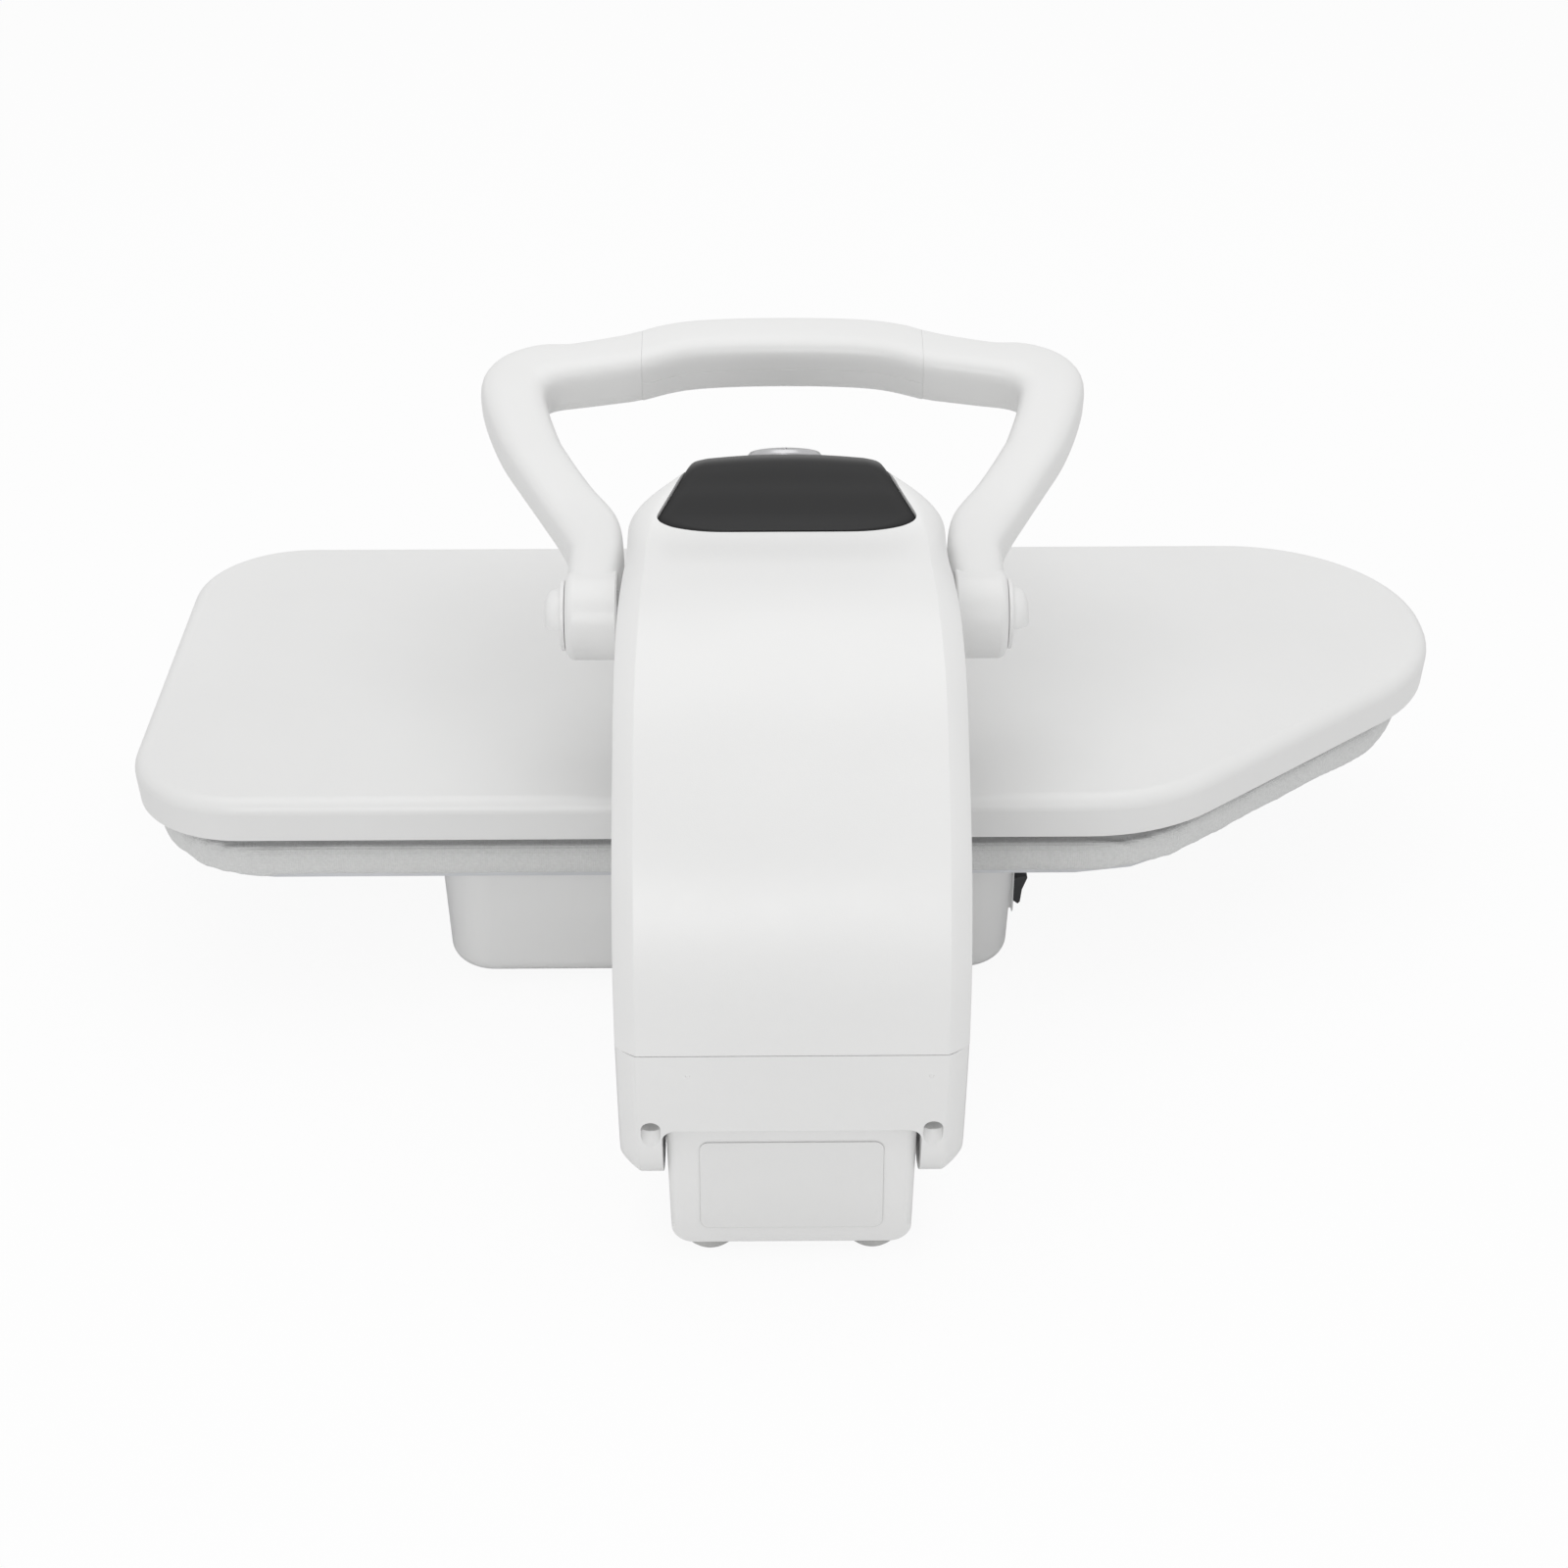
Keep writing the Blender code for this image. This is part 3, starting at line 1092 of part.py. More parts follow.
def build_base_inner():
    levels = (
        (-GLAND_DEPTH, GLAND_BORE_RADIUS),
        (-GLAND_DEPTH, GLAND_RADIUS),
        (GAP, GLAND_RADIUS),
        (GAP, GLAND_COLLAR_RADIUS),
        (GLAND_COLLAR, GLAND_COLLAR_RADIUS),
        (GLAND_PROUD, GLAND_RADIUS),
        (GLAND_PROUD, GLAND_BORE_RADIUS),
    )
    make("cord_gland", turned(levels, gland_frame(), closed=True), "base", "black_plastic")

    seat = BASE_BOTTOM_Z + FLOOR_THICKNESS
    length, width, height = PUMP_BODY
    low = (PUMP_X - length / 2, PUMP_Y - width / 2, seat)
    high = (PUMP_X + length / 2, PUMP_Y + width / 2, seat + height)
    axis = place_on("Y", (PUMP_X, PUMP_Y, seat + height / 2))
    nozzle = rod(axis, PUMP_NOZZLE_RADIUS, -width / 2 - PUMP_NOZZLE_LENGTH, -width / 4, SMALL_SIDES)
    coil = rod(axis, PUMP_COIL_RADIUS - height / 4, -PUMP_COIL_LENGTH / 2, PUMP_COIL_LENGTH / 2)
    make("water_pump", box(low, high), "base", "black_plastic", joined=[nozzle, coil])

    length, width, thickness = BOARD_BODY
    low = (POWER_BOARD_X - length / 2, POWER_BOARD_Y - width / 2, seat + STANDOFF_HEIGHT)
    high = (POWER_BOARD_X + length / 2, POWER_BOARD_Y + width / 2, seat + STANDOFF_HEIGHT + thickness)
    extras = []
    for along in (-1, 1):
        for across in (-1, 1):
            x = POWER_BOARD_X + along * (length / 2 - STANDOFF_RADIUS * 2)
            y = POWER_BOARD_Y + across * (width / 2 - STANDOFF_RADIUS * 2)
            post = place_on("Z", (x, y, seat))
            extras.append(rod(post, STANDOFF_RADIUS, 0, STANDOFF_HEIGHT + thickness / 2, 8))
    part = place_on("Z", (POWER_BOARD_X, POWER_BOARD_Y, high[2]))
    extras.append(rod(part, CAPACITOR_RADIUS, -thickness / 2, CAPACITOR_HEIGHT, 12))
    make("power_board", box(low, high), "base", "board_green", joined=extras)


def tank_outlet_frame():
    return place_on("Y", (TANK_FILL_X, -TANK_REAR_Y, (TANK_BOTTOM_Z + TANK_TOP_Z) / 2))


def build_tank():
    middle_y = -(BASE_FRONT_Y + TANK_REAR_Y) / 2
    half_y = (BASE_FRONT_Y - TANK_REAR_Y) / 2
    outline = round_rectangle(TANK_HALF_X, half_y, TANK_CORNER_RADIUS, 0, middle_y)
    levels = (
        (TANK_BOTTOM_Z + TANK_WALL, TANK_WALL * 2),
        (TANK_TOP_Z, TANK_WALL),
        (TANK_TOP_Z, 0),
        (TANK_BOTTOM_Z + TANK_WALL, 0),
        (TANK_BOTTOM_Z, TANK_WALL),
    )
    face_levels = (
        (-BASE_FRONT_Y - TANK_FACE_PROUD, TANK_FACE_PROUD),
        (-BASE_FRONT_Y, 0),
        (-BASE_FRONT_Y + TANK_FACE_THICKNESS, 0),
    )
    face = stack(face_levels, tank_face_outline(0), BACK)
    pull_height = TANK_FACE_TOP_Z - TANK_FACE_RADIUS / 2
    pull = place_on("Y", (0, -BASE_FRONT_Y - TANK_FACE_PROUD, pull_height))
    thumb = rod(pull, TANK_PULL_RADIUS, -OVERRUN, TANK_PULL_DEPTH)
    outlet = rod(tank_outlet_frame(), TANK_OUTLET_RADIUS, -TANK_WALL / 2, TANK_OUTLET_LENGTH, SMALL_SIDES)
    reach = TANK_OUTLET_LENGTH + OVERRUN
    bore = rod(tank_outlet_frame(), TANK_OUTLET_RADIUS / 2, -TANK_WALL * 3, reach, SMALL_SIDES)
    make(
        "water_tank",
        stack(levels[::-1], outline),
        "tank",
        "clear_grey",
        joined=[face, outlet],
        cut=[thumb, bore],
    )

    levels = (
        (TANK_TOP_Z + GAP, TANK_WALL / 2),
        (TANK_TOP_Z + GAP + TANK_LID_THICKNESS, TANK_WALL / 2),
    )
    inner_y = half_y - TANK_FACE_THICKNESS / 2 - GAP
    lid_y = middle_y + TANK_FACE_THICKNESS / 2 + GAP
    lid = round_rectangle(TANK_HALF_X, inner_y, TANK_CORNER_RADIUS, 0, lid_y)
    fill = place_on("Z", (-TANK_FILL_X, middle_y, TANK_TOP_Z))
    hole = rod(fill, TANK_FILL_RADIUS, -OVERRUN, TANK_LID_THICKNESS * 3)
    make("tank_lid", stack(levels, lid), "tank", "clear_grey", cut=[hole])

    # Two rails and a rear wall on the floor guide the tank and carry the valve seat
    gap = TANK_SIDE_GAP
    floor = BASE_BOTTOM_Z + FLOOR_THICKNESS
    outer = TANK_HALF_X + gap + TANK_GUIDE_THICKNESS
    back = -TANK_REAR_Y + TANK_OUTLET_LENGTH + gap
    front = -BASE_FRONT_Y + BASE_BOTTOM_RADIUS + BASE_DRAFT + WALL * 2
    bed_top = TANK_BOTTOM_Z - GAP
    rear = back + TANK_GUIDE_THICKNESS
    rail_top = TANK_BOTTOM_Z + TANK_CORNER_RADIUS
    rails = [
        box((-outer, front, floor), (TANK_GUIDE_THICKNESS - outer, rear, rail_top)),
        box((outer - TANK_GUIDE_THICKNESS, front, floor), (outer, rear, rail_top)),
    ]
    wall = box((-outer, back, floor), (outer, back + TANK_GUIDE_THICKNESS, TANK_TOP_Z - TANK_WALL * 2))
    seat_frame = tank_outlet_frame()
    hole = rod(seat_frame, VALVE_SPIGOT_RADIUS + GAP, TANK_OUTLET_LENGTH - OVERRUN, TANK_OUTLET_LENGTH * 3)
    make(
        "tank_guide",
        box((-outer, front, floor), (outer, back + TANK_GUIDE_THICKNESS, bed_top)),
        "base",
        "white_plastic",
        joined=[*rails, wall],
        cut=[hole],
    )

    start = back + TANK_REAR_Y + TANK_GUIDE_THICKNESS + GAP
    stem = TANK_OUTLET_LENGTH + gap + GAP
    levels = (
        (stem, TANK_OUTLET_RADIUS / 3),
        (stem, VALVE_SPIGOT_RADIUS),
        (start, VALVE_SPIGOT_RADIUS),
        (start, VALVE_RADIUS),
        (start + VALVE_LENGTH / 2, VALVE_RADIUS),
        (start + VALVE_LENGTH, VALVE_SPIGOT_RADIUS),
        (start + VALVE_LENGTH + VALVE_SPIGOT_LENGTH, VALVE_SPIGOT_RADIUS),
        (start + VALVE_LENGTH + VALVE_SPIGOT_LENGTH, TANK_OUTLET_RADIUS / 3),
    )
    make("tank_valve_seat", turned(levels, seat_frame, SMALL_SIDES, closed=True), "base", "pale_rubber")

    start_point = at(seat_frame, 0, 0, start + VALVE_LENGTH + VALVE_SPIGOT_LENGTH - HOSE_GRIP)
    end_y = PUMP_Y - PUMP_BODY[1] / 2 - PUMP_NOZZLE_LENGTH + HOSE_GRIP
    end_point = Vector((PUMP_X, end_y, floor + PUMP_BODY[2] / 2))
    straight = Vector((0, HOSE_STRAIGHT, 0))
    bend_start = start_point + straight
    bend_end = end_point - straight
    ahead = Vector((0, (bend_end.y - bend_start.y) / 2, 0))
    points = [start_point, start_point + straight / 2]
    for k in range(HOSE_STEPS + 1):
        t = k / HOSE_STEPS
        one = bend_start * (1 - t) ** 3 + (bend_start + ahead) * 3 * t * (1 - t) ** 2
        points.append(one + (bend_end - ahead) * 3 * t * t * (1 - t) + bend_end * t ** 3)
    points += [end_point - straight / 2, end_point]
    reach = HOSE_GRIP + GAP
    near = rod(place_on("Y", start_point), VALVE_SPIGOT_RADIUS + GAP, -OVERRUN, reach, SMALL_SIDES)
    far = rod(place_on("Y", end_point), PUMP_NOZZLE_RADIUS + GAP, -reach, OVERRUN, SMALL_SIDES)
    make("feed_hose", sweep(points, HOSE_RADIUS, HOSE_SIDES), "base", "pale_rubber", cut=[near, far])


def bevel_path(crown, side, bevel, lift):
    """Half of the arm's crown section as (half width, depth) points, from the side up to the crown."""
    points = []
    power = 2 / (ARM_BEVEL_POWER_SHARE * (1 - bevel / ARM_HALF_X))
    for k in range(ARM_BEVEL_STEPS + 1):
        angle = math.pi / 2 * k / ARM_BEVEL_STEPS
        across = crown + (side - crown) * math.cos(angle) ** power
        points.append((across, lift + bevel * (1 - math.sin(angle) ** power)))
    return points


def arm_ring(row, path):
    """Both halves of a (half width, depth) path at a row, from +X to -X."""
    outer, inner, *_ = arm_station(row)
    inward = (inner - outer).normalized()
    right = [outer + inward * depth + Vector((across, 0, 0)) for across, depth in path]
    left = [outer + inward * depth - Vector((across, 0, 0)) for across, depth in reversed(path)]
    return right + left


def arm_rows(first, last):
    steps = int((last - first) * ARM_STEPS_PER_ROW)
    return [first + (last - first) * k / steps for k in range(steps + 1)]


def outer_cover_ring(row):
    outer, inner, crown, side, bevel = arm_station(row)
    split = (inner - outer).length * ARM_SPLIT_SHARE
    skin = [(side, split), *bevel_path(crown, side, bevel, 0)]
    lining = [(side - ARM_WALL, split), *bevel_path(crown - ARM_WALL / 2, side - ARM_WALL, bevel, ARM_WALL)]
    return arm_ring(row, skin) + arm_ring(row, lining)[::-1]


def inner_cover_ring(row):
    outer, inner, crown, side, bevel = arm_station(row)
    depth = (inner - outer).length
    split = depth * ARM_SPLIT_SHARE + GAP
    corner = ARM_INNER_CORNER
    skin = [
        (side, split),
        (side, depth - corner),
        (side - corner / 3, depth - corner / 3),
        (side - corner, depth),
    ]
    lining = [
        (side - ARM_WALL, split),
        (side - ARM_WALL, depth - corner),
        (side - ARM_WALL - corner / 4, depth - ARM_WALL - corner / 4),
        (side - corner, depth - ARM_WALL),
    ]
    return arm_ring(row, skin) + arm_ring(row, lining)[::-1]


def panel_shape(grow, out, depth):
    """The control panel's slab, grown by a gap: its near and far ends are rounded."""
    turn = PANEL_ROUND_ROWS_SHARE
    rows = [(PANEL_REAR_ROW + share * turn, PANEL_REAR_RADIUS, share, 1) for share in PANEL_STEP_SHARES]
    row = PANEL_REAR_ROW + turn
    while row < PANEL_FRONT_ROW - turn:
        rows.append((row, 0, 1, 1))
        row += 1 / ARM_STEPS_PER_ROW
    rows.append((PANEL_FRONT_ROW - turn, 0, 1, 1))
    for share in PANEL_STEP_SHARES[::-1]:
        rows.append((PANEL_FRONT_ROW - share * turn, PANEL_FRONT_RADIUS, share, -1))
    rings = []
    for row, radius, share, end in rows:
        side = math.sqrt(1 - (1 - share) ** 2)
        half = curve_through(PANEL_HALF_SHARES, row - PANEL_REAR_ROW)[0] * ARM_HALF_X
        across = half - radius * (1 - side) + grow * (side if radius else 1)
        path = [(across, depth), (across, -out + PANEL_EDGE), (across - PANEL_EDGE, -out)]
        outward = arm_surface(row)[2] * end * grow * (1 - share)
        rings.append([point + outward for point in arm_ring(row, path)])
    return loft(rings)


def window_shape(grow, out, depth):
    rings = []
    for k in range(WINDOW_STEPS + 1):
        row = WINDOW_REAR_ROW + (WINDOW_FRONT_ROW - WINDOW_REAR_ROW) * k / WINDOW_STEPS
        end = (k == 0) - (k == WINDOW_STEPS)
        outward = arm_surface(row)[2] * end * grow
        path = [(WINDOW_HALF_X + grow, depth), (WINDOW_HALF_X + grow, -out)]
        rings.append([point + outward for point in arm_ring(row, path)])
    return loft(rings)


def build_arm_covers():
    rows = arm_rows(0, len(ARM_ROW_SHARES) - 1)
    shell = loft([outer_cover_ring(row) for row in rows], paired=True)
    window = panel_shape(GAP, OVERRUN, ARM_WALL * 3)
    make("arm_rear_cover", shell, "arm", "white_plastic", cut=[window])

    shell = loft([inner_cover_ring(row) for row in rows], paired=True)
    shaft = place_on("X", (0, HANDLE_Y, HANDLE_Z))
    hole = rod(shaft, HANDLE_SHAFT_RADIUS + GAP, -ARM_HALF_X - OVERRUN, ARM_HALF_X + OVERRUN)
    make("arm_inner_cover", shell, "arm", "white_plastic", cut=[hole])


def build_lower_cover():
    seam = ARM_SEAM_Z - GAP
    front_y = arm_station(0)[1].y
    profile = [(front_y, seam), (HINGE_Y - LOBE_RADIUS - WALL, LOBE_FRONT_Z)]
    profile += arc((HINGE_Y, HINGE_Z), LOBE_RADIUS, 172, 350, 12)
    profile += [(LOWER_TOE_Y, HINGE_Z), (LOWER_MID_Y, LOWER_MID_Z), (ARM_REAR_Y, seam)]
    solid = prism(profile, -ARM_HALF_X, ARM_HALF_X, SIDE)

    def outer_rim(a, b):
        same_side = abs(a.x - b.x) < GAP and abs(a.x) > ARM_HALF_X - GAP
        rear = min(a.y, b.y) > HINGE_Y - LOBE_RADIUS / 3
        return same_side and rear and not (a.z > seam - GAP and b.z > seam - GAP)

    soften(solid, LOWER_BEVEL, 2, outer_rim)

    wall = LOWER_WALL
    top = seam + OVERRUN
    low = BASE_BOTTOM_Z
    rear_wall = [(ARM_REAR_Y - wall, top), (ARM_REAR_Y - wall, seam), (LOWER_MID_Y - wall, LOWER_MID_Z)]
    lean = (HINGE_Y - LOBE_RADIUS - WALL - front_y) / (seam - LOBE_FRONT_Z)
    middle = [
        (front_y + wall, top),
        (front_y + wall, seam),
        (front_y + wall + lean * (seam - LOBE_ROOF_Z), LOBE_ROOF_Z),
        (front_y - wall, LOBE_ROOF_Z),
        (front_y - wall, low),
        (ARM_REAR_Y + wall, low),
        (ARM_REAR_Y + wall, NOTCH_Z),
        (LOWER_TOE_Y - wall + OVERRUN / 4, NOTCH_Z),
        *rear_wall[::-1],
    ]
    notch = prism(middle[::-1], -LOBE_INNER_X, LOBE_INNER_X, SIDE)

    def notch_corner(a, b):
        return max(abs(a.z - NOTCH_Z), abs(b.z - NOTCH_Z)) < GAP and a.x * b.x > 0

    soften(notch, NOTCH_RADIUS, 3, notch_corner)
    half = ARM_HALF_X - wall
    roof = [(front_y + wall, LOBE_ROOF_Z), (front_y + wall, top), *rear_wall[:2]]
    roof.append((ARM_REAR_Y - wall * 2, LOBE_ROOF_Z))
    room = prism(roof, -half, half, SIDE)
    hinge = place_on("X", (0, HINGE_Y, HINGE_Z))
    cuts = [notch, room]
    for side in (-1, 1):
        near, far = sorted((side * EAR_SLOT_INNER_X, side * (ARM_HALF_X - wall * 2)))
        slot = arc((HINGE_Y, HINGE_Z), EAR_SLOT_RADIUS, 180, 360, 10)
        slot.append((HINGE_Y + EAR_SLOT_RADIUS, LOBE_ROOF_Z + OVERRUN))
        slot.append((HINGE_Y - EAR_SLOT_RADIUS, LOBE_ROOF_Z + OVERRUN))
        cuts.append(prism(slot, near, far, SIDE))
        frame = place_on("Y", (side * SCREW_X, LOWER_TOE_Y - SCREW_HOLE_DEPTH, SCREW_Z))
        cuts.append(rod(frame, SCREW_HOLE_RADIUS, 0, SCREW_HOLE_DEPTH * 2, SMALL_SIDES))
        cuts.append(rod(frame, SCREW_SHANK_RADIUS + GAP, -SCREW_SHANK_LENGTH - GAP, OVERRUN, 8))
    cuts.append(rod(hinge, BUSH_RADIUS + GAP, -HINGE_SHAFT_HALF - GAP, HINGE_SHAFT_HALF + GAP))
    make("arm_lower_cover", solid, "arm", "white_plastic", cut=cuts)

    for name, side in (("cover_screw_left", -1), ("cover_screw_right", 1)):
        frame = place_on("Y", (side * SCREW_X, LOWER_TOE_Y - SCREW_HOLE_DEPTH + GAP, SCREW_Z))
        levels = (
            (-SCREW_SHANK_LENGTH, SCREW_SHANK_RADIUS / 3),
            (-SCREW_SHANK_LENGTH + SCREW_SHANK_RADIUS, SCREW_SHANK_RADIUS),
            (0, SCREW_SHANK_RADIUS),
            (0, SCREW_HEAD_RADIUS),
            (SCREW_HEAD_HEIGHT / 2, SCREW_HEAD_RADIUS),
            (SCREW_HEAD_HEIGHT, SCREW_HEAD_RADIUS / 2),
        )
        slots = []
        arm = SCREW_HEAD_RADIUS / 2
        half = SCREW_SLOT / 2
        for a, b in ((arm, half), (half, arm)):
            outline = ((-a, -b), (a, -b), (a, b), (-a, b))
            slots.append(prism(outline, SCREW_HEAD_HEIGHT / 2, SCREW_HEAD_HEIGHT + OVERRUN, frame))
        make(name, turned(levels, frame, SMALL_SIDES), "arm", "zinc_steel", cut=slots)

    for name, side in (("hinge_bush_left", -1), ("hinge_bush_right", 1)):
        start = side * (LOBE_INNER_X + GAP)
        end = side * (LOBE_INNER_X + GAP + BUSH_LENGTH)
        bore = HINGE_SHAFT_RADIUS + RUNNING_GAP / 2
        levels = ((start, bore), (start, BUSH_RADIUS), (end, BUSH_RADIUS), (end, bore))
        make(name, turned(levels, hinge, closed=True), "arm", "bronze")


def arm_frame_plate(side):
    """A C of flat steel inside one side of the arm, from the hinge ear to the handle shaft."""
    near, far = sorted((side * ARM_PLATE_X, side * (ARM_PLATE_X + ARM_PLATE_THICKNESS)))
    rings = []
    for row in arm_rows(0, ARM_PLATE_LAST_ROW):
        outer, inner, *_ = arm_station(row)
        edge = outer.lerp(inner, ARM_PLATE_OUTER_SHARE)
        heel = outer.lerp(inner, ARM_PLATE_INNER_SHARE)
        corners = ((near, edge), (far, edge), (far, heel), (near, heel))
        rings.append([Vector((x, *point.yz)) for x, point in corners])
    half = ARM_NECK_WIDTH / 2
    seam_outer, seam_inner, *_ = arm_station(0)
    neck = arc((HINGE_Y, HINGE_Z), ARM_EAR_RADIUS, 180, 360, 10)
    top = ARM_SEAM_Z + OVERRUN
    lean = seam_outer.lerp(seam_inner, ARM_PLATE_OUTER_SHARE).y
    heel = seam_outer.lerp(seam_inner, ARM_PLATE_INNER_SHARE).y
    neck += [(HINGE_Y + ARM_EAR_RADIUS, LOBE_ROOF_Z), (min(lean, HINGE_Y + ARM_EAR_RADIUS), top)]
    neck += [(heel + half / 2, top), (HINGE_Y - ARM_EAR_RADIUS, LOBE_ROOF_Z)]
    return loft(rings), prism(neck, near, far, SIDE)


def build_arm_frame():
    right, right_neck = arm_frame_plate(1)
    left, left_neck = arm_frame_plate(-1)
    reach = ARM_PLATE_X + ARM_PLATE_THICKNESS / 2
    rods = []
    middle = (ARM_PLATE_OUTER_SHARE + ARM_PLATE_INNER_SHARE) / 2
    for row in ARM_ROD_ROWS:
        outer, inner, *_ = arm_station(row)
        rods.append(rod(place_on("X", outer.lerp(inner, middle)), ARM_ROD_RADIUS, -reach, reach, SMALL_SIDES))
    shaft = place_on("X", (0, HANDLE_Y, HANDLE_Z))
    end_plates = []
    for side in (-1, 1):
        near, far = sorted((side * ARM_PLATE_X, side * (ARM_PLATE_X + ARM_PLATE_THICKNESS)))
        end_plates.append(rod(shaft, HANDLE_BOSS_RADIUS, near, far))
    bores = [
        rod(shaft, HANDLE_SHAFT_RADIUS + RUNNING_GAP / 2, -ARM_HALF_X, ARM_HALF_X),
        rod(place_on("X", (0, HINGE_Y, HINGE_Z)), BUSH_RADIUS + GAP, -ARM_HALF_X, ARM_HALF_X),
    ]
    make(
        "arm_frame",
        right,
        "arm",
        "zinc_steel",
        joined=[right_neck, left, left_neck, *rods, *end_plates],
        cut=bores,
    )


def build_shoe_mount():
    pin = (SHOE_PIN_Y, SHOE_PIN_Z)
    stem = [(MOUNT_REAR_Y, MOUNT_CROSS_Z), (MOUNT_REAR_Y, MOUNT_TOP_Z), (MOUNT_SLOPE_Y, MOUNT_TOP_Z)]
    stem += [(MOUNT_WAIST_Y, MOUNT_WAIST_Z)]
    stem += arc(pin, MOUNT_NOSE_RADIUS, 180, 350, 8)
    stem += [(SHOE_PIN_Y + BRACKET_HALF_Y, MOUNT_CROSS_Z - WALL)]
    solid = prism(stem, -MOUNT_HALF_X, MOUNT_HALF_X, SIDE)
    half = ARM_PLATE_X - GAP
    bar = box((-half, MOUNT_CROSS_Y, MOUNT_CROSS_Z), (half, MOUNT_REAR_Y, MOUNT_TOP_Z))
    shaft = place_on("X", (0, HANDLE_Y, HANDLE_Z))
    bores = [
        rod(shaft, HANDLE_SHAFT_RADIUS + RUNNING_GAP / 2, -ARM_HALF_X, ARM_HALF_X),
        rod(place_on("X", (0, *pin)), SHOE_PIN_RADIUS + RUNNING_GAP / 2, -ARM_HALF_X, ARM_HALF_X),
    ]
    make("shoe_mount", solid, "arm", "cast_aluminium", joined=[bar], cut=bores)

    end = BRACKET_HALF_X + GAP
    levels = (
        (-end - SHOE_PIN_HEAD, SHOE_PIN_HEAD_RADIUS),
        (-end, SHOE_PIN_HEAD_RADIUS),
        (-end, SHOE_PIN_RADIUS),
        (end + SHOE_PIN_HEAD, SHOE_PIN_RADIUS),
    )
    make("shoe_pin", turned(levels, place_on("X", (0, *pin))), "arm", "zinc_steel")

    levels = ((-HANDLE_SHAFT_HALF, HANDLE_SHAFT_RADIUS), (HANDLE_SHAFT_HALF, HANDLE_SHAFT_RADIUS))
    make("handle_shaft", turned(levels, shaft), "arm", "zinc_steel")


def handle_station(row):
    across, reach, width, thickness = curve_through(HANDLE_ROW_SHARES, row)
    return across * HANDLE_MAX_X, reach * HANDLE_REACH, width * HANDLE_SECTION, thickness * HANDLE_SECTION


def handle_axes(row):
    """Unit directions in the handle's plane: along the bow and across it."""
    last = len(HANDLE_ROW_SHARES) - 1
    near = handle_station(max(row - HANDLE_TURN_STEP_SHARE, 0))
    far = handle_station(min(row + HANDLE_TURN_STEP_SHARE, last))
    along = Vector((far[0] - near[0], far[1] - near[1])).normalized()
    if row >= last:
        along = Vector((-1, 0))
    return along, Vector((along.y, -along.x))


def root_rise(reach):
    """How far a leg's top stands above its even section, so that it runs into the round of its boss."""
    share = min(reach / HANDLE_ROOT_REACH, 1)
    return HANDLE_ROOT_RISE * (1 - share) ** 2 * (1 + 2 * share)


def rounded_section(width, thickness, start, end, steps):
    """Points of a rounded section between two angles in degrees."""
    power = 2 / HANDLE_SECTION_POWER_SHARE
    points = []
    for k in range(steps):
        angle = math.radians(start + (end - start) * k / steps)
        across = math.copysign(abs(math.cos(angle)) ** power, math.cos(angle)) * width / 2
        lift = math.copysign(abs(math.sin(angle)) ** power, math.sin(angle)) * thickness / 2
        points.append((across, lift))
    return points


def handle_ring(side, row, section):
    across, reach, *_ = handle_station(row)
    _, normal = handle_axes(row)
    return [handle_point(side, across + normal.x * u, reach + normal.y * u, v) for u, v in section]


def seam_row():
    """The row at which the bow crosses the seam between leg and grip."""
    low, high = 0.0, float(len(HANDLE_ROW_SHARES) - 1)
    for _ in range(40):
        middle = (low + high) / 2
        if handle_station(middle)[0] > HANDLE_SEAM_X or middle < len(HANDLE_ROW_SHARES) / 2:
            low = middle
        else:
            high = middle
    return low


def core_path(reach_past):
    """Points along the bow's middle from one leg, through the grip, to the other."""
    first = 0.0
    last = len(HANDLE_ROW_SHARES) - 1
    row = seam_row()
    while handle_station(row)[0] < HANDLE_CORE_HALF_X + reach_past and row > first:
        row -= SEARCH_STEP_SHARE
    first = row
    steps = GRIP_STATIONS
    half = []
    for k in range(steps + 1):
        across, reach, *_ = handle_station(first + (last - first) * k / steps)
        half.append((across, reach))
    left = [handle_point(-1, across, reach) for across, reach in half]
    right = [handle_point(1, across, reach) for across, reach in reversed(half[:-1])]
    return left + right


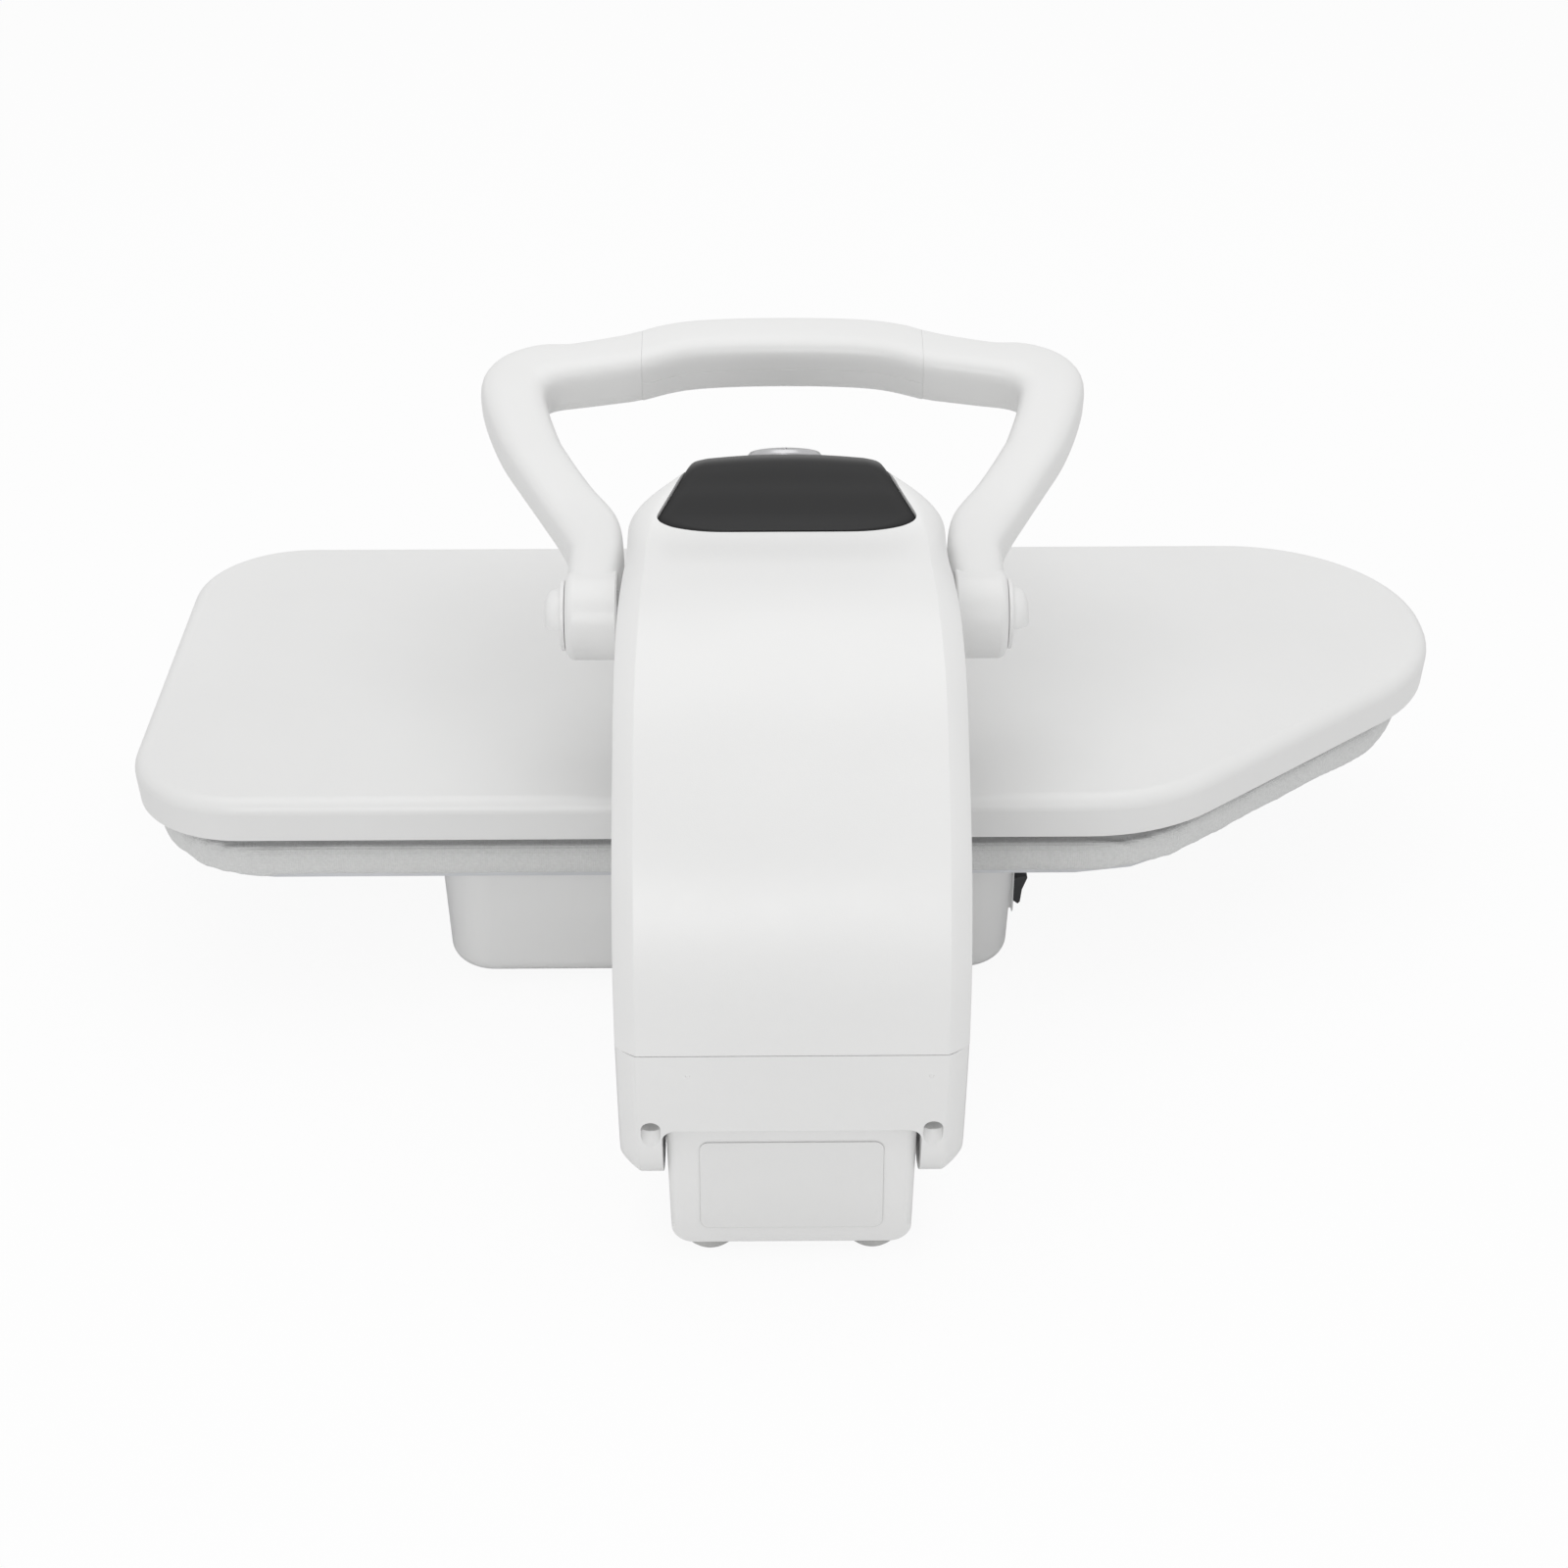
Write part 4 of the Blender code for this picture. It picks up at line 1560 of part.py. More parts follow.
def build_handle():
    seam = seam_row()
    whole = int(seam)
    rows = [k / HANDLE_STEPS_PER_ROW for k in range(whole * HANDLE_STEPS_PER_ROW)] + [seam]
    shaft = place_on("X", (0, HANDLE_Y, HANDLE_Z))
    for name, side in (("handle_leg_left", -1), ("handle_leg_right", 1)):
        rings = []
        for row in rows:
            _, reach, width, thickness = handle_station(row)
            rise = root_rise(reach)
            section = rounded_section(width, thickness + rise, 0, 360, HANDLE_SECTION_SIDES)
            ring = handle_ring(side, row, [(u, v + rise / 2) for u, v in section])
            if row == rows[-1]:
                ring = [Vector((side * (HANDLE_SEAM_X + GAP), point.y, point.z)) for point in ring]
            rings.append(ring)
        edge = HANDLE_BOSS_EDGE
        chamfer = edge / 5
        levels = [
            (side * HANDLE_BOSS_INNER_X, HANDLE_BOSS_RADIUS - chamfer),
            (side * (HANDLE_BOSS_INNER_X + chamfer), HANDLE_BOSS_RADIUS),
        ]
        for inset, drop in quarter(edge, 3):
            levels.append((side * (HANDLE_BOSS_OUTER_X - drop), HANDLE_BOSS_RADIUS - inset))
        boss = turned(levels, shaft)
        end = side * (HANDLE_SHAFT_HALF + GAP)
        start = side * (HANDLE_BOSS_INNER_X - OVERRUN)
        bore = rod(shaft, HANDLE_SHAFT_RADIUS + RUNNING_GAP, min(start, end), max(start, end))
        stem_start = side * (HANDLE_BOSS_OUTER_X - KNOB_STEM_LENGTH - GAP)
        stem_end = side * (HANDLE_BOSS_OUTER_X + OVERRUN)
        near, far = sorted((stem_start, stem_end))
        stem = rod(shaft, KNOB_STEM_RADIUS + RUNNING_GAP, near, far)
        core = sweep(core_path(HANDLE_CORE_RADIUS / 8), HANDLE_CORE_RADIUS + GAP, 10)
        make(name, loft(rings), "handle", "white_plastic", joined=[boss], cut=[bore, stem, core])

    last = len(HANDLE_ROW_SHARES) - 1
    grip_rows = [seam + (last - seam) * k / GRIP_STATIONS for k in range(GRIP_STATIONS + 1)]
    for name, start, end, lift in (("grip_upper", 0, 180, GAP / 2), ("grip_lower", 180, 360, -GAP / 2)):
        rings = []
        for side, order in ((-1, grip_rows), (1, grip_rows[-2::-1])):
            for row in order:
                _, _, width, thickness = handle_station(row)
                skin = rounded_section(width, thickness, start, end, 6) + [
                    rounded_section(width, thickness, end, end + 1, 1)[0]
                ]
                inner = rounded_section(width - 2 * GRIP_WALL, thickness - 2 * GRIP_WALL, start, end, 6) + [
                    rounded_section(width - 2 * GRIP_WALL, thickness - 2 * GRIP_WALL, end, end + 1, 1)[0]
                ]
                section = [(u, v + lift) for u, v in skin + inner[::-1]]
                ring = handle_ring(side, row, section)
                if row == grip_rows[0]:
                    ring = [Vector((side * HANDLE_SEAM_X, point.y, point.z)) for point in ring]
                rings.append(ring)
        make(name, loft(rings, paired=True), "handle", "white_plastic")
    make("handle_core", sweep(core_path(0), HANDLE_CORE_RADIUS, 10), "handle", "zinc_steel")


def build_lock_knobs():
    for name, body, side in (("lock_knob_left", "lock_left", -1), ("lock_knob_right", "lock_right", 1)):
        frame = place_on("X", (side * HANDLE_BOSS_OUTER_X, HANDLE_Y, HANDLE_Z))
        if side < 0:
            frame = flip(frame)
        top = GAP + KNOB_THICKNESS
        levels = (
            (-KNOB_STEM_LENGTH, KNOB_STEM_RADIUS),
            (GAP, KNOB_STEM_RADIUS),
            (GAP, KNOB_RADIUS),
            (top - KNOB_EDGE, KNOB_RADIUS),
            (top, KNOB_RADIUS - KNOB_EDGE),
        )
        rings = []
        for rise, spread in KNOB_DOME_SHARES:
            outline = arc((0, KNOB_LUG_FLAT), KNOB_LUG_RADIUS * spread, 0, 180, 9)
            height = top - KNOB_THICKNESS / 2 + (KNOB_LUG_HEIGHT + KNOB_THICKNESS / 2) * rise
            rings.append([at(frame, u, v, height) for u, v in outline])
        make(name, turned(levels, frame), body, "white_plastic", joined=[loft(rings)])


def build_panel():
    dial = arm_surface(DIAL_ROW)
    holes = [rod(dial, DIAL_STEM_RADIUS + GAP, -PANEL_THICKNESS * 3, OVERRUN, SMALL_SIDES)]
    for side in (-1, 1):
        frame = list(arm_surface(BUTTON_ROW))
        frame[0] = at(frame, side * BUTTON_X, 0, 0)
        holes.append(rod(frame, BUTTON_RADIUS + GAP, -PANEL_THICKNESS * 3, OVERRUN))
    holes.append(window_shape(GAP, OVERRUN, PANEL_THICKNESS * 2))
    make("control_panel", panel_shape(0, PANEL_PROUD, PANEL_THICKNESS), "arm", "black_gloss", cut=holes)
    make("display_window", window_shape(0, PANEL_PROUD, WINDOW_THICKNESS), "arm", "black_gloss")

    base = PANEL_PROUD + DIAL_LIFT
    top = base + DIAL_HEIGHT
    levels = (
        (-PANEL_THICKNESS - GAP * 4, DIAL_STEM_RADIUS),
        (base, DIAL_STEM_RADIUS),
        (base, DIAL_RADIUS),
        (top - DIAL_EDGE, DIAL_RADIUS),
        (top, DIAL_RADIUS - DIAL_EDGE),
        (top, DIAL_DISH_RADIUS),
        (top - DIAL_DISH_DEPTH, DIAL_DISH_RADIUS - DIAL_DISH_DEPTH),
    )
    reach = DIAL_DISH_RADIUS - DIAL_DISH_DEPTH * 2
    line = DIAL_POINTER_HALF
    start = reach - DIAL_POINTER_LENGTH
    mark = ((-line, start), (line, start), (line, reach), (-line, reach))
    slot = prism(mark, top - DIAL_DISH_DEPTH - DIAL_POINTER_DEPTH, top + OVERRUN, dial)
    make("dial", turned(levels, dial, 32), "dial", "silver", cut=[slot])

    for name, side in (("power_button", 1), ("steam_button", -1)):
        frame = list(arm_surface(BUTTON_ROW))
        frame[0] = at(frame, side * BUTTON_X, 0, 0)
        top = PANEL_PROUD + BUTTON_PROUD
        levels = (
            (-BUTTON_DEPTH, BUTTON_RADIUS),
            (top - BUTTON_EDGE, BUTTON_RADIUS),
            (top, BUTTON_RADIUS - BUTTON_EDGE),
        )
        make(name, turned(levels, frame), name, "silver")


def board_frame():
    """A frame under the panel: u to +X, v along the slope, w out, with half of its length."""
    rear = arm_station(BOARD_REAR_ROW)[0]
    front = arm_station(BOARD_FRONT_ROW)[0]
    along = (front - rear).normalized()
    out = Vector((0, along.z, -along.y))
    origin = (rear + front) / 2 - out * BOARD_DROP
    return (origin, Vector((1, 0, 0)), along, out), (front - rear).length / 2


def build_control_board():
    frame, half = board_frame()
    side = BOARD_HALF_X
    outline = ((-side, -half), (side, -half), (side, half), (-side, half))
    make("control_board", prism(outline, 0, BOARD_THICKNESS, frame), "arm", "board_green")

    wide, long = side + CARRIER_MARGIN, half + CARRIER_MARGIN
    outline = ((-wide, -long), (wide, -long), (wide, long), (-wide, long))
    posts = []
    underside = BOARD_DROP - PANEL_THICKNESS - GAP * 2
    for u in (-1, 1):
        for v in (-1, 1):
            corner = (frame[0] + frame[1] * u * (wide - CARRIER_POST_RADIUS)
                      + frame[2] * v * (long - CARRIER_POST_RADIUS), *frame[1:])
            foot = -GAP - CARRIER_THICKNESS / 2
            posts.append(rod(corner, CARRIER_POST_RADIUS, foot, underside - BOARD_THICKNESS, 10))
    low = -GAP - CARRIER_THICKNESS
    make("board_carrier", prism(outline, low, -GAP, frame), "arm", "black_plastic", joined=posts)


build_shoe_cover()
build_heating_plate()
build_shoe_inner()
build_shoe_bracket()
build_board()
build_base_housing()
build_floors_and_feet()
build_post()
build_hinge()
build_switch()
build_base_inner()
build_tank()
build_arm_covers()
build_lower_cover()
build_arm_frame()
build_shoe_mount()
build_handle()
build_lock_knobs()
build_panel()
build_control_board()
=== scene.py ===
"""Finished looks of a steam ironing press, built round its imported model, in metres."""

import math

import bmesh
import bpy
import numpy as np
from mathutils import Matrix, Vector


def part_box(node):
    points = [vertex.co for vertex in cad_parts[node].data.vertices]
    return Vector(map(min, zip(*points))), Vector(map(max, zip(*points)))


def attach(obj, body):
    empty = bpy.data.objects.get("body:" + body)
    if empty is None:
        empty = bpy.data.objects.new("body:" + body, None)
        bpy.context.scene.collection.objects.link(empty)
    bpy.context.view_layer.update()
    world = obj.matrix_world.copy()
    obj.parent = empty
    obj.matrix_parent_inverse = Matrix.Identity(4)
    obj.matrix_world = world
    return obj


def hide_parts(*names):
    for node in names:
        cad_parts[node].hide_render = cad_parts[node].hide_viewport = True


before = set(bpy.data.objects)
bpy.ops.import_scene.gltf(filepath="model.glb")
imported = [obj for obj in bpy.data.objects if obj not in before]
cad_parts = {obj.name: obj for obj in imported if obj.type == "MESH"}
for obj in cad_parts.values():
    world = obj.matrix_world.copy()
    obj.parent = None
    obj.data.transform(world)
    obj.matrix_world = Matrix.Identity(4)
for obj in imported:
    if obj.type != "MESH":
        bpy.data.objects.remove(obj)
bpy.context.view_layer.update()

# Sizes of the press in its own design frame, as its source has them, with finer rounding
GAP = 0.0003
RUNNING_GAP = 0.0001
OVERRUN = 0.002
WALL = 0.0028
ARC_STEP = 4.5
ROUND_SIDES = 72
SMALL_SIDES = 36
SLOPE_STEP_SHARE = 0.01
SQUARE_END_X = 0.323
NOSE_X = 0.3455
FRONT_Y = 0.1452
REAR_Y = 0.1440
SHOULDER_X = 0.1823
NOSE_SHOULDER_Y = 0.0012
SQUARE_RADIUS = 0.058
SHOULDER_RADIUS = 0.095
NOSE_REAR_RADIUS = 0.100
NOSE_FRONT_RADIUS = 0.095
ARM_REAR_Y = 0.351
ARM_HALF_X = 0.0745
LOBE_WIDTH = 0.0187
POST_SIDE_GAP = 0.0013
SHOE_TOP_Z = 0.122
SKIRT_Z = 0.100
SHOE_EDGE_RADIUS = 0.0075
SHOE_EDGE_STEPS = 14
SHOE_LINING_STEPS = 6
SKIRT_DRAFT = 0.0012
PLATE_THICKNESS = 0.006
PLATE_PROUD = 0.0015
LID_THICKNESS = 0.003
SHOE_WINDOW_X = 0.0375
SHOE_WINDOW_Y = 0.034
SHOE_PIN_Y = 0.025
PAD_TOP_Z = 0.0979
PAD_BOTTOM_Z = 0.0720
PAD_EDGE_DROP = 0.0085
PAD_INSET = 0.0045
PAD_PINCH = 0.0012
PAD_ROLL = 0.0085
PAD_UNDER_LIP = 0.0125
PAD_CORNER_RADIUS = 0.071
PAD_SHOULDER_X = 0.1781
PAD_NOSE_X = 0.3395
PAD_NOSE_SHOULDER_Y = 0.0030
TRAY_INSET = 0.0150
TRAY_THICKNESS = 0.003
BASE_TOP_Z = 0.0708
BASE_BOTTOM_Z = 0.0065
BASE_RIGHT_X = 0.1732
BASE_LEFT_X = 0.1153
BASE_FRONT_Y = 0.118
BASE_REAR_Y = 0.1237
BASE_CORNER_RADIUS = 0.026
BASE_BOTTOM_RADIUS = 0.009
BASE_EDGE_STEPS = 12
BASE_DRAFT = 0.0025
FLOOR_THICKNESS = 0.002
FOOT_RADIUS = 0.011
FOOT_FRONT_X = 0.080
FOOT_FRONT_Y = 0.080
FOOT_REAR_INSET = 0.0185
FOOT_REAR_SET_BACK = 0.013
FOOT_FLARE = 0.002
POST_HALF_X = ARM_HALF_X - LOBE_WIDTH - POST_SIDE_GAP
HINGE_SET_BACK = 0.048
HINGE_Y = ARM_REAR_Y - HINGE_SET_BACK
POST_SHOULDER_Z = 0.062
POST_BARREL_RADIUS = 0.030
POST_REAR_Y = HINGE_Y + POST_BARREL_RADIUS
POST_BARREL_STEPS = 48
POST_BOTTOM_RADIUS = 0.010
POST_BOTTOM_STEPS = 10
POST_LINING_STEPS = 3
POST_EDGE_RADIUS = 0.0042
POST_EDGE_STEPS = 8
POST_DRAFT = 0.03
HINGE_Z = 0.070
HINGE_SHAFT_RADIUS = 0.005
HINGE_SHAFT_INSET = 0.0040
HINGE_SHAFT_HALF = ARM_HALF_X - HINGE_SHAFT_INSET
PLATE_LABEL_MARGIN = 0.0145
PLATE_LABEL_HEIGHT = 0.0465
PLATE_LABEL_Z = 0.0381
PLATE_LABEL_THICKNESS = 0.0003
PLATE_LABEL_RADIUS = 0.004
FRAME_SIDE_ROOM = 0.0085
FRAME_HALF_X = POST_HALF_X - FRAME_SIDE_ROOM
FRAME_PASS_HEIGHT = 0.020
FRAME_PLAY = 5 * RUNNING_GAP
SWITCH_Y = 0.088
SWITCH_Z = 0.0410
SWITCH_WIDTH = 0.0130
SWITCH_HEIGHT = 0.0250
SWITCH_RIM = 0.0018
SWITCH_PROUD = 0.0010
SWITCH_DEPTH = 0.012
ROCKER_RADIUS = 0.0140
ROCKER_PIVOT_DEPTH = 0.0052
ROCKER_TILT = 13.0
ROCKER_FACE_ANGLE = 32.0
ROCKER_END_ANGLE = 38.5
ROCKER_HUB_ANGLES = (80, 130, 180, 230, 280)
ROCKER_HUB_RADIUS = 0.0038
ROCKER_WALL_GAP = 0.0006
GLAND_Y = 0.020
GLAND_Z = 0.034
GLAND_RADIUS = 0.0085
GLAND_COLLAR_RADIUS = 0.0115
GLAND_PROUD = 0.006
GLAND_COLLAR = 0.0025
GLAND_BORE_RADIUS = 0.0038
GLAND_DEPTH = 0.014
TANK_HALF_X = 0.080
TANK_REAR_Y = 0.040
TANK_BOTTOM_Z = 0.0150
TANK_TOP_Z = 0.0600
TANK_WALL = 0.0022
TANK_CORNER_RADIUS = 0.008
TANK_FACE_HALF_X = 0.0870
TANK_FACE_BOTTOM_Z = 0.0120
TANK_FACE_TOP_Z = 0.0665
TANK_FACE_THICKNESS = 0.0035
TANK_FACE_RADIUS = 0.006
TANK_FACE_PROUD = 0.0012
TANK_SIDE_GAP = 0.0008
TANK_LID_THICKNESS = 0.0022
TANK_FILL_RADIUS = 0.010
TANK_FILL_X = 0.045
TANK_PULL_RADIUS = 0.017
TANK_PULL_DEPTH = 0.0022
TANK_OUTLET_RADIUS = 0.0045
TANK_OUTLET_LENGTH = 0.005
ARM_FRONT_Y = 0.046
ARM_SEAM_Z = 0.1196
ARM_CREST_Z = 0.2825
ARM_WALL = 0.0028
ARM_SPLIT_SHARE = 0.45
ARM_INNER_CORNER = 0.007
ARM_STEPS_PER_ROW = 8
ARM_BEVEL_STEPS = 12
ARM_BEVEL_POWER_SHARE = 2.1
ARM_FACET_POWER = 1.75
ARM_FACET_BEVELS = (0.14, 0.20)
CROWN_ARCH = 0.0026
CROWN_ARCH_ROWS = (7.2, 10.0)
CROWN_STEPS = 5
ARM_ROW_SHARES = (
    (1.000, 0.000, 0.733, 0.000, 0.875, 1.000, 0.101),
    (0.992, 0.230, 0.725, 0.113, 0.875, 1.000, 0.101),
    (0.952, 0.451, 0.698, 0.217, 0.875, 1.000, 0.101),
    (0.880, 0.650, 0.652, 0.288, 0.875, 1.000, 0.101),
    (0.796, 0.822, 0.599, 0.323, 0.872, 1.000, 0.105),
    (0.695, 0.904, 0.544, 0.334, 0.859, 0.997, 0.114),
    (0.594, 0.909, 0.499, 0.334, 0.848, 0.991, 0.134),
    (0.491, 0.899, 0.466, 0.333, 0.835, 0.984, 0.181),
    (0.431, 0.961, 0.443, 0.328, 0.721, 0.977, 0.250),
    (0.375, 1.000, 0.423, 0.316, 0.540, 0.960, 0.510),
    (0.280, 0.891, 0.398, 0.291, 0.525, 0.940, 0.450),
    (0.179, 0.754, 0.378, 0.254, 0.530, 0.909, 0.376),
    (0.091, 0.595, 0.365, 0.211, 0.540, 0.875, 0.309),
    (0.030, 0.395, 0.358, 0.168, 0.550, 0.843, 0.242),
    (0.005, 0.223, 0.355, 0.119, 0.550, 0.819, 0.174),
    (0.000, 0.055, 0.354, 0.055, 0.550, 0.805, 0.161),
)
LOBE_RADIUS = 0.0373
LOBE_ARC = (172, 350)
LOBE_STEPS = 60
LOBE_INNER_X = POST_HALF_X + POST_SIDE_GAP
LOWER_MID_SET_BACK = 0.004
LOWER_MID_Y = ARM_REAR_Y - LOWER_MID_SET_BACK
LOWER_MID_Z = 0.0955
LOWER_TOE_SET_BACK = 0.0095
LOWER_TOE_Y = ARM_REAR_Y - LOWER_TOE_SET_BACK
NOTCH_Z = 0.0742
NOTCH_RADIUS = 0.0062
NOTCH_STEPS = 8
LOBE_ROOF_Z = 0.104
LOWER_BEVEL = 0.0088
LOWER_BEVEL_STEPS = 8
LOWER_BEVEL_FULLNESS = 0.31
LOWER_WALL = 0.003
LOBE_FRONT_Z = 0.098
SCREW_INSET = 0.0140
SCREW_X = ARM_HALF_X - SCREW_INSET
SCREW_Z = 0.0735
SCREW_HOLE_RADIUS = 0.0042
SCREW_HOLE_Z = 0.0754
SCREW_HOLE_DEPTH = 0.014
GROOVE_TILT = 71.0
GROOVE_INSET = 0.0008
GROOVE_LENGTH = 0.022
GROOVE_STEPS = 8
MOULD_MARKS = ((0.044, 0.1080), (-0.0585, 0.1075))
MOULD_MARK_RADIUS = 0.0009
SCREW_HEAD_RADIUS = 0.0034
SCREW_HEAD_HEIGHT = 0.0024
SCREW_SHANK_RADIUS = 0.0016
SCREW_SHANK_LENGTH = 0.009
SCREW_SLOT = 0.0009
EAR_SLOT_INSET = 0.0145
EAR_SLOT_INNER_X = ARM_HALF_X - EAR_SLOT_INSET
EAR_SLOT_RADIUS = 0.0170
EAR_SLOT_STEPS = 30
BUSH_RADIUS = 0.0085
HANDLE_DEPTH_SHARE = 0.425693
HANDLE_Y = (ARM_REAR_Y + ARM_FRONT_Y) * HANDLE_DEPTH_SHARE - ARM_FRONT_Y
HANDLE_HEIGHT_SHARE = 0.56108
HANDLE_Z = ARM_SEAM_Z + (ARM_CREST_Z - ARM_SEAM_Z) * HANDLE_HEIGHT_SHARE
HANDLE_TILT = 14.5
HANDLE_REACH = 0.209
HANDLE_SIDE_GAP = 0.0045
HANDLE_BOSS_LENGTH = 0.0245
HANDLE_BOSS_INNER_X = ARM_HALF_X + HANDLE_SIDE_GAP
HANDLE_BOSS_OUTER_X = HANDLE_BOSS_INNER_X + HANDLE_BOSS_LENGTH
HANDLE_BOSS_RADIUS = 0.021
HANDLE_BOSS_EDGE = 0.0043
HANDLE_BOSS_STEPS = 12
HANDLE_BOSS_CHAMFER = HANDLE_BOSS_EDGE / 5
HANDLE_SEAM_GAP = 0.00004
HANDLE_SEAM_INSET = 0.0020
HANDLE_SEAM_X = ARM_HALF_X - HANDLE_SEAM_INSET
HANDLE_SEAM_HALVINGS = 40
HANDLE_SPREAD_SHARE = 1.343
HANDLE_MAX_X = HANDLE_BOSS_OUTER_X * HANDLE_SPREAD_SHARE
HANDLE_SECTION_SHARE = 0.3285
HANDLE_SECTION = HANDLE_BOSS_OUTER_X * HANDLE_SECTION_SHARE
HANDLE_SECTION_POWER_SHARE = 3.4
HANDLE_TURN_STEP_SHARE = 0.6
HANDLE_CORNER_ROWS = (5.6, 12.6)
HANDLE_CORNER_PASSES = 60
HANDLE_SQUARE_REACH = 0.016
HANDLE_EDGE_ROUND = 0.0001
GRIP_LEDGE = 0.0002
HANDLE_ROOT_SHARE = 0.353
HANDLE_ROOT_RISE = HANDLE_BOSS_RADIUS - HANDLE_SECTION * HANDLE_ROOT_SHARE
HANDLE_ROOT_REACH_SHARE = 0.38
HANDLE_ROOT_REACH = HANDLE_REACH * HANDLE_ROOT_REACH_SHARE
HANDLE_STEPS_PER_ROW = 5
HANDLE_SECTION_SIDES = 48
GRIP_WALL = 0.0026
GRIP_STATIONS = 30
GRIP_SIDES = 22
HANDLE_SHAFT_RADIUS = 0.006
HANDLE_SHAFT_COVER = 0.0085
HANDLE_SHAFT_HALF = HANDLE_BOSS_OUTER_X - HANDLE_SHAFT_COVER
HANDLE_ROW_SHARES = (
    (0.650, 0.000, 0.762, 0.693),
    (0.650, 0.110, 0.767, 0.683),
    (0.652, 0.185, 0.782, 0.683),
    (0.688, 0.285, 0.895, 0.676),
    (0.769, 0.390, 0.843, 0.681),
    (0.847, 0.495, 0.839, 0.700),
    (0.920, 0.603, 0.865, 0.740),
    (0.972, 0.715, 0.899, 0.791),
    (1.000, 0.812, 0.919, 0.826),
    (0.953, 0.860, 1.090, 0.818),
    (0.888, 0.898, 0.902, 0.837),
    (0.786, 0.898, 0.902, 0.846),
    (0.660, 0.917, 0.907, 0.856),
    (0.544, 0.940, 0.916, 0.865),
    (0.435, 0.971, 0.925, 0.874),
    (0.324, 0.989, 0.930, 0.884),
    (0.160, 0.998, 0.930, 0.884),
    (0.000, 1.000, 0.930, 0.884),
)
KNOB_RADIUS = 0.0165
KNOB_THICKNESS = 0.0022
KNOB_EDGE = 0.0006
KNOB_STEM_RADIUS = 0.0042
KNOB_STEM_LENGTH = 0.005
KNOB_LUG_RADIUS = 0.0143
KNOB_LUG_FLAT = -0.0012
KNOB_LUG_HEIGHT = 0.0078
KNOB_LUG_STEPS = 40
KNOB_DOME_STEPS = 14
KNOB_DOME_POWER = 0.45
PANEL_REAR_ROW = 7.0
PANEL_FRONT_ROW = 12.75
PANEL_THICKNESS = 0.0078
PANEL_HALF_SHARES = tuple((share,) for share in (0.835, 0.704, 0.595, 0.570, 0.545, 0.530, 0.530))
PANEL_PROUD = 0.0005
PANEL_ROLL = 0.0085
PANEL_ROLL_SHARE = 0.30
PANEL_ROLL_STEPS = 10
PANEL_REAR_RADIUS = 0.034
PANEL_FRONT_RADIUS = 0.014
PANEL_END_STEPS = 14
PANEL_ROUND_ROWS_SHARE = 0.42
DIAL_ROW = 10.30
DIAL_RADIUS = 0.0182
DIAL_HEIGHT = 0.0027
DIAL_EDGE = 0.0010
DIAL_DOME = 0.0026
DIAL_DOME_STEPS = 12
DIAL_LIFT = 0.0008
DIAL_STEM_RADIUS = 0.003
DIAL_POINTER_HALF = 0.0008
DIAL_POINTER_LENGTH = 0.004
DIAL_POINTER_DEPTH = 0.0005
BUTTON_ROW = 11.25
BUTTON_X = 0.0200
BUTTON_RADIUS = 0.0065
BUTTON_PROUD = 0.0014
BUTTON_DEPTH = 0.0034
BUTTON_EDGE = 0.0005
WINDOW_REAR_ROW = 11.70
WINDOW_FRONT_ROW = 12.25
WINDOW_HALF_X = 0.0220
WINDOW_THICKNESS = 0.0022
WINDOW_STEPS = 12


def place_on(axis, origin):
    """A frame (origin, u, v, w) whose w runs along a main axis."""
    units = {
        "X": (Vector((0, 1, 0)), Vector((0, 0, 1)), Vector((1, 0, 0))),
        "Y": (Vector((1, 0, 0)), Vector((0, 0, 1)), Vector((0, 1, 0))),
        "Z": (Vector((1, 0, 0)), Vector((0, 1, 0)), Vector((0, 0, 1))),
    }[axis]
    return (Vector(origin), *units)


def flip(frame):
    """The same frame with u and w turned the other way."""
    origin, u, v, w = frame
    return (origin, -u, v, -w)


def at(frame, u, v, w):
    origin, along_u, along_v, along_w = frame
    return origin + along_u * u + along_v * v + along_w * w


GROUND = place_on("Z", (0, 0, 0))
SIDE = place_on("X", (0, 0, 0))
BACK = place_on("Y", (0, 0, 0))


def loft(rings, closed=False, paired=False):
    """A solid skinned over rings of equal length. Paired rings hold an outer path and its inner path back."""
    mesh = bmesh.new()
    loops = [[mesh.verts.new(point) for point in ring] for ring in rings]
    count = len(loops[0])
    steps = list(zip(loops, loops[1:]))
    if closed:
        steps.append((loops[-1], loops[0]))
    for near, far in steps:
        for i in range(count):
            j = (i + 1) % count
            mesh.faces.new((near[i], near[j], far[j], far[i]))
    if not closed:
        for loop in (loops[0], loops[-1]):
            if paired:
                for i in range(count // 2 - 1):
                    mesh.faces.new((loop[i], loop[i + 1], loop[count - 2 - i], loop[count - 1 - i]))
            else:
                mesh.faces.new(loop)
    bmesh.ops.recalc_face_normals(mesh, faces=mesh.faces)
    return mesh


def rounded(corners):
    """Points and outward normals round a convex outline, counterclockwise, of (u, v, radius) corners."""
    outline = []
    for i, (u, v, radius) in enumerate(corners):
        corner = Vector((u, v))
        back = (Vector(corners[i - 1][:2]) - corner).normalized()
        ahead = (Vector(corners[(i + 1) % len(corners)][:2]) - corner).normalized()
        half = back.angle(ahead) / 2
        centre = corner + (back + ahead).normalized() * (radius / math.sin(half))
        start = math.atan2(back.x, -back.y)
        sweep = math.pi - 2 * half
        steps = max(1, round(math.degrees(sweep) / ARC_STEP))
        for k in range(steps + 1):
            angle = start + sweep * k / steps
            normal = Vector((math.cos(angle), math.sin(angle)))
            outline.append((centre + normal * radius, normal))
    return outline


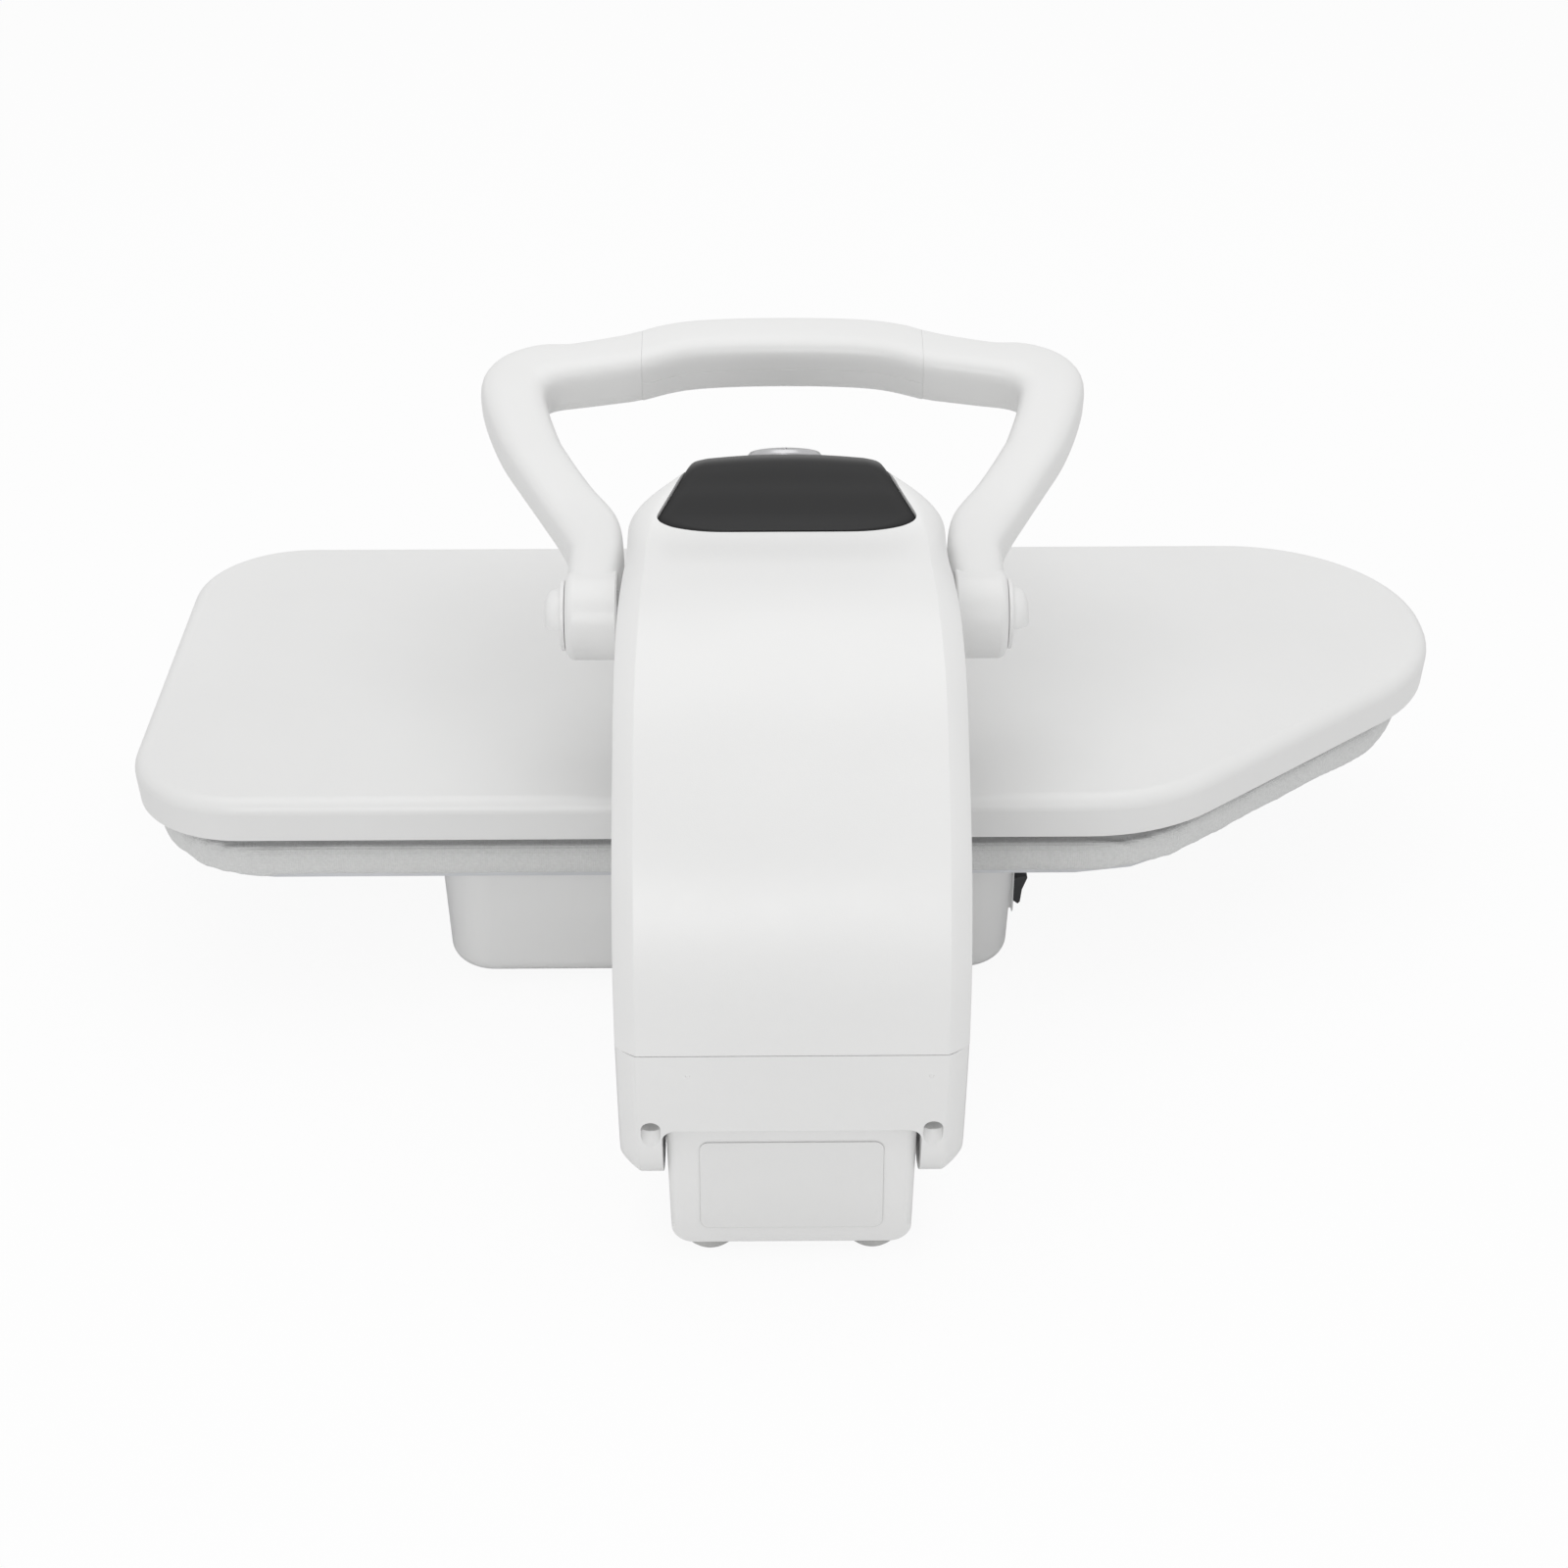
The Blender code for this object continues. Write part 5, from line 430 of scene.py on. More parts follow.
def rectangle(low, high):
    return ((high[0], low[1]), (high[0], high[1]), (low[0], high[1]), (low[0], low[1]))


def round_rectangle(half_u, half_v, radius, u=0, v=0):
    corners = rectangle((u - half_u, v - half_v), (u + half_u, v + half_v))
    return rounded([(*corner, radius) for corner in corners])


def ring_at(outline, inset, height, frame=GROUND):
    return [at(frame, *(point - normal * inset), height) for point, normal in outline]


def stack(levels, outline, frame=GROUND):
    """A solid of an outline drawn in by each level's inset at its height."""
    return loft([ring_at(outline, inset, height, frame) for height, inset in levels])


def circle(sides):
    return [Vector((math.cos(a), math.sin(a))) for a in (2 * math.pi * k / sides for k in range(sides))]


def turned(levels, frame, sides=ROUND_SIDES, closed=False):
    """A turned solid of (height along the axis, radius) levels."""
    rings = [[at(frame, *(point * radius), height) for point in circle(sides)] for height, radius in levels]
    return loft(rings, closed)


def rod(frame, radius, low, high, sides=ROUND_SIDES):
    return turned(((low, radius), (high, radius)), frame, sides)


def prism(outline, low, high, frame):
    """An outline of (u, v) points pushed from low to high along the frame's axis."""
    return loft([[at(frame, u, v, w) for u, v in outline] for w in (low, high)])


def box(low, high):
    return prism(rectangle(low, high), low[2], high[2], GROUND)


def arc(centre, radius, start, end, steps):
    """Points of an arc in degrees, from start to end."""
    points = []
    for k in range(steps + 1):
        angle = math.radians(start + (end - start) * k / steps)
        points.append((centre[0] + radius * math.cos(angle), centre[1] + radius * math.sin(angle)))
    return points


def soften(mesh, width, segments, wanted, fullness=0.5):
    """Bevels the edges whose two ends the test accepts: a fullness of a half is round, of a quarter flat."""
    edges = [edge for edge in mesh.edges if wanted(edge.verts[0].co, edge.verts[1].co)]
    bmesh.ops.bevel(mesh, geom=edges, offset=width, segments=segments, profile=fullness, affect="EDGES")
    return mesh


def curve_through(rows, position):
    """A smooth curve through rows of values, read at a row number with a fraction."""
    last = len(rows) - 1
    k = min(int(position), last - 1)
    t = position - k
    before, first, second, after = rows[max(k - 1, 0)], rows[k], rows[k + 1], rows[min(k + 2, last)]
    values = []
    for a, b, c, d in zip(before, first, second, after):
        bend = (-a + 3 * b - 3 * c + d) * t * t * t + (2 * a - 5 * b + 4 * c - d) * t * t
        values.append(b + (bend + (c - a) * t) / 2)
    return values


def arm_station(row):
    """Outer and inner point, crown and side half widths, and bevel depth of the arm at a row."""
    run, rise, inner_run, inner_rise, crown, side, bevel = curve_through(ARM_ROW_SHARES, row)
    depth = ARM_REAR_Y + ARM_FRONT_Y
    height = ARM_CREST_Z - ARM_SEAM_Z
    outer = Vector((0, run * depth - ARM_FRONT_Y, ARM_SEAM_Z + rise * height))
    inner = Vector((0, inner_run * depth - ARM_FRONT_Y, ARM_SEAM_Z + inner_rise * height))
    return outer, inner, crown * ARM_HALF_X, side * ARM_HALF_X, bevel * ARM_HALF_X


def arm_surface(row):
    """A frame on the arm's crown at a row: u runs to +X, w points out and v completes it."""
    origin = arm_station(row)[0]
    along = (arm_station(row + SLOPE_STEP_SHARE)[0] - arm_station(row - SLOPE_STEP_SHARE)[0]).normalized()
    out = Vector((0, along.z, -along.y))
    return origin, Vector((1, 0, 0)), out.cross(Vector((1, 0, 0))), out


def handle_point(side, across, reach, lift=0.0):
    """A point of the handle's plane: sideways, away from the shaft, and above the plane."""
    tilt = math.radians(HANDLE_TILT)
    out = Vector((0, -math.cos(tilt), math.sin(tilt)))
    up = Vector((0, math.sin(tilt), math.cos(tilt)))
    return Vector((side * across, HANDLE_Y, HANDLE_Z)) + out * reach + up * lift


def board_outline(corner_radius, shoulder_x, nose_x, nose_shoulder_y):
    """The board seen from above, square at its +X end and pointed at the other."""
    corners = (
        (SQUARE_END_X, -FRONT_Y, corner_radius),
        (SQUARE_END_X, REAR_Y, corner_radius),
        (-shoulder_x, REAR_Y, SHOULDER_RADIUS),
        (-nose_x, nose_shoulder_y, NOSE_REAR_RADIUS),
        (-nose_x, -FRONT_Y, NOSE_FRONT_RADIUS),
    )
    return rounded(corners)


BOARD_OUTLINE = board_outline(SQUARE_RADIUS, SHOULDER_X, NOSE_X, NOSE_SHOULDER_Y)
PAD_OUTLINE = board_outline(PAD_CORNER_RADIUS, PAD_SHOULDER_X, PAD_NOSE_X, PAD_NOSE_SHOULDER_Y)
BASE_CORNERS = rectangle((-BASE_LEFT_X, -BASE_FRONT_Y), (BASE_RIGHT_X, BASE_REAR_Y))
BASE_OUTLINE = rounded([(*corner, BASE_CORNER_RADIUS) for corner in BASE_CORNERS])
GLAND = place_on("X", (BASE_RIGHT_X, GLAND_Y, GLAND_Z))
TANK_OUTLET = place_on("Y", (TANK_FILL_X, -TANK_REAR_Y, (TANK_BOTTOM_Z + TANK_TOP_Z) / 2))
HINGE = place_on("X", (0, HINGE_Y, HINGE_Z))
HANDLE_SHAFT = place_on("X", (0, HANDLE_Y, HANDLE_Z))
PLATE_TOP_Z = SKIRT_Z - PLATE_PROUD + PLATE_THICKNESS


def quarter(radius, steps):
    """Insets and drops of a rounded edge, from the side to the top."""
    return [
        (radius * (1 - math.cos(a)), radius * (1 - math.sin(a)))
        for a in (math.pi / 2 * k / steps for k in range(steps + 1))
    ]


def build_shoe_cover():
    inner = [(SKIRT_Z, WALL), (SHOE_TOP_Z - SHOE_EDGE_RADIUS, WALL)]
    inner += [
        (SHOE_TOP_Z - WALL - drop, WALL + inset)
        for inset, drop in quarter(SHOE_EDGE_RADIUS - WALL, SHOE_LINING_STEPS)[1:]
    ]
    outer = [(SKIRT_Z, SKIRT_DRAFT)]
    edge = quarter(SHOE_EDGE_RADIUS, SHOE_EDGE_STEPS)
    outer += [(SHOE_TOP_Z - drop, inset) for inset, drop in edge]
    low = (-SHOE_WINDOW_X, SHOE_PIN_Y - SHOE_WINDOW_Y, PLATE_TOP_Z + LID_THICKNESS)
    high = (SHOE_WINDOW_X, SHOE_PIN_Y + SHOE_WINDOW_Y, SHOE_TOP_Z + OVERRUN)
    make("shoe_cover", stack(inner[::-1] + outer, BOARD_OUTLINE), "shoe", cut=[box(low, high)])


def tank_face_outline(gap):
    middle = (TANK_FACE_TOP_Z + TANK_FACE_BOTTOM_Z) / 2
    half = (TANK_FACE_TOP_Z - TANK_FACE_BOTTOM_Z) / 2
    return round_rectangle(TANK_FACE_HALF_X + gap, half + gap, TANK_FACE_RADIUS + gap, 0, middle)


def frame_passage():
    """The way of the steel frame through the base's rear wall and the post's front wall."""
    half = FRAME_HALF_X + FRAME_PLAY
    low = (-half, BASE_REAR_Y - BASE_BOTTOM_RADIUS * 2, BASE_BOTTOM_Z + FLOOR_THICKNESS)
    high = (half, BASE_REAR_Y + BASE_BOTTOM_RADIUS, BASE_BOTTOM_Z + FRAME_PASS_HEIGHT)
    return box(low, high)


def switch_cutter():
    half_y = SWITCH_WIDTH / 2 + GAP
    half_z = SWITCH_HEIGHT / 2 + GAP
    low = (-BASE_LEFT_X - OVERRUN, SWITCH_Y - half_y, SWITCH_Z - half_z)
    high = (-BASE_LEFT_X + WALL * 3, SWITCH_Y + half_y, SWITCH_Z + half_z)
    return box(low, high)


def build_base_housing():
    bottom_inset = BASE_DRAFT + BASE_BOTTOM_RADIUS
    inner = [
        (BASE_TOP_Z - WALL, WALL),
        (BASE_BOTTOM_Z + BASE_BOTTOM_RADIUS, BASE_DRAFT + WALL),
        (BASE_BOTTOM_Z + FLOOR_THICKNESS, bottom_inset + WALL / 2),
        (BASE_BOTTOM_Z, bottom_inset + WALL / 2),
    ]
    edge = quarter(BASE_BOTTOM_RADIUS, BASE_EDGE_STEPS)[::-1]
    outer = [(BASE_BOTTOM_Z + drop, BASE_DRAFT + inset) for inset, drop in edge]
    levels = inner + outer + [(BASE_TOP_Z, 0)]
    depths = ((-BASE_FRONT_Y - OVERRUN, 0), (-BASE_FRONT_Y + BASE_BOTTOM_RADIUS * 2, 0))
    opening = stack(depths, tank_face_outline(TANK_SIDE_GAP), BACK)
    hole = rod(GLAND, GLAND_RADIUS + GAP, -WALL * 3, OVERRUN)
    cuts = [opening, frame_passage(), switch_cutter(), hole]
    make("base_housing", stack(levels, BASE_OUTLINE), "base", cut=cuts)


def build_feet():
    middle = (BASE_RIGHT_X - BASE_LEFT_X) / 2
    places = {
        "foot_front_left": (middle - FOOT_FRONT_X, -FOOT_FRONT_Y),
        "foot_front_right": (middle + FOOT_FRONT_X, -FOOT_FRONT_Y),
        "foot_rear_left": (-(POST_HALF_X - FOOT_REAR_INSET), POST_REAR_Y - FOOT_REAR_SET_BACK),
        "foot_rear_right": (POST_HALF_X - FOOT_REAR_INSET, POST_REAR_Y - FOOT_REAR_SET_BACK),
    }
    top = BASE_BOTTOM_Z - GAP
    for name, (x, y) in places.items():
        levels = ((0, FOOT_RADIUS - FOOT_FLARE), (FOOT_FLARE, FOOT_RADIUS), (top, FOOT_RADIUS))
        make(name, turned(levels, place_on("Z", (x, y, 0))), "base", "pale_rubber")


def post_profile(inset):
    """Side view of the post: a neck from the base, and the hinge barrel's round top."""
    radius = POST_BARREL_RADIUS - inset
    neck = POST_SHOULDER_Z - inset
    angle = math.degrees(math.asin((neck - HINGE_Z) / radius))
    front = BASE_REAR_Y + GAP + inset
    slope = BASE_DRAFT / (BASE_TOP_Z - BASE_BOTTOM_Z - BASE_BOTTOM_RADIUS)
    foot = front - slope * (BASE_TOP_Z - BASE_BOTTOM_Z)
    points = [(foot, BASE_BOTTOM_Z), (HINGE_Y + radius, BASE_BOTTOM_Z)]
    points += arc((HINGE_Y, HINGE_Z), radius, 0, 180 - angle, POST_BARREL_STEPS)
    points.append((front - slope * (BASE_TOP_Z - neck), neck))
    return points


def build_post():
    def lower_edge(a, b):
        along = abs(a.y - b.y) > WALL and abs(a.z - b.z) < GAP
        return along and a.z < BASE_BOTTOM_Z + GAP

    def rear_edge(a, b):
        same_side = abs(a.x - b.x) < GAP
        above = max(a.z, b.z) > BASE_BOTTOM_Z + GAP
        return same_side and above and min(a.y, b.y) > HINGE_Y - POST_BARREL_RADIUS / 2

    solid = prism(post_profile(0), -POST_HALF_X, POST_HALF_X, SIDE)
    soften(solid, POST_BOTTOM_RADIUS, POST_BOTTOM_STEPS, lower_edge)
    soften(solid, POST_EDGE_RADIUS, POST_EDGE_STEPS, rear_edge)
    for corner in solid.verts:
        share = (POST_SHOULDER_Z - corner.co.z) / (POST_SHOULDER_Z - BASE_BOTTOM_Z)
        corner.co.x *= 1 - POST_DRAFT * max(0, min(1, share))
    hollow = [(y, z if z > BASE_BOTTOM_Z + OVERRUN else z - OVERRUN) for y, z in post_profile(WALL)]
    half = POST_HALF_X - WALL
    inner = prism(hollow, -half, half, SIDE)
    radius = POST_BOTTOM_RADIUS - WALL / 2
    soften(inner, radius, POST_LINING_STEPS, lambda a, b: max(a.z, b.z) < BASE_BOTTOM_Z)
    reach = POST_HALF_X + OVERRUN
    bore = rod(HINGE, HINGE_SHAFT_RADIUS + GAP, -reach, reach)
    half = POST_HALF_X - POST_BOTTOM_RADIUS + GAP
    front = BASE_REAR_Y + WALL * 2 - GAP
    rear = POST_REAR_Y - WALL * 2 + GAP
    floor_seat = box((-half, front, BASE_BOTTOM_Z - OVERRUN), (half, rear, BASE_BOTTOM_Z + FLOOR_THICKNESS))
    make("hinge_post", solid, "base", cut=[inner, floor_seat, frame_passage(), bore])

    half = POST_HALF_X - PLATE_LABEL_MARGIN
    outline = round_rectangle(half, PLATE_LABEL_HEIGHT / 2, PLATE_LABEL_RADIUS, 0, PLATE_LABEL_Z)
    near = POST_REAR_Y + GAP
    levels = ((near, 0), (near + PLATE_LABEL_THICKNESS, 0))
    make("rating_plate", stack(levels, outline, BACK), "base", "label")


def build_switch():
    wall = -BASE_LEFT_X
    frame = (Vector((wall, SWITCH_Y, SWITCH_Z)), Vector((0, 1, 0)), Vector((0, 0, 1)), Vector((-1, 0, 0)))
    half_u = SWITCH_WIDTH / 2
    half_v = SWITCH_HEIGHT / 2
    rim = round_rectangle(half_u + SWITCH_RIM, half_v + SWITCH_RIM, SWITCH_RIM)
    levels = ((GAP, 0), (SWITCH_PROUD / 2, 0), (SWITCH_PROUD, SWITCH_RIM / 2))
    body = prism(rectangle((-half_u, -half_v), (half_u, half_v)), -SWITCH_DEPTH, GAP * 2, frame)
    inner_u = half_u - SWITCH_RIM / 2
    inner_v = half_v - SWITCH_RIM / 2
    outline = rectangle((-inner_u, -inner_v), (inner_u, inner_v))
    well = prism(outline, SWITCH_RIM - SWITCH_DEPTH, SWITCH_PROUD + OVERRUN, frame)
    make("switch_bezel", stack(levels, rim, frame), "base", joined=[body], cut=[well])

    # The rocker's face is a shallow V, tipped so that its upper half stands proud
    half_y = inner_u - ROCKER_WALL_GAP
    dip = (ROCKER_RADIUS * math.cos(math.radians(ROCKER_FACE_ANGLE)) - SWITCH_RIM / 2, 0)
    shape = [(ROCKER_RADIUS, -ROCKER_END_ANGLE), (ROCKER_RADIUS, -ROCKER_FACE_ANGLE), dip]
    shape += [(ROCKER_RADIUS, ROCKER_FACE_ANGLE), (ROCKER_RADIUS, ROCKER_END_ANGLE)]
    shape += [(ROCKER_HUB_RADIUS, angle) for angle in ROCKER_HUB_ANGLES]
    outline = []
    for reach, angle in shape:
        turn = math.radians(angle - ROCKER_TILT)
        depth = wall + ROCKER_PIVOT_DEPTH - reach * math.cos(turn)
        outline.append((depth, SWITCH_Z + reach * math.sin(turn)))
    rings = [[Vector((x, SWITCH_Y + y, z)) for x, z in outline] for y in (-half_y, half_y)]
    make("rocker", loft(rings), "rocker", "black_plastic")


def build_gland():
    levels = (
        (-GLAND_DEPTH, GLAND_BORE_RADIUS),
        (-GLAND_DEPTH, GLAND_RADIUS),
        (GAP, GLAND_RADIUS),
        (GAP, GLAND_COLLAR_RADIUS),
        (GLAND_COLLAR, GLAND_COLLAR_RADIUS),
        (GLAND_PROUD, GLAND_RADIUS),
        (GLAND_PROUD, GLAND_BORE_RADIUS),
    )
    make("cord_gland", turned(levels, GLAND, closed=True), "base", "black_plastic")


def build_tank():
    middle_y = -(BASE_FRONT_Y + TANK_REAR_Y) / 2
    half_y = (BASE_FRONT_Y - TANK_REAR_Y) / 2
    outline = round_rectangle(TANK_HALF_X, half_y, TANK_CORNER_RADIUS, 0, middle_y)
    levels = (
        (TANK_BOTTOM_Z + TANK_WALL, TANK_WALL * 2),
        (TANK_TOP_Z, TANK_WALL),
        (TANK_TOP_Z, 0),
        (TANK_BOTTOM_Z + TANK_WALL, 0),
        (TANK_BOTTOM_Z, TANK_WALL),
    )
    face_levels = (
        (-BASE_FRONT_Y - TANK_FACE_PROUD, TANK_FACE_PROUD),
        (-BASE_FRONT_Y, 0),
        (-BASE_FRONT_Y + TANK_FACE_THICKNESS, 0),
    )
    face = stack(face_levels, tank_face_outline(0), BACK)
    pull_height = TANK_FACE_TOP_Z - TANK_FACE_RADIUS / 2
    pull = place_on("Y", (0, -BASE_FRONT_Y - TANK_FACE_PROUD, pull_height))
    thumb = rod(pull, TANK_PULL_RADIUS, -OVERRUN, TANK_PULL_DEPTH)
    outlet = rod(TANK_OUTLET, TANK_OUTLET_RADIUS, -TANK_WALL / 2, TANK_OUTLET_LENGTH, SMALL_SIDES)
    reach = TANK_OUTLET_LENGTH + OVERRUN
    bore = rod(TANK_OUTLET, TANK_OUTLET_RADIUS / 2, -TANK_WALL * 3, reach, SMALL_SIDES)
    shell = stack(levels[::-1], outline)
    make("water_tank", shell, "tank", "clear_grey", joined=[face, outlet], cut=[thumb, bore])

    levels = ((TANK_TOP_Z + GAP, TANK_WALL / 2), (TANK_TOP_Z + GAP + TANK_LID_THICKNESS, TANK_WALL / 2))
    inner_y = half_y - TANK_FACE_THICKNESS / 2 - GAP
    lid_y = middle_y + TANK_FACE_THICKNESS / 2 + GAP
    lid = round_rectangle(TANK_HALF_X, inner_y, TANK_CORNER_RADIUS, 0, lid_y)
    fill = place_on("Z", (-TANK_FILL_X, middle_y, TANK_TOP_Z))
    hole = rod(fill, TANK_FILL_RADIUS, -OVERRUN, TANK_LID_THICKNESS * 3)
    make("tank_lid", stack(levels, lid), "tank", "clear_grey", cut=[hole])


def bevel_path(crown, side, bevel, lift):
    """Half of the arm's crown section as (half width, depth) points, from the side up to the crown."""
    points = []
    power = 2 / (ARM_BEVEL_POWER_SHARE * (1 - bevel / ARM_HALF_X))
    narrow, broad = ARM_FACET_BEVELS
    flat = min(max((broad - bevel / ARM_HALF_X) / (broad - narrow), 0), 1)
    power += (ARM_FACET_POWER - power) * flat
    for k in range(ARM_BEVEL_STEPS + 1):
        angle = math.pi / 2 * k / ARM_BEVEL_STEPS
        across = crown + (side - crown) * math.cos(angle) ** power
        points.append((across, lift + bevel * (1 - math.sin(angle) ** power)))
    for k in range(CROWN_STEPS, 0, -1):
        points.append((crown * k / (CROWN_STEPS + 1), lift))
    return points


def crown_drop(row, across, depth, crown, split):
    """How far the crown's slight bow brings the skin down, away from the arm's middle and above the split."""
    low, high = CROWN_ARCH_ROWS
    share = min(max((row - low) / (high - low), 0), 1)
    arch = CROWN_ARCH * share * share * (3 - 2 * share)
    return arch * min(across / crown, 1) ** 2 * min(max(1 - depth / split, 0), 1)


def arm_ring(row, path):
    """Both halves of a (half width, depth) path at a row, from +X to -X."""
    outer, inner, crown, *_ = arm_station(row)
    inward = (inner - outer).normalized()
    split = (inner - outer).length * ARM_SPLIT_SHARE
    points = []
    for side, half in ((1, path), (-1, path[::-1])):
        for across, depth in half:
            drop = crown_drop(row, across, depth, crown, split)
            points.append(outer + inward * (depth + drop) + Vector((side * across, 0, 0)))
    return points


def arm_rows(first, last):
    steps = int((last - first) * ARM_STEPS_PER_ROW)
    return [first + (last - first) * k / steps for k in range(steps + 1)]


def outer_cover_ring(row):
    outer, inner, crown, side, bevel = arm_station(row)
    split = (inner - outer).length * ARM_SPLIT_SHARE
    skin = [(side, split), *bevel_path(crown, side, bevel, 0)]
    lining = [(side - ARM_WALL, split), *bevel_path(crown - ARM_WALL / 2, side - ARM_WALL, bevel, ARM_WALL)]
    return arm_ring(row, skin) + arm_ring(row, lining)[::-1]


def inner_cover_ring(row):
    outer, inner, _, side, _ = arm_station(row)
    depth = (inner - outer).length
    split = depth * ARM_SPLIT_SHARE + GAP
    corner = ARM_INNER_CORNER
    skin = [
        (side, split),
        (side, depth - corner),
        (side - corner / 3, depth - corner / 3),
        (side - corner, depth),
    ]
    lining = [
        (side - ARM_WALL, split),
        (side - ARM_WALL, depth - corner),
        (side - ARM_WALL - corner / 4, depth - ARM_WALL - corner / 4),
        (side - corner, depth - ARM_WALL),
    ]
    return arm_ring(row, skin) + arm_ring(row, lining)[::-1]


def panel_shape(grow, out, depth):
    """The control panel's slab, grown by a gap: its near and far ends are rounded."""
    turn = PANEL_ROUND_ROWS_SHARE
    shares = [1 - math.cos(math.pi / 2 * k / PANEL_END_STEPS) for k in range(PANEL_END_STEPS + 1)]
    rows = [(PANEL_REAR_ROW + share * turn, PANEL_REAR_RADIUS, share, 1) for share in shares]
    row = PANEL_REAR_ROW + turn
    while row < PANEL_FRONT_ROW - turn:
        rows.append((row, 0, 1, 1))
        row += 1 / ARM_STEPS_PER_ROW
    rows.append((PANEL_FRONT_ROW - turn, 0, 1, 1))
    for share in shares[::-1]:
        rows.append((PANEL_FRONT_ROW - share * turn, PANEL_FRONT_RADIUS, share, -1))
    rings = []
    for row, radius, share, end in rows:
        side = math.sqrt(1 - (1 - share) ** 2)
        half = curve_through(PANEL_HALF_SHARES, row - PANEL_REAR_ROW)[0] * ARM_HALF_X
        across = half - radius * (1 - side) + grow * (side if radius else 1)
        path = [(across, depth)]
        for inset, drop in quarter(PANEL_ROLL, PANEL_ROLL_STEPS):
            path.append((across - inset, -out + drop * PANEL_ROLL_SHARE))
        middle = across - PANEL_ROLL
        path += [(middle * k / (CROWN_STEPS + 1), -out) for k in range(CROWN_STEPS, 0, -1)]
        outward = arm_surface(row)[2] * end * grow * (1 - share)
        rings.append([point + outward for point in arm_ring(row, path)])
    return loft(rings)


def window_shape(grow, out, depth):
    rings = []
    for k in range(WINDOW_STEPS + 1):
        row = WINDOW_REAR_ROW + (WINDOW_FRONT_ROW - WINDOW_REAR_ROW) * k / WINDOW_STEPS
        end = (k == 0) - (k == WINDOW_STEPS)
        outward = arm_surface(row)[2] * end * grow
        across = WINDOW_HALF_X + grow
        path = [(across, depth)] + [(across * k / CROWN_STEPS, -out) for k in range(CROWN_STEPS, 0, -1)]
        rings.append([point + outward for point in arm_ring(row, path)])
    return loft(rings)


def build_arm_covers():
    rows = arm_rows(0, len(ARM_ROW_SHARES) - 1)
    shell = loft([outer_cover_ring(row) for row in rows], paired=True)
    window = panel_shape(GAP, OVERRUN, ARM_WALL * 3)
    make("arm_rear_cover", shell, "arm", cut=[window])

    shell = loft([inner_cover_ring(row) for row in rows], paired=True)
    hole = rod(HANDLE_SHAFT, HANDLE_SHAFT_RADIUS + GAP, -ARM_HALF_X - OVERRUN, ARM_HALF_X + OVERRUN)
    make("arm_inner_cover", shell, "arm", cut=[hole])


def screw_groove(side):
    """The screwdriver's way to a cover screw: a round-ended groove that runs out downwards."""
    angle = math.radians(GROOVE_TILT)
    along = Vector((0, math.cos(angle), -math.sin(angle)))
    across = Vector((1, 0, 0))
    start = Vector((side * SCREW_X, LOWER_TOE_Y - GROOVE_INSET, SCREW_HOLE_Z))
    frame = (start, across, along.cross(across), along)
    radius = SCREW_HOLE_RADIUS
    levels = [(drop - radius, radius - inset) for inset, drop in quarter(radius, GROOVE_STEPS)[-2::-1]]
    levels.append((GROOVE_LENGTH, radius))
    return turned(levels, frame, SMALL_SIDES)


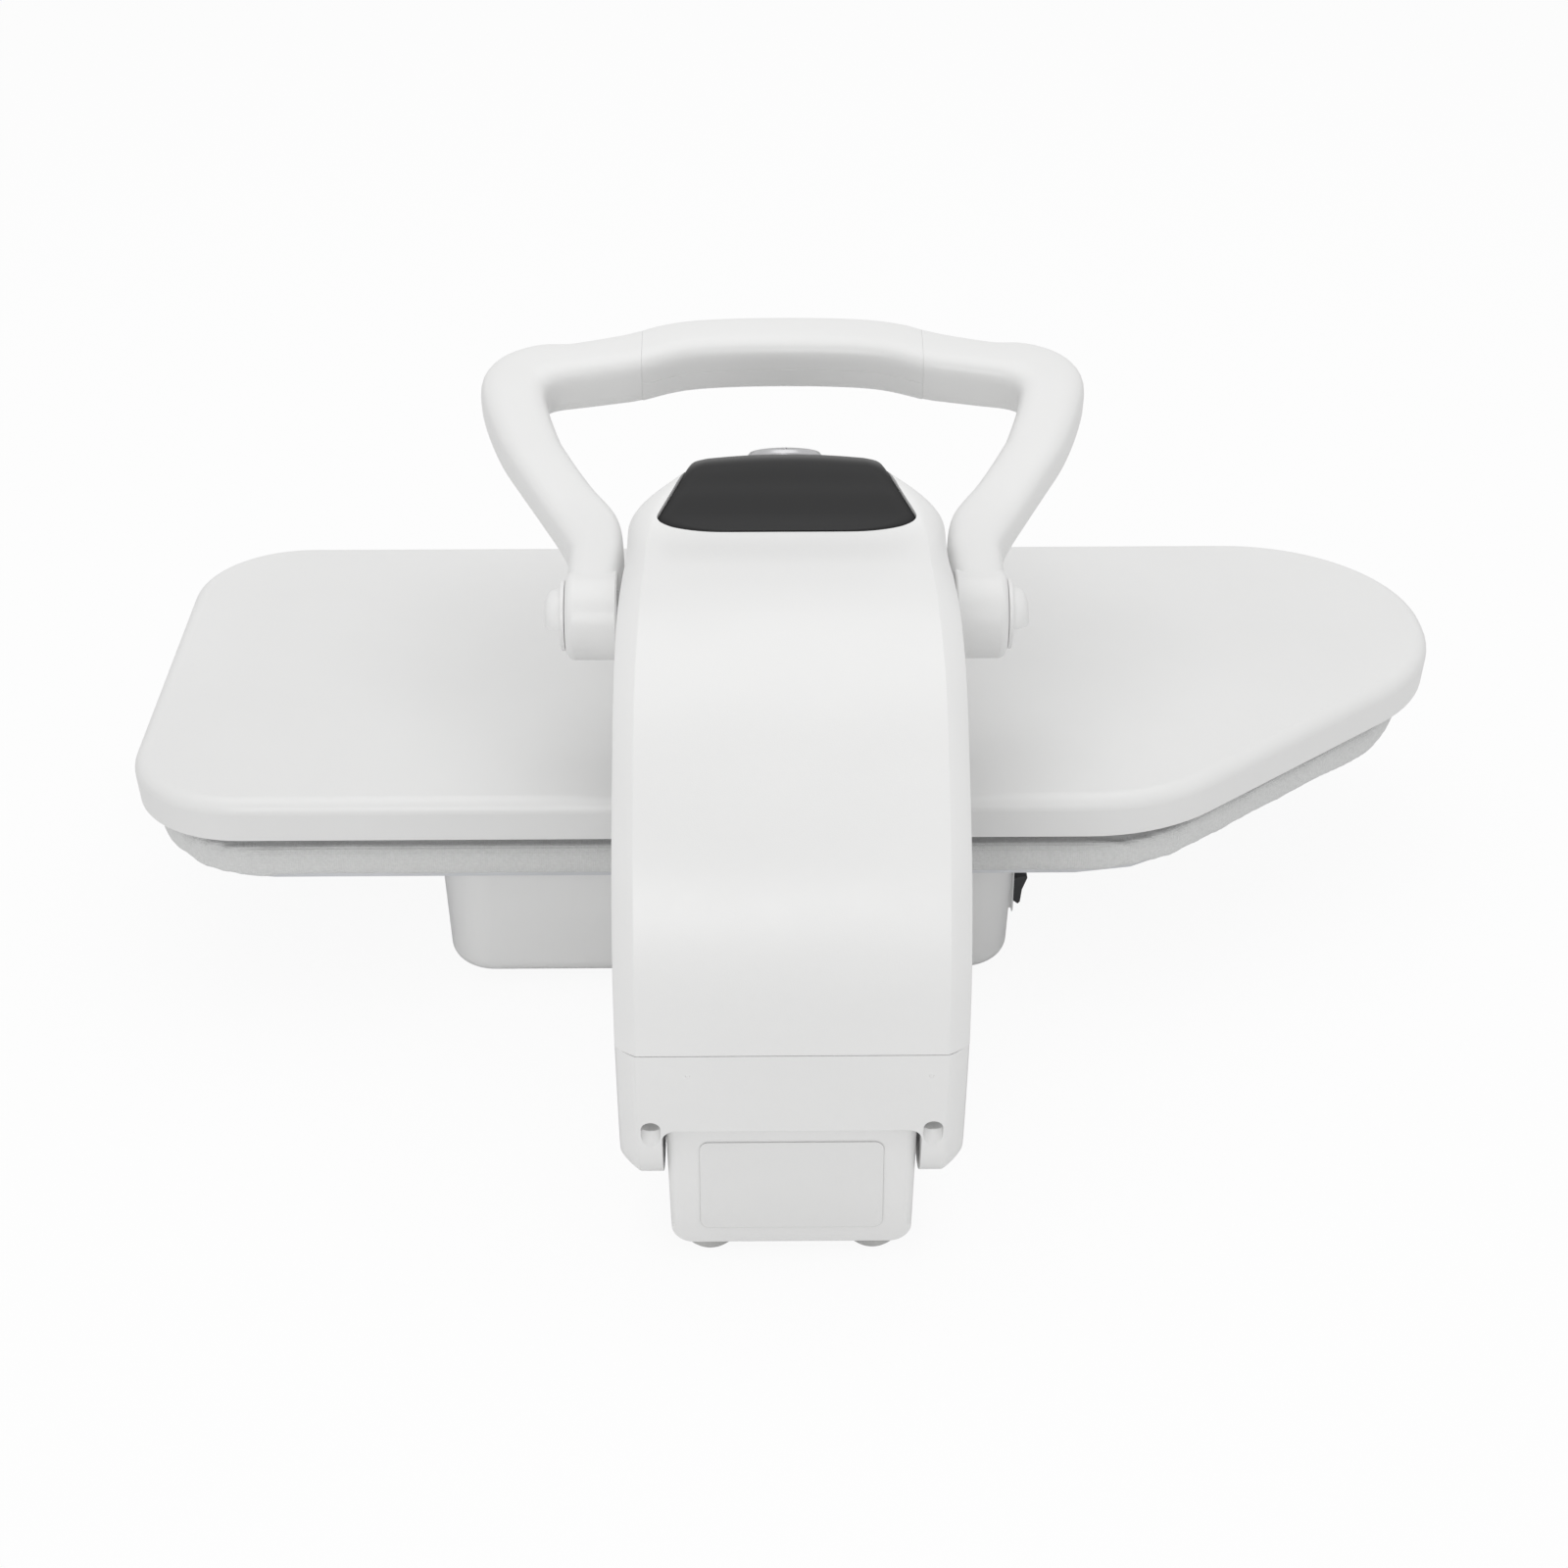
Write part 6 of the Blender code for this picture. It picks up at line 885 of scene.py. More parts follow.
def build_lower_cover():
    seam = ARM_SEAM_Z - GAP
    front_y = arm_station(0)[1].y
    profile = [(front_y, seam), (HINGE_Y - LOBE_RADIUS - WALL, LOBE_FRONT_Z)]
    profile += arc((HINGE_Y, HINGE_Z), LOBE_RADIUS, *LOBE_ARC, LOBE_STEPS)
    profile += [(LOWER_TOE_Y, HINGE_Z), (LOWER_MID_Y, LOWER_MID_Z), (ARM_REAR_Y, seam)]
    solid = prism(profile, -ARM_HALF_X, ARM_HALF_X, SIDE)

    def outer_rim(a, b):
        same_side = abs(a.x - b.x) < GAP and abs(a.x) > ARM_HALF_X - GAP
        rear = min(a.y, b.y) > HINGE_Y - LOBE_RADIUS / 3
        return same_side and rear and not (a.z > seam - GAP and b.z > seam - GAP)

    soften(solid, LOWER_BEVEL, LOWER_BEVEL_STEPS, outer_rim, LOWER_BEVEL_FULLNESS)

    wall = LOWER_WALL
    top = seam + OVERRUN
    low = BASE_BOTTOM_Z
    rear_wall = [(ARM_REAR_Y - wall, top), (ARM_REAR_Y - wall, seam), (LOWER_MID_Y - wall, LOWER_MID_Z)]
    lean = (HINGE_Y - LOBE_RADIUS - WALL - front_y) / (seam - LOBE_FRONT_Z)
    middle = [
        (front_y + wall, top),
        (front_y + wall, seam),
        (front_y + wall + lean * (seam - LOBE_ROOF_Z), LOBE_ROOF_Z),
        (front_y - wall, LOBE_ROOF_Z),
        (front_y - wall, low),
        (LOWER_TOE_Y - wall, low),
        (LOWER_TOE_Y - wall, NOTCH_Z),
        *rear_wall[::-1],
    ]
    hollow = prism(middle[::-1], -LOBE_INNER_X, LOBE_INNER_X, SIDE)
    notch = box((-LOBE_INNER_X, HINGE_Y, low), (LOBE_INNER_X, ARM_REAR_Y + wall, NOTCH_Z))

    def notch_corner(a, b):
        return max(abs(a.z - NOTCH_Z), abs(b.z - NOTCH_Z)) < GAP and a.x * b.x > 0

    soften(notch, NOTCH_RADIUS, NOTCH_STEPS, notch_corner)
    half = ARM_HALF_X - LOWER_BEVEL
    roof = [(front_y + wall, LOBE_ROOF_Z), (front_y + wall, top), *rear_wall[:2]]
    roof.append((ARM_REAR_Y - wall * 2, LOBE_ROOF_Z))
    room = prism(roof, -half, half, SIDE)
    cuts = [hollow, notch, room]
    for side in (-1, 1):
        near, far = sorted((side * EAR_SLOT_INNER_X, side * (ARM_HALF_X - wall * 2)))
        slot = arc((HINGE_Y, HINGE_Z), EAR_SLOT_RADIUS, 180, 360, EAR_SLOT_STEPS)
        slot.append((HINGE_Y + EAR_SLOT_RADIUS, LOBE_ROOF_Z + OVERRUN))
        slot.append((HINGE_Y - EAR_SLOT_RADIUS, LOBE_ROOF_Z + OVERRUN))
        cuts.append(prism(slot, near, far, SIDE))
        frame = place_on("Y", (side * SCREW_X, LOWER_TOE_Y - SCREW_HOLE_DEPTH, SCREW_Z))
        hole = place_on("Y", (side * SCREW_X, LOWER_TOE_Y - SCREW_HOLE_DEPTH, SCREW_HOLE_Z))
        cuts.append(rod(hole, SCREW_HOLE_RADIUS, 0, SCREW_HOLE_DEPTH * 2, SMALL_SIDES))
        cuts.append(rod(frame, SCREW_SHANK_RADIUS + GAP, -SCREW_SHANK_LENGTH - GAP, OVERRUN, SMALL_SIDES))
        cuts.append(screw_groove(side))
    cuts.append(rod(HINGE, BUSH_RADIUS + GAP, -HINGE_SHAFT_HALF - GAP, HINGE_SHAFT_HALF + GAP))
    for x, z in MOULD_MARKS:
        rear = LOWER_MID_Y + (ARM_REAR_Y - LOWER_MID_Y) * (z - LOWER_MID_Z) / (seam - LOWER_MID_Z)
        cuts.append(rod(place_on("Y", (x, rear, z)), MOULD_MARK_RADIUS, -GAP, OVERRUN, SMALL_SIDES))
    make("arm_lower_cover", solid, "arm", cut=cuts)

    for name, side in (("cover_screw_left", -1), ("cover_screw_right", 1)):
        frame = place_on("Y", (side * SCREW_X, LOWER_TOE_Y - SCREW_HOLE_DEPTH + GAP, SCREW_Z))
        levels = (
            (-SCREW_SHANK_LENGTH, SCREW_SHANK_RADIUS / 3),
            (-SCREW_SHANK_LENGTH + SCREW_SHANK_RADIUS, SCREW_SHANK_RADIUS),
            (0, SCREW_SHANK_RADIUS),
            (0, SCREW_HEAD_RADIUS),
            (SCREW_HEAD_HEIGHT / 2, SCREW_HEAD_RADIUS),
            (SCREW_HEAD_HEIGHT, SCREW_HEAD_RADIUS / 2),
        )
        slots = []
        arm = SCREW_HEAD_RADIUS / 2
        half = SCREW_SLOT / 2
        for a, b in ((arm, half), (half, arm)):
            outline = rectangle((-a, -b), (a, b))
            slots.append(prism(outline, SCREW_HEAD_HEIGHT / 2, SCREW_HEAD_HEIGHT + OVERRUN, frame))
        make(name, turned(levels, frame, SMALL_SIDES), "arm", "zinc_steel", cut=slots)


def handle_station(row):
    """The bow at a row: its place in the handle's plane, width and thickness."""
    across, reach, width, thickness = curve_through(HANDLE_ROW_SHARES, row)
    return across * HANDLE_MAX_X, reach * HANDLE_REACH, width * HANDLE_SECTION, thickness * HANDLE_SECTION


def handle_axes(row):
    """Unit directions in the handle's plane: along the bow and across it."""
    last = len(HANDLE_ROW_SHARES) - 1
    near = handle_station(max(row - HANDLE_TURN_STEP_SHARE, 0))
    far = handle_station(min(row + HANDLE_TURN_STEP_SHARE, last))
    along = Vector((far[0] - near[0], far[1] - near[1])).normalized()
    if row >= last:
        along = Vector((-1, 0))
    return along, Vector((along.y, -along.x))


def root_rise(reach):
    """How far a leg's top stands above its even section, so that it runs into the round of its boss."""
    share = min(reach / HANDLE_ROOT_REACH, 1)
    return HANDLE_ROOT_RISE * (1 - share) ** 2 * (1 + 2 * share)


def rounded_section(width, thickness, start, end, steps):
    """Points of a rounded section between two angles in degrees."""
    power = 2 / HANDLE_SECTION_POWER_SHARE
    points = []
    for k in range(steps):
        angle = math.radians(start + (end - start) * k / steps)
        across = math.copysign(abs(math.cos(angle)) ** power, math.cos(angle)) * width / 2
        lift = math.copysign(abs(math.sin(angle)) ** power, math.sin(angle)) * thickness / 2
        points.append((across, lift))
    return points


def handle_rails(rows):
    """The bow's inner and outer edges in its plane, with the inner one eased round the bow's corner."""
    inner, outer = [], []
    for row in rows:
        across, reach, width, _ = handle_station(row)
        _, normal = handle_axes(row)
        inner.append(Vector((across, reach)) - normal * width / 2)
        outer.append(Vector((across, reach)) + normal * width / 2)
    low, high = HANDLE_CORNER_ROWS
    eased = [k for k, row in enumerate(rows) if low < row < high]
    for _ in range(HANDLE_CORNER_PASSES):
        before = list(inner)
        for k in eased:
            inner[k] = (before[k - 1] + before[k] * 2 + before[k + 1]) / 4
    return list(zip(inner, outer))


def handle_ring(rail, thickness, start, end, steps, wall=0.0):
    """Part of a rounded section between the bow's edges, as points of (place, lift)."""
    inner, outer = rail
    middle = (inner + outer) / 2
    width = (outer - inner).length
    reach = (outer - inner) / width
    along = Vector((reach.y, -reach.x))
    square = max(0, 1 - abs(middle.x - HANDLE_SEAM_X) / HANDLE_SQUARE_REACH)
    points = []
    for u, v in rounded_section(width - 2 * wall, thickness - 2 * wall, start, end, steps):
        place = middle + reach * u
        if square:
            place += along * ((middle.x - place.x) / along.x * square)
        points.append((place, v))
    return points


def seam_row():
    """The row at which the bow crosses the seam between leg and grip."""
    low, high = 0.0, float(len(HANDLE_ROW_SHARES) - 1)
    for _ in range(HANDLE_SEAM_HALVINGS):
        middle = (low + high) / 2
        if handle_station(middle)[0] > HANDLE_SEAM_X or middle < len(HANDLE_ROW_SHARES) / 2:
            low = middle
        else:
            high = middle
    return low


def pressed_flat(ring, x):
    return [Vector((x, point.y, point.z)) for point in ring]


def build_handle():
    seam = seam_row()
    whole = int(seam)
    rows = [k / HANDLE_STEPS_PER_ROW for k in range(whole * HANDLE_STEPS_PER_ROW)] + [seam]
    rails = handle_rails(rows)
    for name, side in (("handle_leg_left", -1), ("handle_leg_right", 1)):
        rings = []
        for row, rail in zip(rows, rails):
            _, reach, _, thickness = handle_station(row)
            rise = root_rise(reach)
            section = handle_ring(rail, thickness + rise, 0, 360, HANDLE_SECTION_SIDES)
            ring = [handle_point(side, place.x, place.y, lift + rise / 2) for place, lift in section]
            if row == rows[-1]:
                ring = pressed_flat(ring, side * (HANDLE_SEAM_X + HANDLE_SEAM_GAP))
            rings.append(ring)
        chamfer = HANDLE_BOSS_CHAMFER
        levels = [
            (side * HANDLE_BOSS_INNER_X, HANDLE_BOSS_RADIUS - chamfer),
            (side * (HANDLE_BOSS_INNER_X + chamfer), HANDLE_BOSS_RADIUS),
        ]
        for inset, drop in quarter(HANDLE_BOSS_EDGE, HANDLE_BOSS_STEPS):
            levels.append((side * (HANDLE_BOSS_OUTER_X - drop), HANDLE_BOSS_RADIUS - inset))
        boss = turned(levels, HANDLE_SHAFT)
        end = side * (HANDLE_SHAFT_HALF + GAP)
        start = side * (HANDLE_BOSS_INNER_X - OVERRUN)
        bore = rod(HANDLE_SHAFT, HANDLE_SHAFT_RADIUS + RUNNING_GAP, *sorted((start, end)))
        start = side * (HANDLE_BOSS_OUTER_X - KNOB_STEM_LENGTH - GAP)
        end = side * (HANDLE_BOSS_OUTER_X + OVERRUN)
        stem = rod(HANDLE_SHAFT, KNOB_STEM_RADIUS + RUNNING_GAP, *sorted((start, end)))
        leg = loft(rings)
        make(name, leg, "handle", joined=[boss], cut=[bore, stem], width=HANDLE_EDGE_ROUND)

    last = len(HANDLE_ROW_SHARES) - 1
    grip_rows = [seam + (last - seam) * k / GRIP_STATIONS for k in range(GRIP_STATIONS + 1)]
    rails = handle_rails(grip_rows)
    lift = HANDLE_SEAM_GAP / 2
    halves = (("grip_upper", 0, lift, 0), ("grip_lower", 180, -lift, GRIP_LEDGE))
    for name, start, lift, ledge in halves:
        half = []
        for row, rail in zip(grip_rows, rails):
            paths = []
            for wall in (-ledge, GRIP_WALL):
                thickness = handle_station(row)[3]
                path = handle_ring(rail, thickness, start, start + 180, GRIP_SIDES, wall)
                paths.append(path + handle_ring(rail, thickness, start + 180, start + 181, 1, wall))
            half.append(paths[0] + paths[1][::-1])
        rings = []
        for side, order in ((-1, half), (1, half[-2::-1])):
            for section in order:
                ring = [handle_point(side, place.x, place.y, rise + lift) for place, rise in section]
                if section is half[0]:
                    ring = pressed_flat(ring, side * HANDLE_SEAM_X)
                rings.append(ring)
        make(name, loft(rings, paired=True), "handle", width=HANDLE_EDGE_ROUND)


def build_lock_knobs():
    for name, body, side in (("lock_knob_left", "lock_left", -1), ("lock_knob_right", "lock_right", 1)):
        frame = place_on("X", (side * HANDLE_BOSS_OUTER_X, HANDLE_Y, HANDLE_Z))
        if side < 0:
            frame = flip(frame)
        top = GAP + KNOB_THICKNESS
        levels = (
            (-KNOB_STEM_LENGTH, KNOB_STEM_RADIUS),
            (GAP, KNOB_STEM_RADIUS),
            (GAP, KNOB_RADIUS),
            (top - KNOB_EDGE, KNOB_RADIUS),
            (top, KNOB_RADIUS - KNOB_EDGE),
        )
        rings = []
        for k in range(KNOB_DOME_STEPS):
            angle = math.pi / 2 * k / KNOB_DOME_STEPS
            spread = math.cos(angle) ** KNOB_DOME_POWER
            outline = arc((0, KNOB_LUG_FLAT), KNOB_LUG_RADIUS * spread, 0, 180, KNOB_LUG_STEPS)
            height = top - KNOB_THICKNESS / 2 + (KNOB_LUG_HEIGHT + KNOB_THICKNESS / 2) * math.sin(angle)
            rings.append([at(frame, u, v, height) for u, v in outline])
        make(name, turned(levels, frame), body, joined=[loft(rings)])


def button_frame(side):
    frame = arm_surface(BUTTON_ROW)
    return (at(frame, side * BUTTON_X, 0, 0), *frame[1:])


def build_panel():
    dial = arm_surface(DIAL_ROW)
    holes = [rod(dial, DIAL_STEM_RADIUS + GAP, -PANEL_THICKNESS * 3, OVERRUN, SMALL_SIDES)]
    for side in (-1, 1):
        holes.append(rod(button_frame(side), BUTTON_RADIUS + GAP, -PANEL_THICKNESS * 3, OVERRUN))
    holes.append(window_shape(GAP, OVERRUN, PANEL_THICKNESS * 2))
    make("control_panel", panel_shape(0, PANEL_PROUD, PANEL_THICKNESS), "arm", "black_gloss", cut=holes)
    make("display_window", window_shape(0, PANEL_PROUD, WINDOW_THICKNESS), "arm", "black_gloss")

    base = PANEL_PROUD + DIAL_LIFT
    top = base + DIAL_HEIGHT
    flat = DIAL_RADIUS - DIAL_EDGE
    levels = [
        (-PANEL_THICKNESS - GAP * 4, DIAL_STEM_RADIUS),
        (base, DIAL_STEM_RADIUS),
        (base, DIAL_RADIUS),
        (top - DIAL_EDGE, DIAL_RADIUS),
        (top, flat),
    ]
    for k in range(1, DIAL_DOME_STEPS):
        angle = math.pi / 2 * k / DIAL_DOME_STEPS
        levels.append((top + DIAL_DOME * math.sin(angle), flat * math.cos(angle)))
    reach = DIAL_RADIUS - DIAL_EDGE * 2
    line = DIAL_POINTER_HALF
    start = reach - DIAL_POINTER_LENGTH
    mark = rectangle((-line, start), (line, reach))
    slot = prism(mark, top - DIAL_POINTER_DEPTH, top + DIAL_DOME + OVERRUN, dial)
    make("dial", turned(levels, dial), "dial", "silver", cut=[slot])

    for name, side in (("power_button", 1), ("steam_button", -1)):
        top = PANEL_PROUD + BUTTON_PROUD
        levels = (
            (-BUTTON_DEPTH, BUTTON_RADIUS),
            (top - BUTTON_EDGE, BUTTON_RADIUS),
            (top, BUTTON_RADIUS - BUTTON_EDGE),
        )
        make(name, turned(levels, button_frame(side)), name, "silver")


# Finish of the pieces

PLACE = Vector((BASE_LEFT_X, BASE_FRONT_Y, 0)) + Vector((*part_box("base_housing")[0].xy, 0))
EDGE_ROUND = 0.00022
SHARP_ANGLE = 38.0


def add_object(name, mesh):
    """A scene object that owns the bmesh's form."""
    data = bpy.data.meshes.new(name)
    mesh.to_mesh(data)
    mesh.free()
    piece = bpy.data.objects.new(name, data)
    bpy.context.scene.collection.objects.link(piece)
    return piece


def settle(piece):
    """Puts what the piece's modifiers give into its own mesh."""
    graph = bpy.context.evaluated_depsgraph_get()
    data = bpy.data.meshes.new_from_object(piece.evaluated_get(graph), depsgraph=graph)
    piece.modifiers.clear()
    piece.data = data


def combine(piece, shapes, operation):
    for shape in shapes:
        helper = add_object("helper", shape)
        step = piece.modifiers.new("combine", "BOOLEAN")
        step.operation = operation
        step.solver = "EXACT"
        step.object = helper
        settle(piece)
        bpy.data.objects.remove(helper)


def finish_edges(piece, width):
    if width:
        edge = piece.modifiers.new("edges", "BEVEL")
        edge.width = width
        edge.segments = 2
        edge.limit_method = "ANGLE"
        edge.angle_limit = math.radians(SHARP_ANGLE)
        edge.use_clamp_overlap = False
        settle(piece)
    piece.data.shade_smooth()
    piece.data.set_sharp_from_angle(angle=math.radians(SHARP_ANGLE))
    piece.modifiers.new("normals", "WEIGHTED_NORMAL").keep_sharp = True


def dress(piece, look):
    piece.data.materials.clear()
    piece.data.materials.append(LOOKS[look])


def stand_for(piece, node, body, look):
    """Puts a finished piece in a node's place, on its body."""
    dress(piece, look)
    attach(piece, body)
    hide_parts(node)


def make(node, mesh, body, look="white_plastic", joined=(), cut=(), width=EDGE_ROUND):
    """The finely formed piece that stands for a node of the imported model."""
    piece = add_object(f"{node}_skin", mesh)
    combine(piece, joined, "UNION")
    combine(piece, cut, "DIFFERENCE")
    piece.data.transform(Matrix.Translation(PLACE))
    finish_edges(piece, width)
    stand_for(piece, node, body, look)


# Materials

def node_in(tree, kind, inputs=(), **settings):
    """A shader node with its settings, and its inputs as (socket, value or output) pairs."""
    made = tree.nodes.new(kind)
    for key, value in settings.items():
        setattr(made, key, value)
    for socket, value in inputs:
        if isinstance(value, bpy.types.NodeSocket):
            tree.links.new(value, made.inputs[socket])
        else:
            made.inputs[socket].default_value = value
    return made


def calculated(tree, operation, first, second):
    return node_in(tree, "ShaderNodeMath", ((0, first), (1, second)), operation=operation).outputs[0]


def shade(colour, factor):
    return tuple(min(1.0, part * factor) for part in colour)


class Look:
    """A material whose patterns lie in object space, so that they stay on a piece as it moves."""

    def __init__(self, name, roughness, metallic=0.0, specular=0.5):
        self.material = bpy.data.materials.new(f"{name}_look")
        self.material.use_nodes = True
        self.tree = self.material.node_tree
        self.inputs = self.tree.nodes["Principled BSDF"].inputs
        self.inputs["Roughness"].default_value = roughness
        self.inputs["Metallic"].default_value = metallic
        self.inputs["Specular IOR Level"].default_value = specular
        self.place = self.tree.nodes.new("ShaderNodeTexCoord").outputs["Object"]

    def node(self, kind, inputs=(), **settings):
        return node_in(self.tree, kind, inputs, **settings)

    def noise(self, scale, detail=3.0, stretch=None):
        place = self.place
        if stretch:
            place = self.node("ShaderNodeMapping", (("Vector", place), ("Scale", stretch))).outputs["Vector"]
        inputs = (("Vector", place), ("Scale", scale), ("Detail", detail))
        return self.node("ShaderNodeTexNoise", inputs).outputs["Fac"]

    def wave(self, pitch, direction):
        inputs = [("Vector", self.place), ("Scale", math.pi / 10 / pitch)]
        inputs += [("Distortion", 0.6), ("Detail", 1.0), ("Detail Scale", 2.0)]
        return self.node("ShaderNodeTexWave", inputs, bands_direction=direction).outputs["Fac"]

    def ranged(self, value, low, high, start=0.3, end=0.7):
        inputs = (("Value", value), ("From Min", start), ("From Max", end), ("To Min", low), ("To Max", high))
        return self.node("ShaderNodeMapRange", inputs).outputs["Result"]

    def added(self, first, second):
        return calculated(self.tree, "ADD", first, second)

    def blended(self, factor, first, second):
        """A colour between two: each is a triple or an output."""
        inputs = [(0, factor)]
        for socket, colour in ((6, first), (7, second)):
            inputs.append((socket, colour if isinstance(colour, bpy.types.NodeSocket) else (*colour, 1)))
        return self.node("ShaderNodeMix", inputs, data_type="RGBA").outputs[2]

    def mottled(self, pattern, colour, low, high):
        """A colour that a pattern shades between two factors."""
        return self.blended(self.ranged(pattern, 0.0, 1.0), shade(colour, low), shade(colour, high))

    def worn(self, colour, tone, amount):
        """Lets a lighter or darker tone through where the surface turns sharply outwards."""
        sharp = self.node("ShaderNodeNewGeometry").outputs["Pointiness"]
        return self.blended(self.ranged(sharp, 0.0, amount, 0.52, 0.60), colour, tone)

    def bump(self, height, depth, strength=1.0):
        normal = self.inputs["Normal"]
        inputs = [("Height", height), ("Distance", depth), ("Strength", strength)]
        if normal.links:
            inputs.append(("Normal", normal.links[0].from_socket))
        self.tree.links.new(self.node("ShaderNodeBump", inputs).outputs["Normal"], normal)

    def finish(self, tone, roughness):
        self.tree.links.new(tone, self.inputs["Base Color"])
        self.tree.links.new(roughness, self.inputs["Roughness"])
        return self.material


def plastic(name, colour, roughness, grain, depth, wear=0.12, specular=0.5):
    """Moulded plastic: faint flow marks, a spark-eroded grain, hairline rubs and slightly polished edges."""
    look = Look(name, roughness, specular=specular)
    tone = look.mottled(look.noise(5.0, 4.0, (1, 1, 2.5)), colour, 0.975, 1.02)
    rub = look.noise(3.0, 6.0, (30, 260, 160))
    patch = look.ranged(look.noise(38.0, 5.0), roughness - 0.02, roughness + 0.03)
    look.bump(look.noise(grain, 2.0), depth)
    look.bump(rub, depth / 12)
    level = look.added(patch, look.ranged(rub, 0.0, 0.01, 0.55, 0.95))
    return look.finish(look.worn(tone, shade(colour, 1.12), wear), level)


def metal(name, colour, roughness, brush, depth):
    """Bare metal: a drawn or cast grain, cloudy tarnish and brighter edges."""
    look = Look(name, roughness, metallic=1.0)
    tone = look.mottled(look.noise(22.0, 6.0), colour, 0.86, 1.06)
    grain = look.noise(1.0, 4.0, brush)
    look.bump(grain, depth)
    level = look.ranged(grain, roughness - 0.08, roughness + 0.12)
    return look.finish(look.worn(tone, shade(colour, 1.25), 0.5), level)


def turned_metal(name, colour, roughness, origin, axis):
    """Metal faced on a lathe: fine rings round an axis."""
    look = Look(name, roughness, metallic=1.0)
    reach = look.place
    for operation, other in (("SUBTRACT", origin), ("CROSS_PRODUCT", axis)):
        reach = look.node("ShaderNodeVectorMath", ((0, reach), (1, other)), operation=operation).outputs[0]
    reach = look.node("ShaderNodeVectorMath", ((0, reach),), operation="LENGTH").outputs["Value"]
    inputs = (("W", reach), ("Scale", 5200.0), ("Detail", 3.0))
    rings = look.node("ShaderNodeTexNoise", inputs, noise_dimensions="1D").outputs["Fac"]
    tone = look.mottled(look.noise(60.0, 5.0), colour, 0.93, 1.05)
    look.bump(rings, 0.00002)
    level = look.ranged(rings, roughness - 0.06, roughness + 0.12)
    return look.finish(look.worn(tone, shade(colour, 1.2), 0.6), level)


def rubber(name, colour):
    look = Look(name, 0.78, specular=0.35)
    dust = look.noise(90.0, 6.0)
    look.bump(look.noise(1500.0, 3.0), 0.00006)
    return look.finish(look.mottled(dust, colour, 0.88, 1.06), look.ranged(dust, 0.70, 0.88))


def cloth(name, colour):
    """Plain woven cotton in a padded cover: yarns both ways, slubs, lint and soft creases."""
    look = Look(name, 0.92, specular=0.2)
    look.inputs["Sheen Weight"].default_value = 0.25
    look.inputs["Sheen Roughness"].default_value = 0.6
    slub = look.noise(1.0, 3.0, (40, 400, 400))
    lint = look.noise(700.0, 4.0)
    crease = look.noise(26.0, 3.0, (1, 1, 0.4))
    yarns = look.added(look.wave(YARN_PITCH, "X"), look.wave(YARN_PITCH, "Y"))
    yarns = look.added(yarns, look.wave(YARN_PITCH, "Z"))
    tone = look.mottled(lint, colour, 0.93, 1.05)
    tone = look.blended(look.ranged(yarns, 0.0, 0.16, 0.6, 1.5), tone, shade(colour, 1.16))
    tone = look.blended(look.ranged(slub, 0.0, 0.10, 0.6, 0.75), tone, shade(colour, 0.82))
    for height, depth, strength in ((yarns, 0.00012, 0.7), (lint, 0.00008, 0.5), (crease, 0.0006, 0.5)):
        look.bump(height, depth, strength)
    return look.finish(tone, look.ranged(lint, 0.86, 0.98))


def clear_plastic(name, colour):
    """Smoky clear plastic of the tank, with a light frost and fine scratches."""
    look = Look(name, 0.14)
    look.inputs["Transmission Weight"].default_value = 0.86
    look.inputs["IOR"].default_value = 1.49
    haze = look.noise(30.0, 5.0)
    look.bump(look.noise(1.0, 3.0, (40, 900, 500)), 0.00002)
    return look.finish(look.mottled(haze, colour, 0.94, 1.0), look.ranged(haze, 0.08, 0.22))


def circuit(name, colour):
    """Solder mask over copper: square traces show as a lighter green."""
    look = Look(name, 0.34)
    inputs = (("Vector", look.place), ("Scale", 260.0))
    cells = look.node("ShaderNodeTexVoronoi", inputs, distance="CHEBYCHEV").outputs["Distance"]
    tone = look.blended(look.ranged(cells, 0.0, 1.0, 0.42, 0.46), colour, shade(colour, 2.1))
    look.bump(cells, 0.00003)
    return look.finish(tone, look.ranged(cells, 0.28, 0.42))


YARN_PITCH = 0.0011
DIAL_AXIS = arm_surface(DIAL_ROW)
LOOKS = {
    name: kind(name, *facts)
    for name, kind, *facts in (
        ("white_plastic", plastic, (0.800, 0.800, 0.795), 0.34, 2300.0, 0.000035, 0.02),
        ("black_gloss", plastic, (0.015, 0.015, 0.0155), 0.34, 2600.0, 0.00002, 0.02, 0.18),
        ("black_plastic", plastic, (0.028, 0.028, 0.030), 0.42, 1900.0, 0.00004),
        ("silver", turned_metal, (0.46, 0.46, 0.47), 0.26, DIAL_AXIS[0] + PLACE, DIAL_AXIS[3]),
        ("zinc_steel", metal, (0.62, 0.63, 0.65), 0.36, (60, 900, 900), 0.00003),
        ("cast_aluminium", metal, (0.66, 0.66, 0.67), 0.42, (420, 420, 420), 0.00006),
        ("spring_steel", metal, (0.42, 0.43, 0.45), 0.32, (700, 700, 90), 0.00002),
        ("bronze", metal, (0.62, 0.42, 0.22), 0.44, (500, 500, 500), 0.00005),
        ("brass", metal, (0.76, 0.60, 0.30), 0.30, (500, 500, 90), 0.00003),
        ("pale_rubber", rubber, (0.52, 0.52, 0.51)),
        ("grey_cloth", cloth, (0.68, 0.685, 0.68)),
        ("clear_grey", clear_plastic, (0.80, 0.84, 0.87)),
        ("board_green", circuit, (0.030, 0.150, 0.060)),
        ("label", plastic, (0.77, 0.77, 0.765), 0.46, 900.0, 0.00002, 0.05),
    )
}


# Padded cover of the board

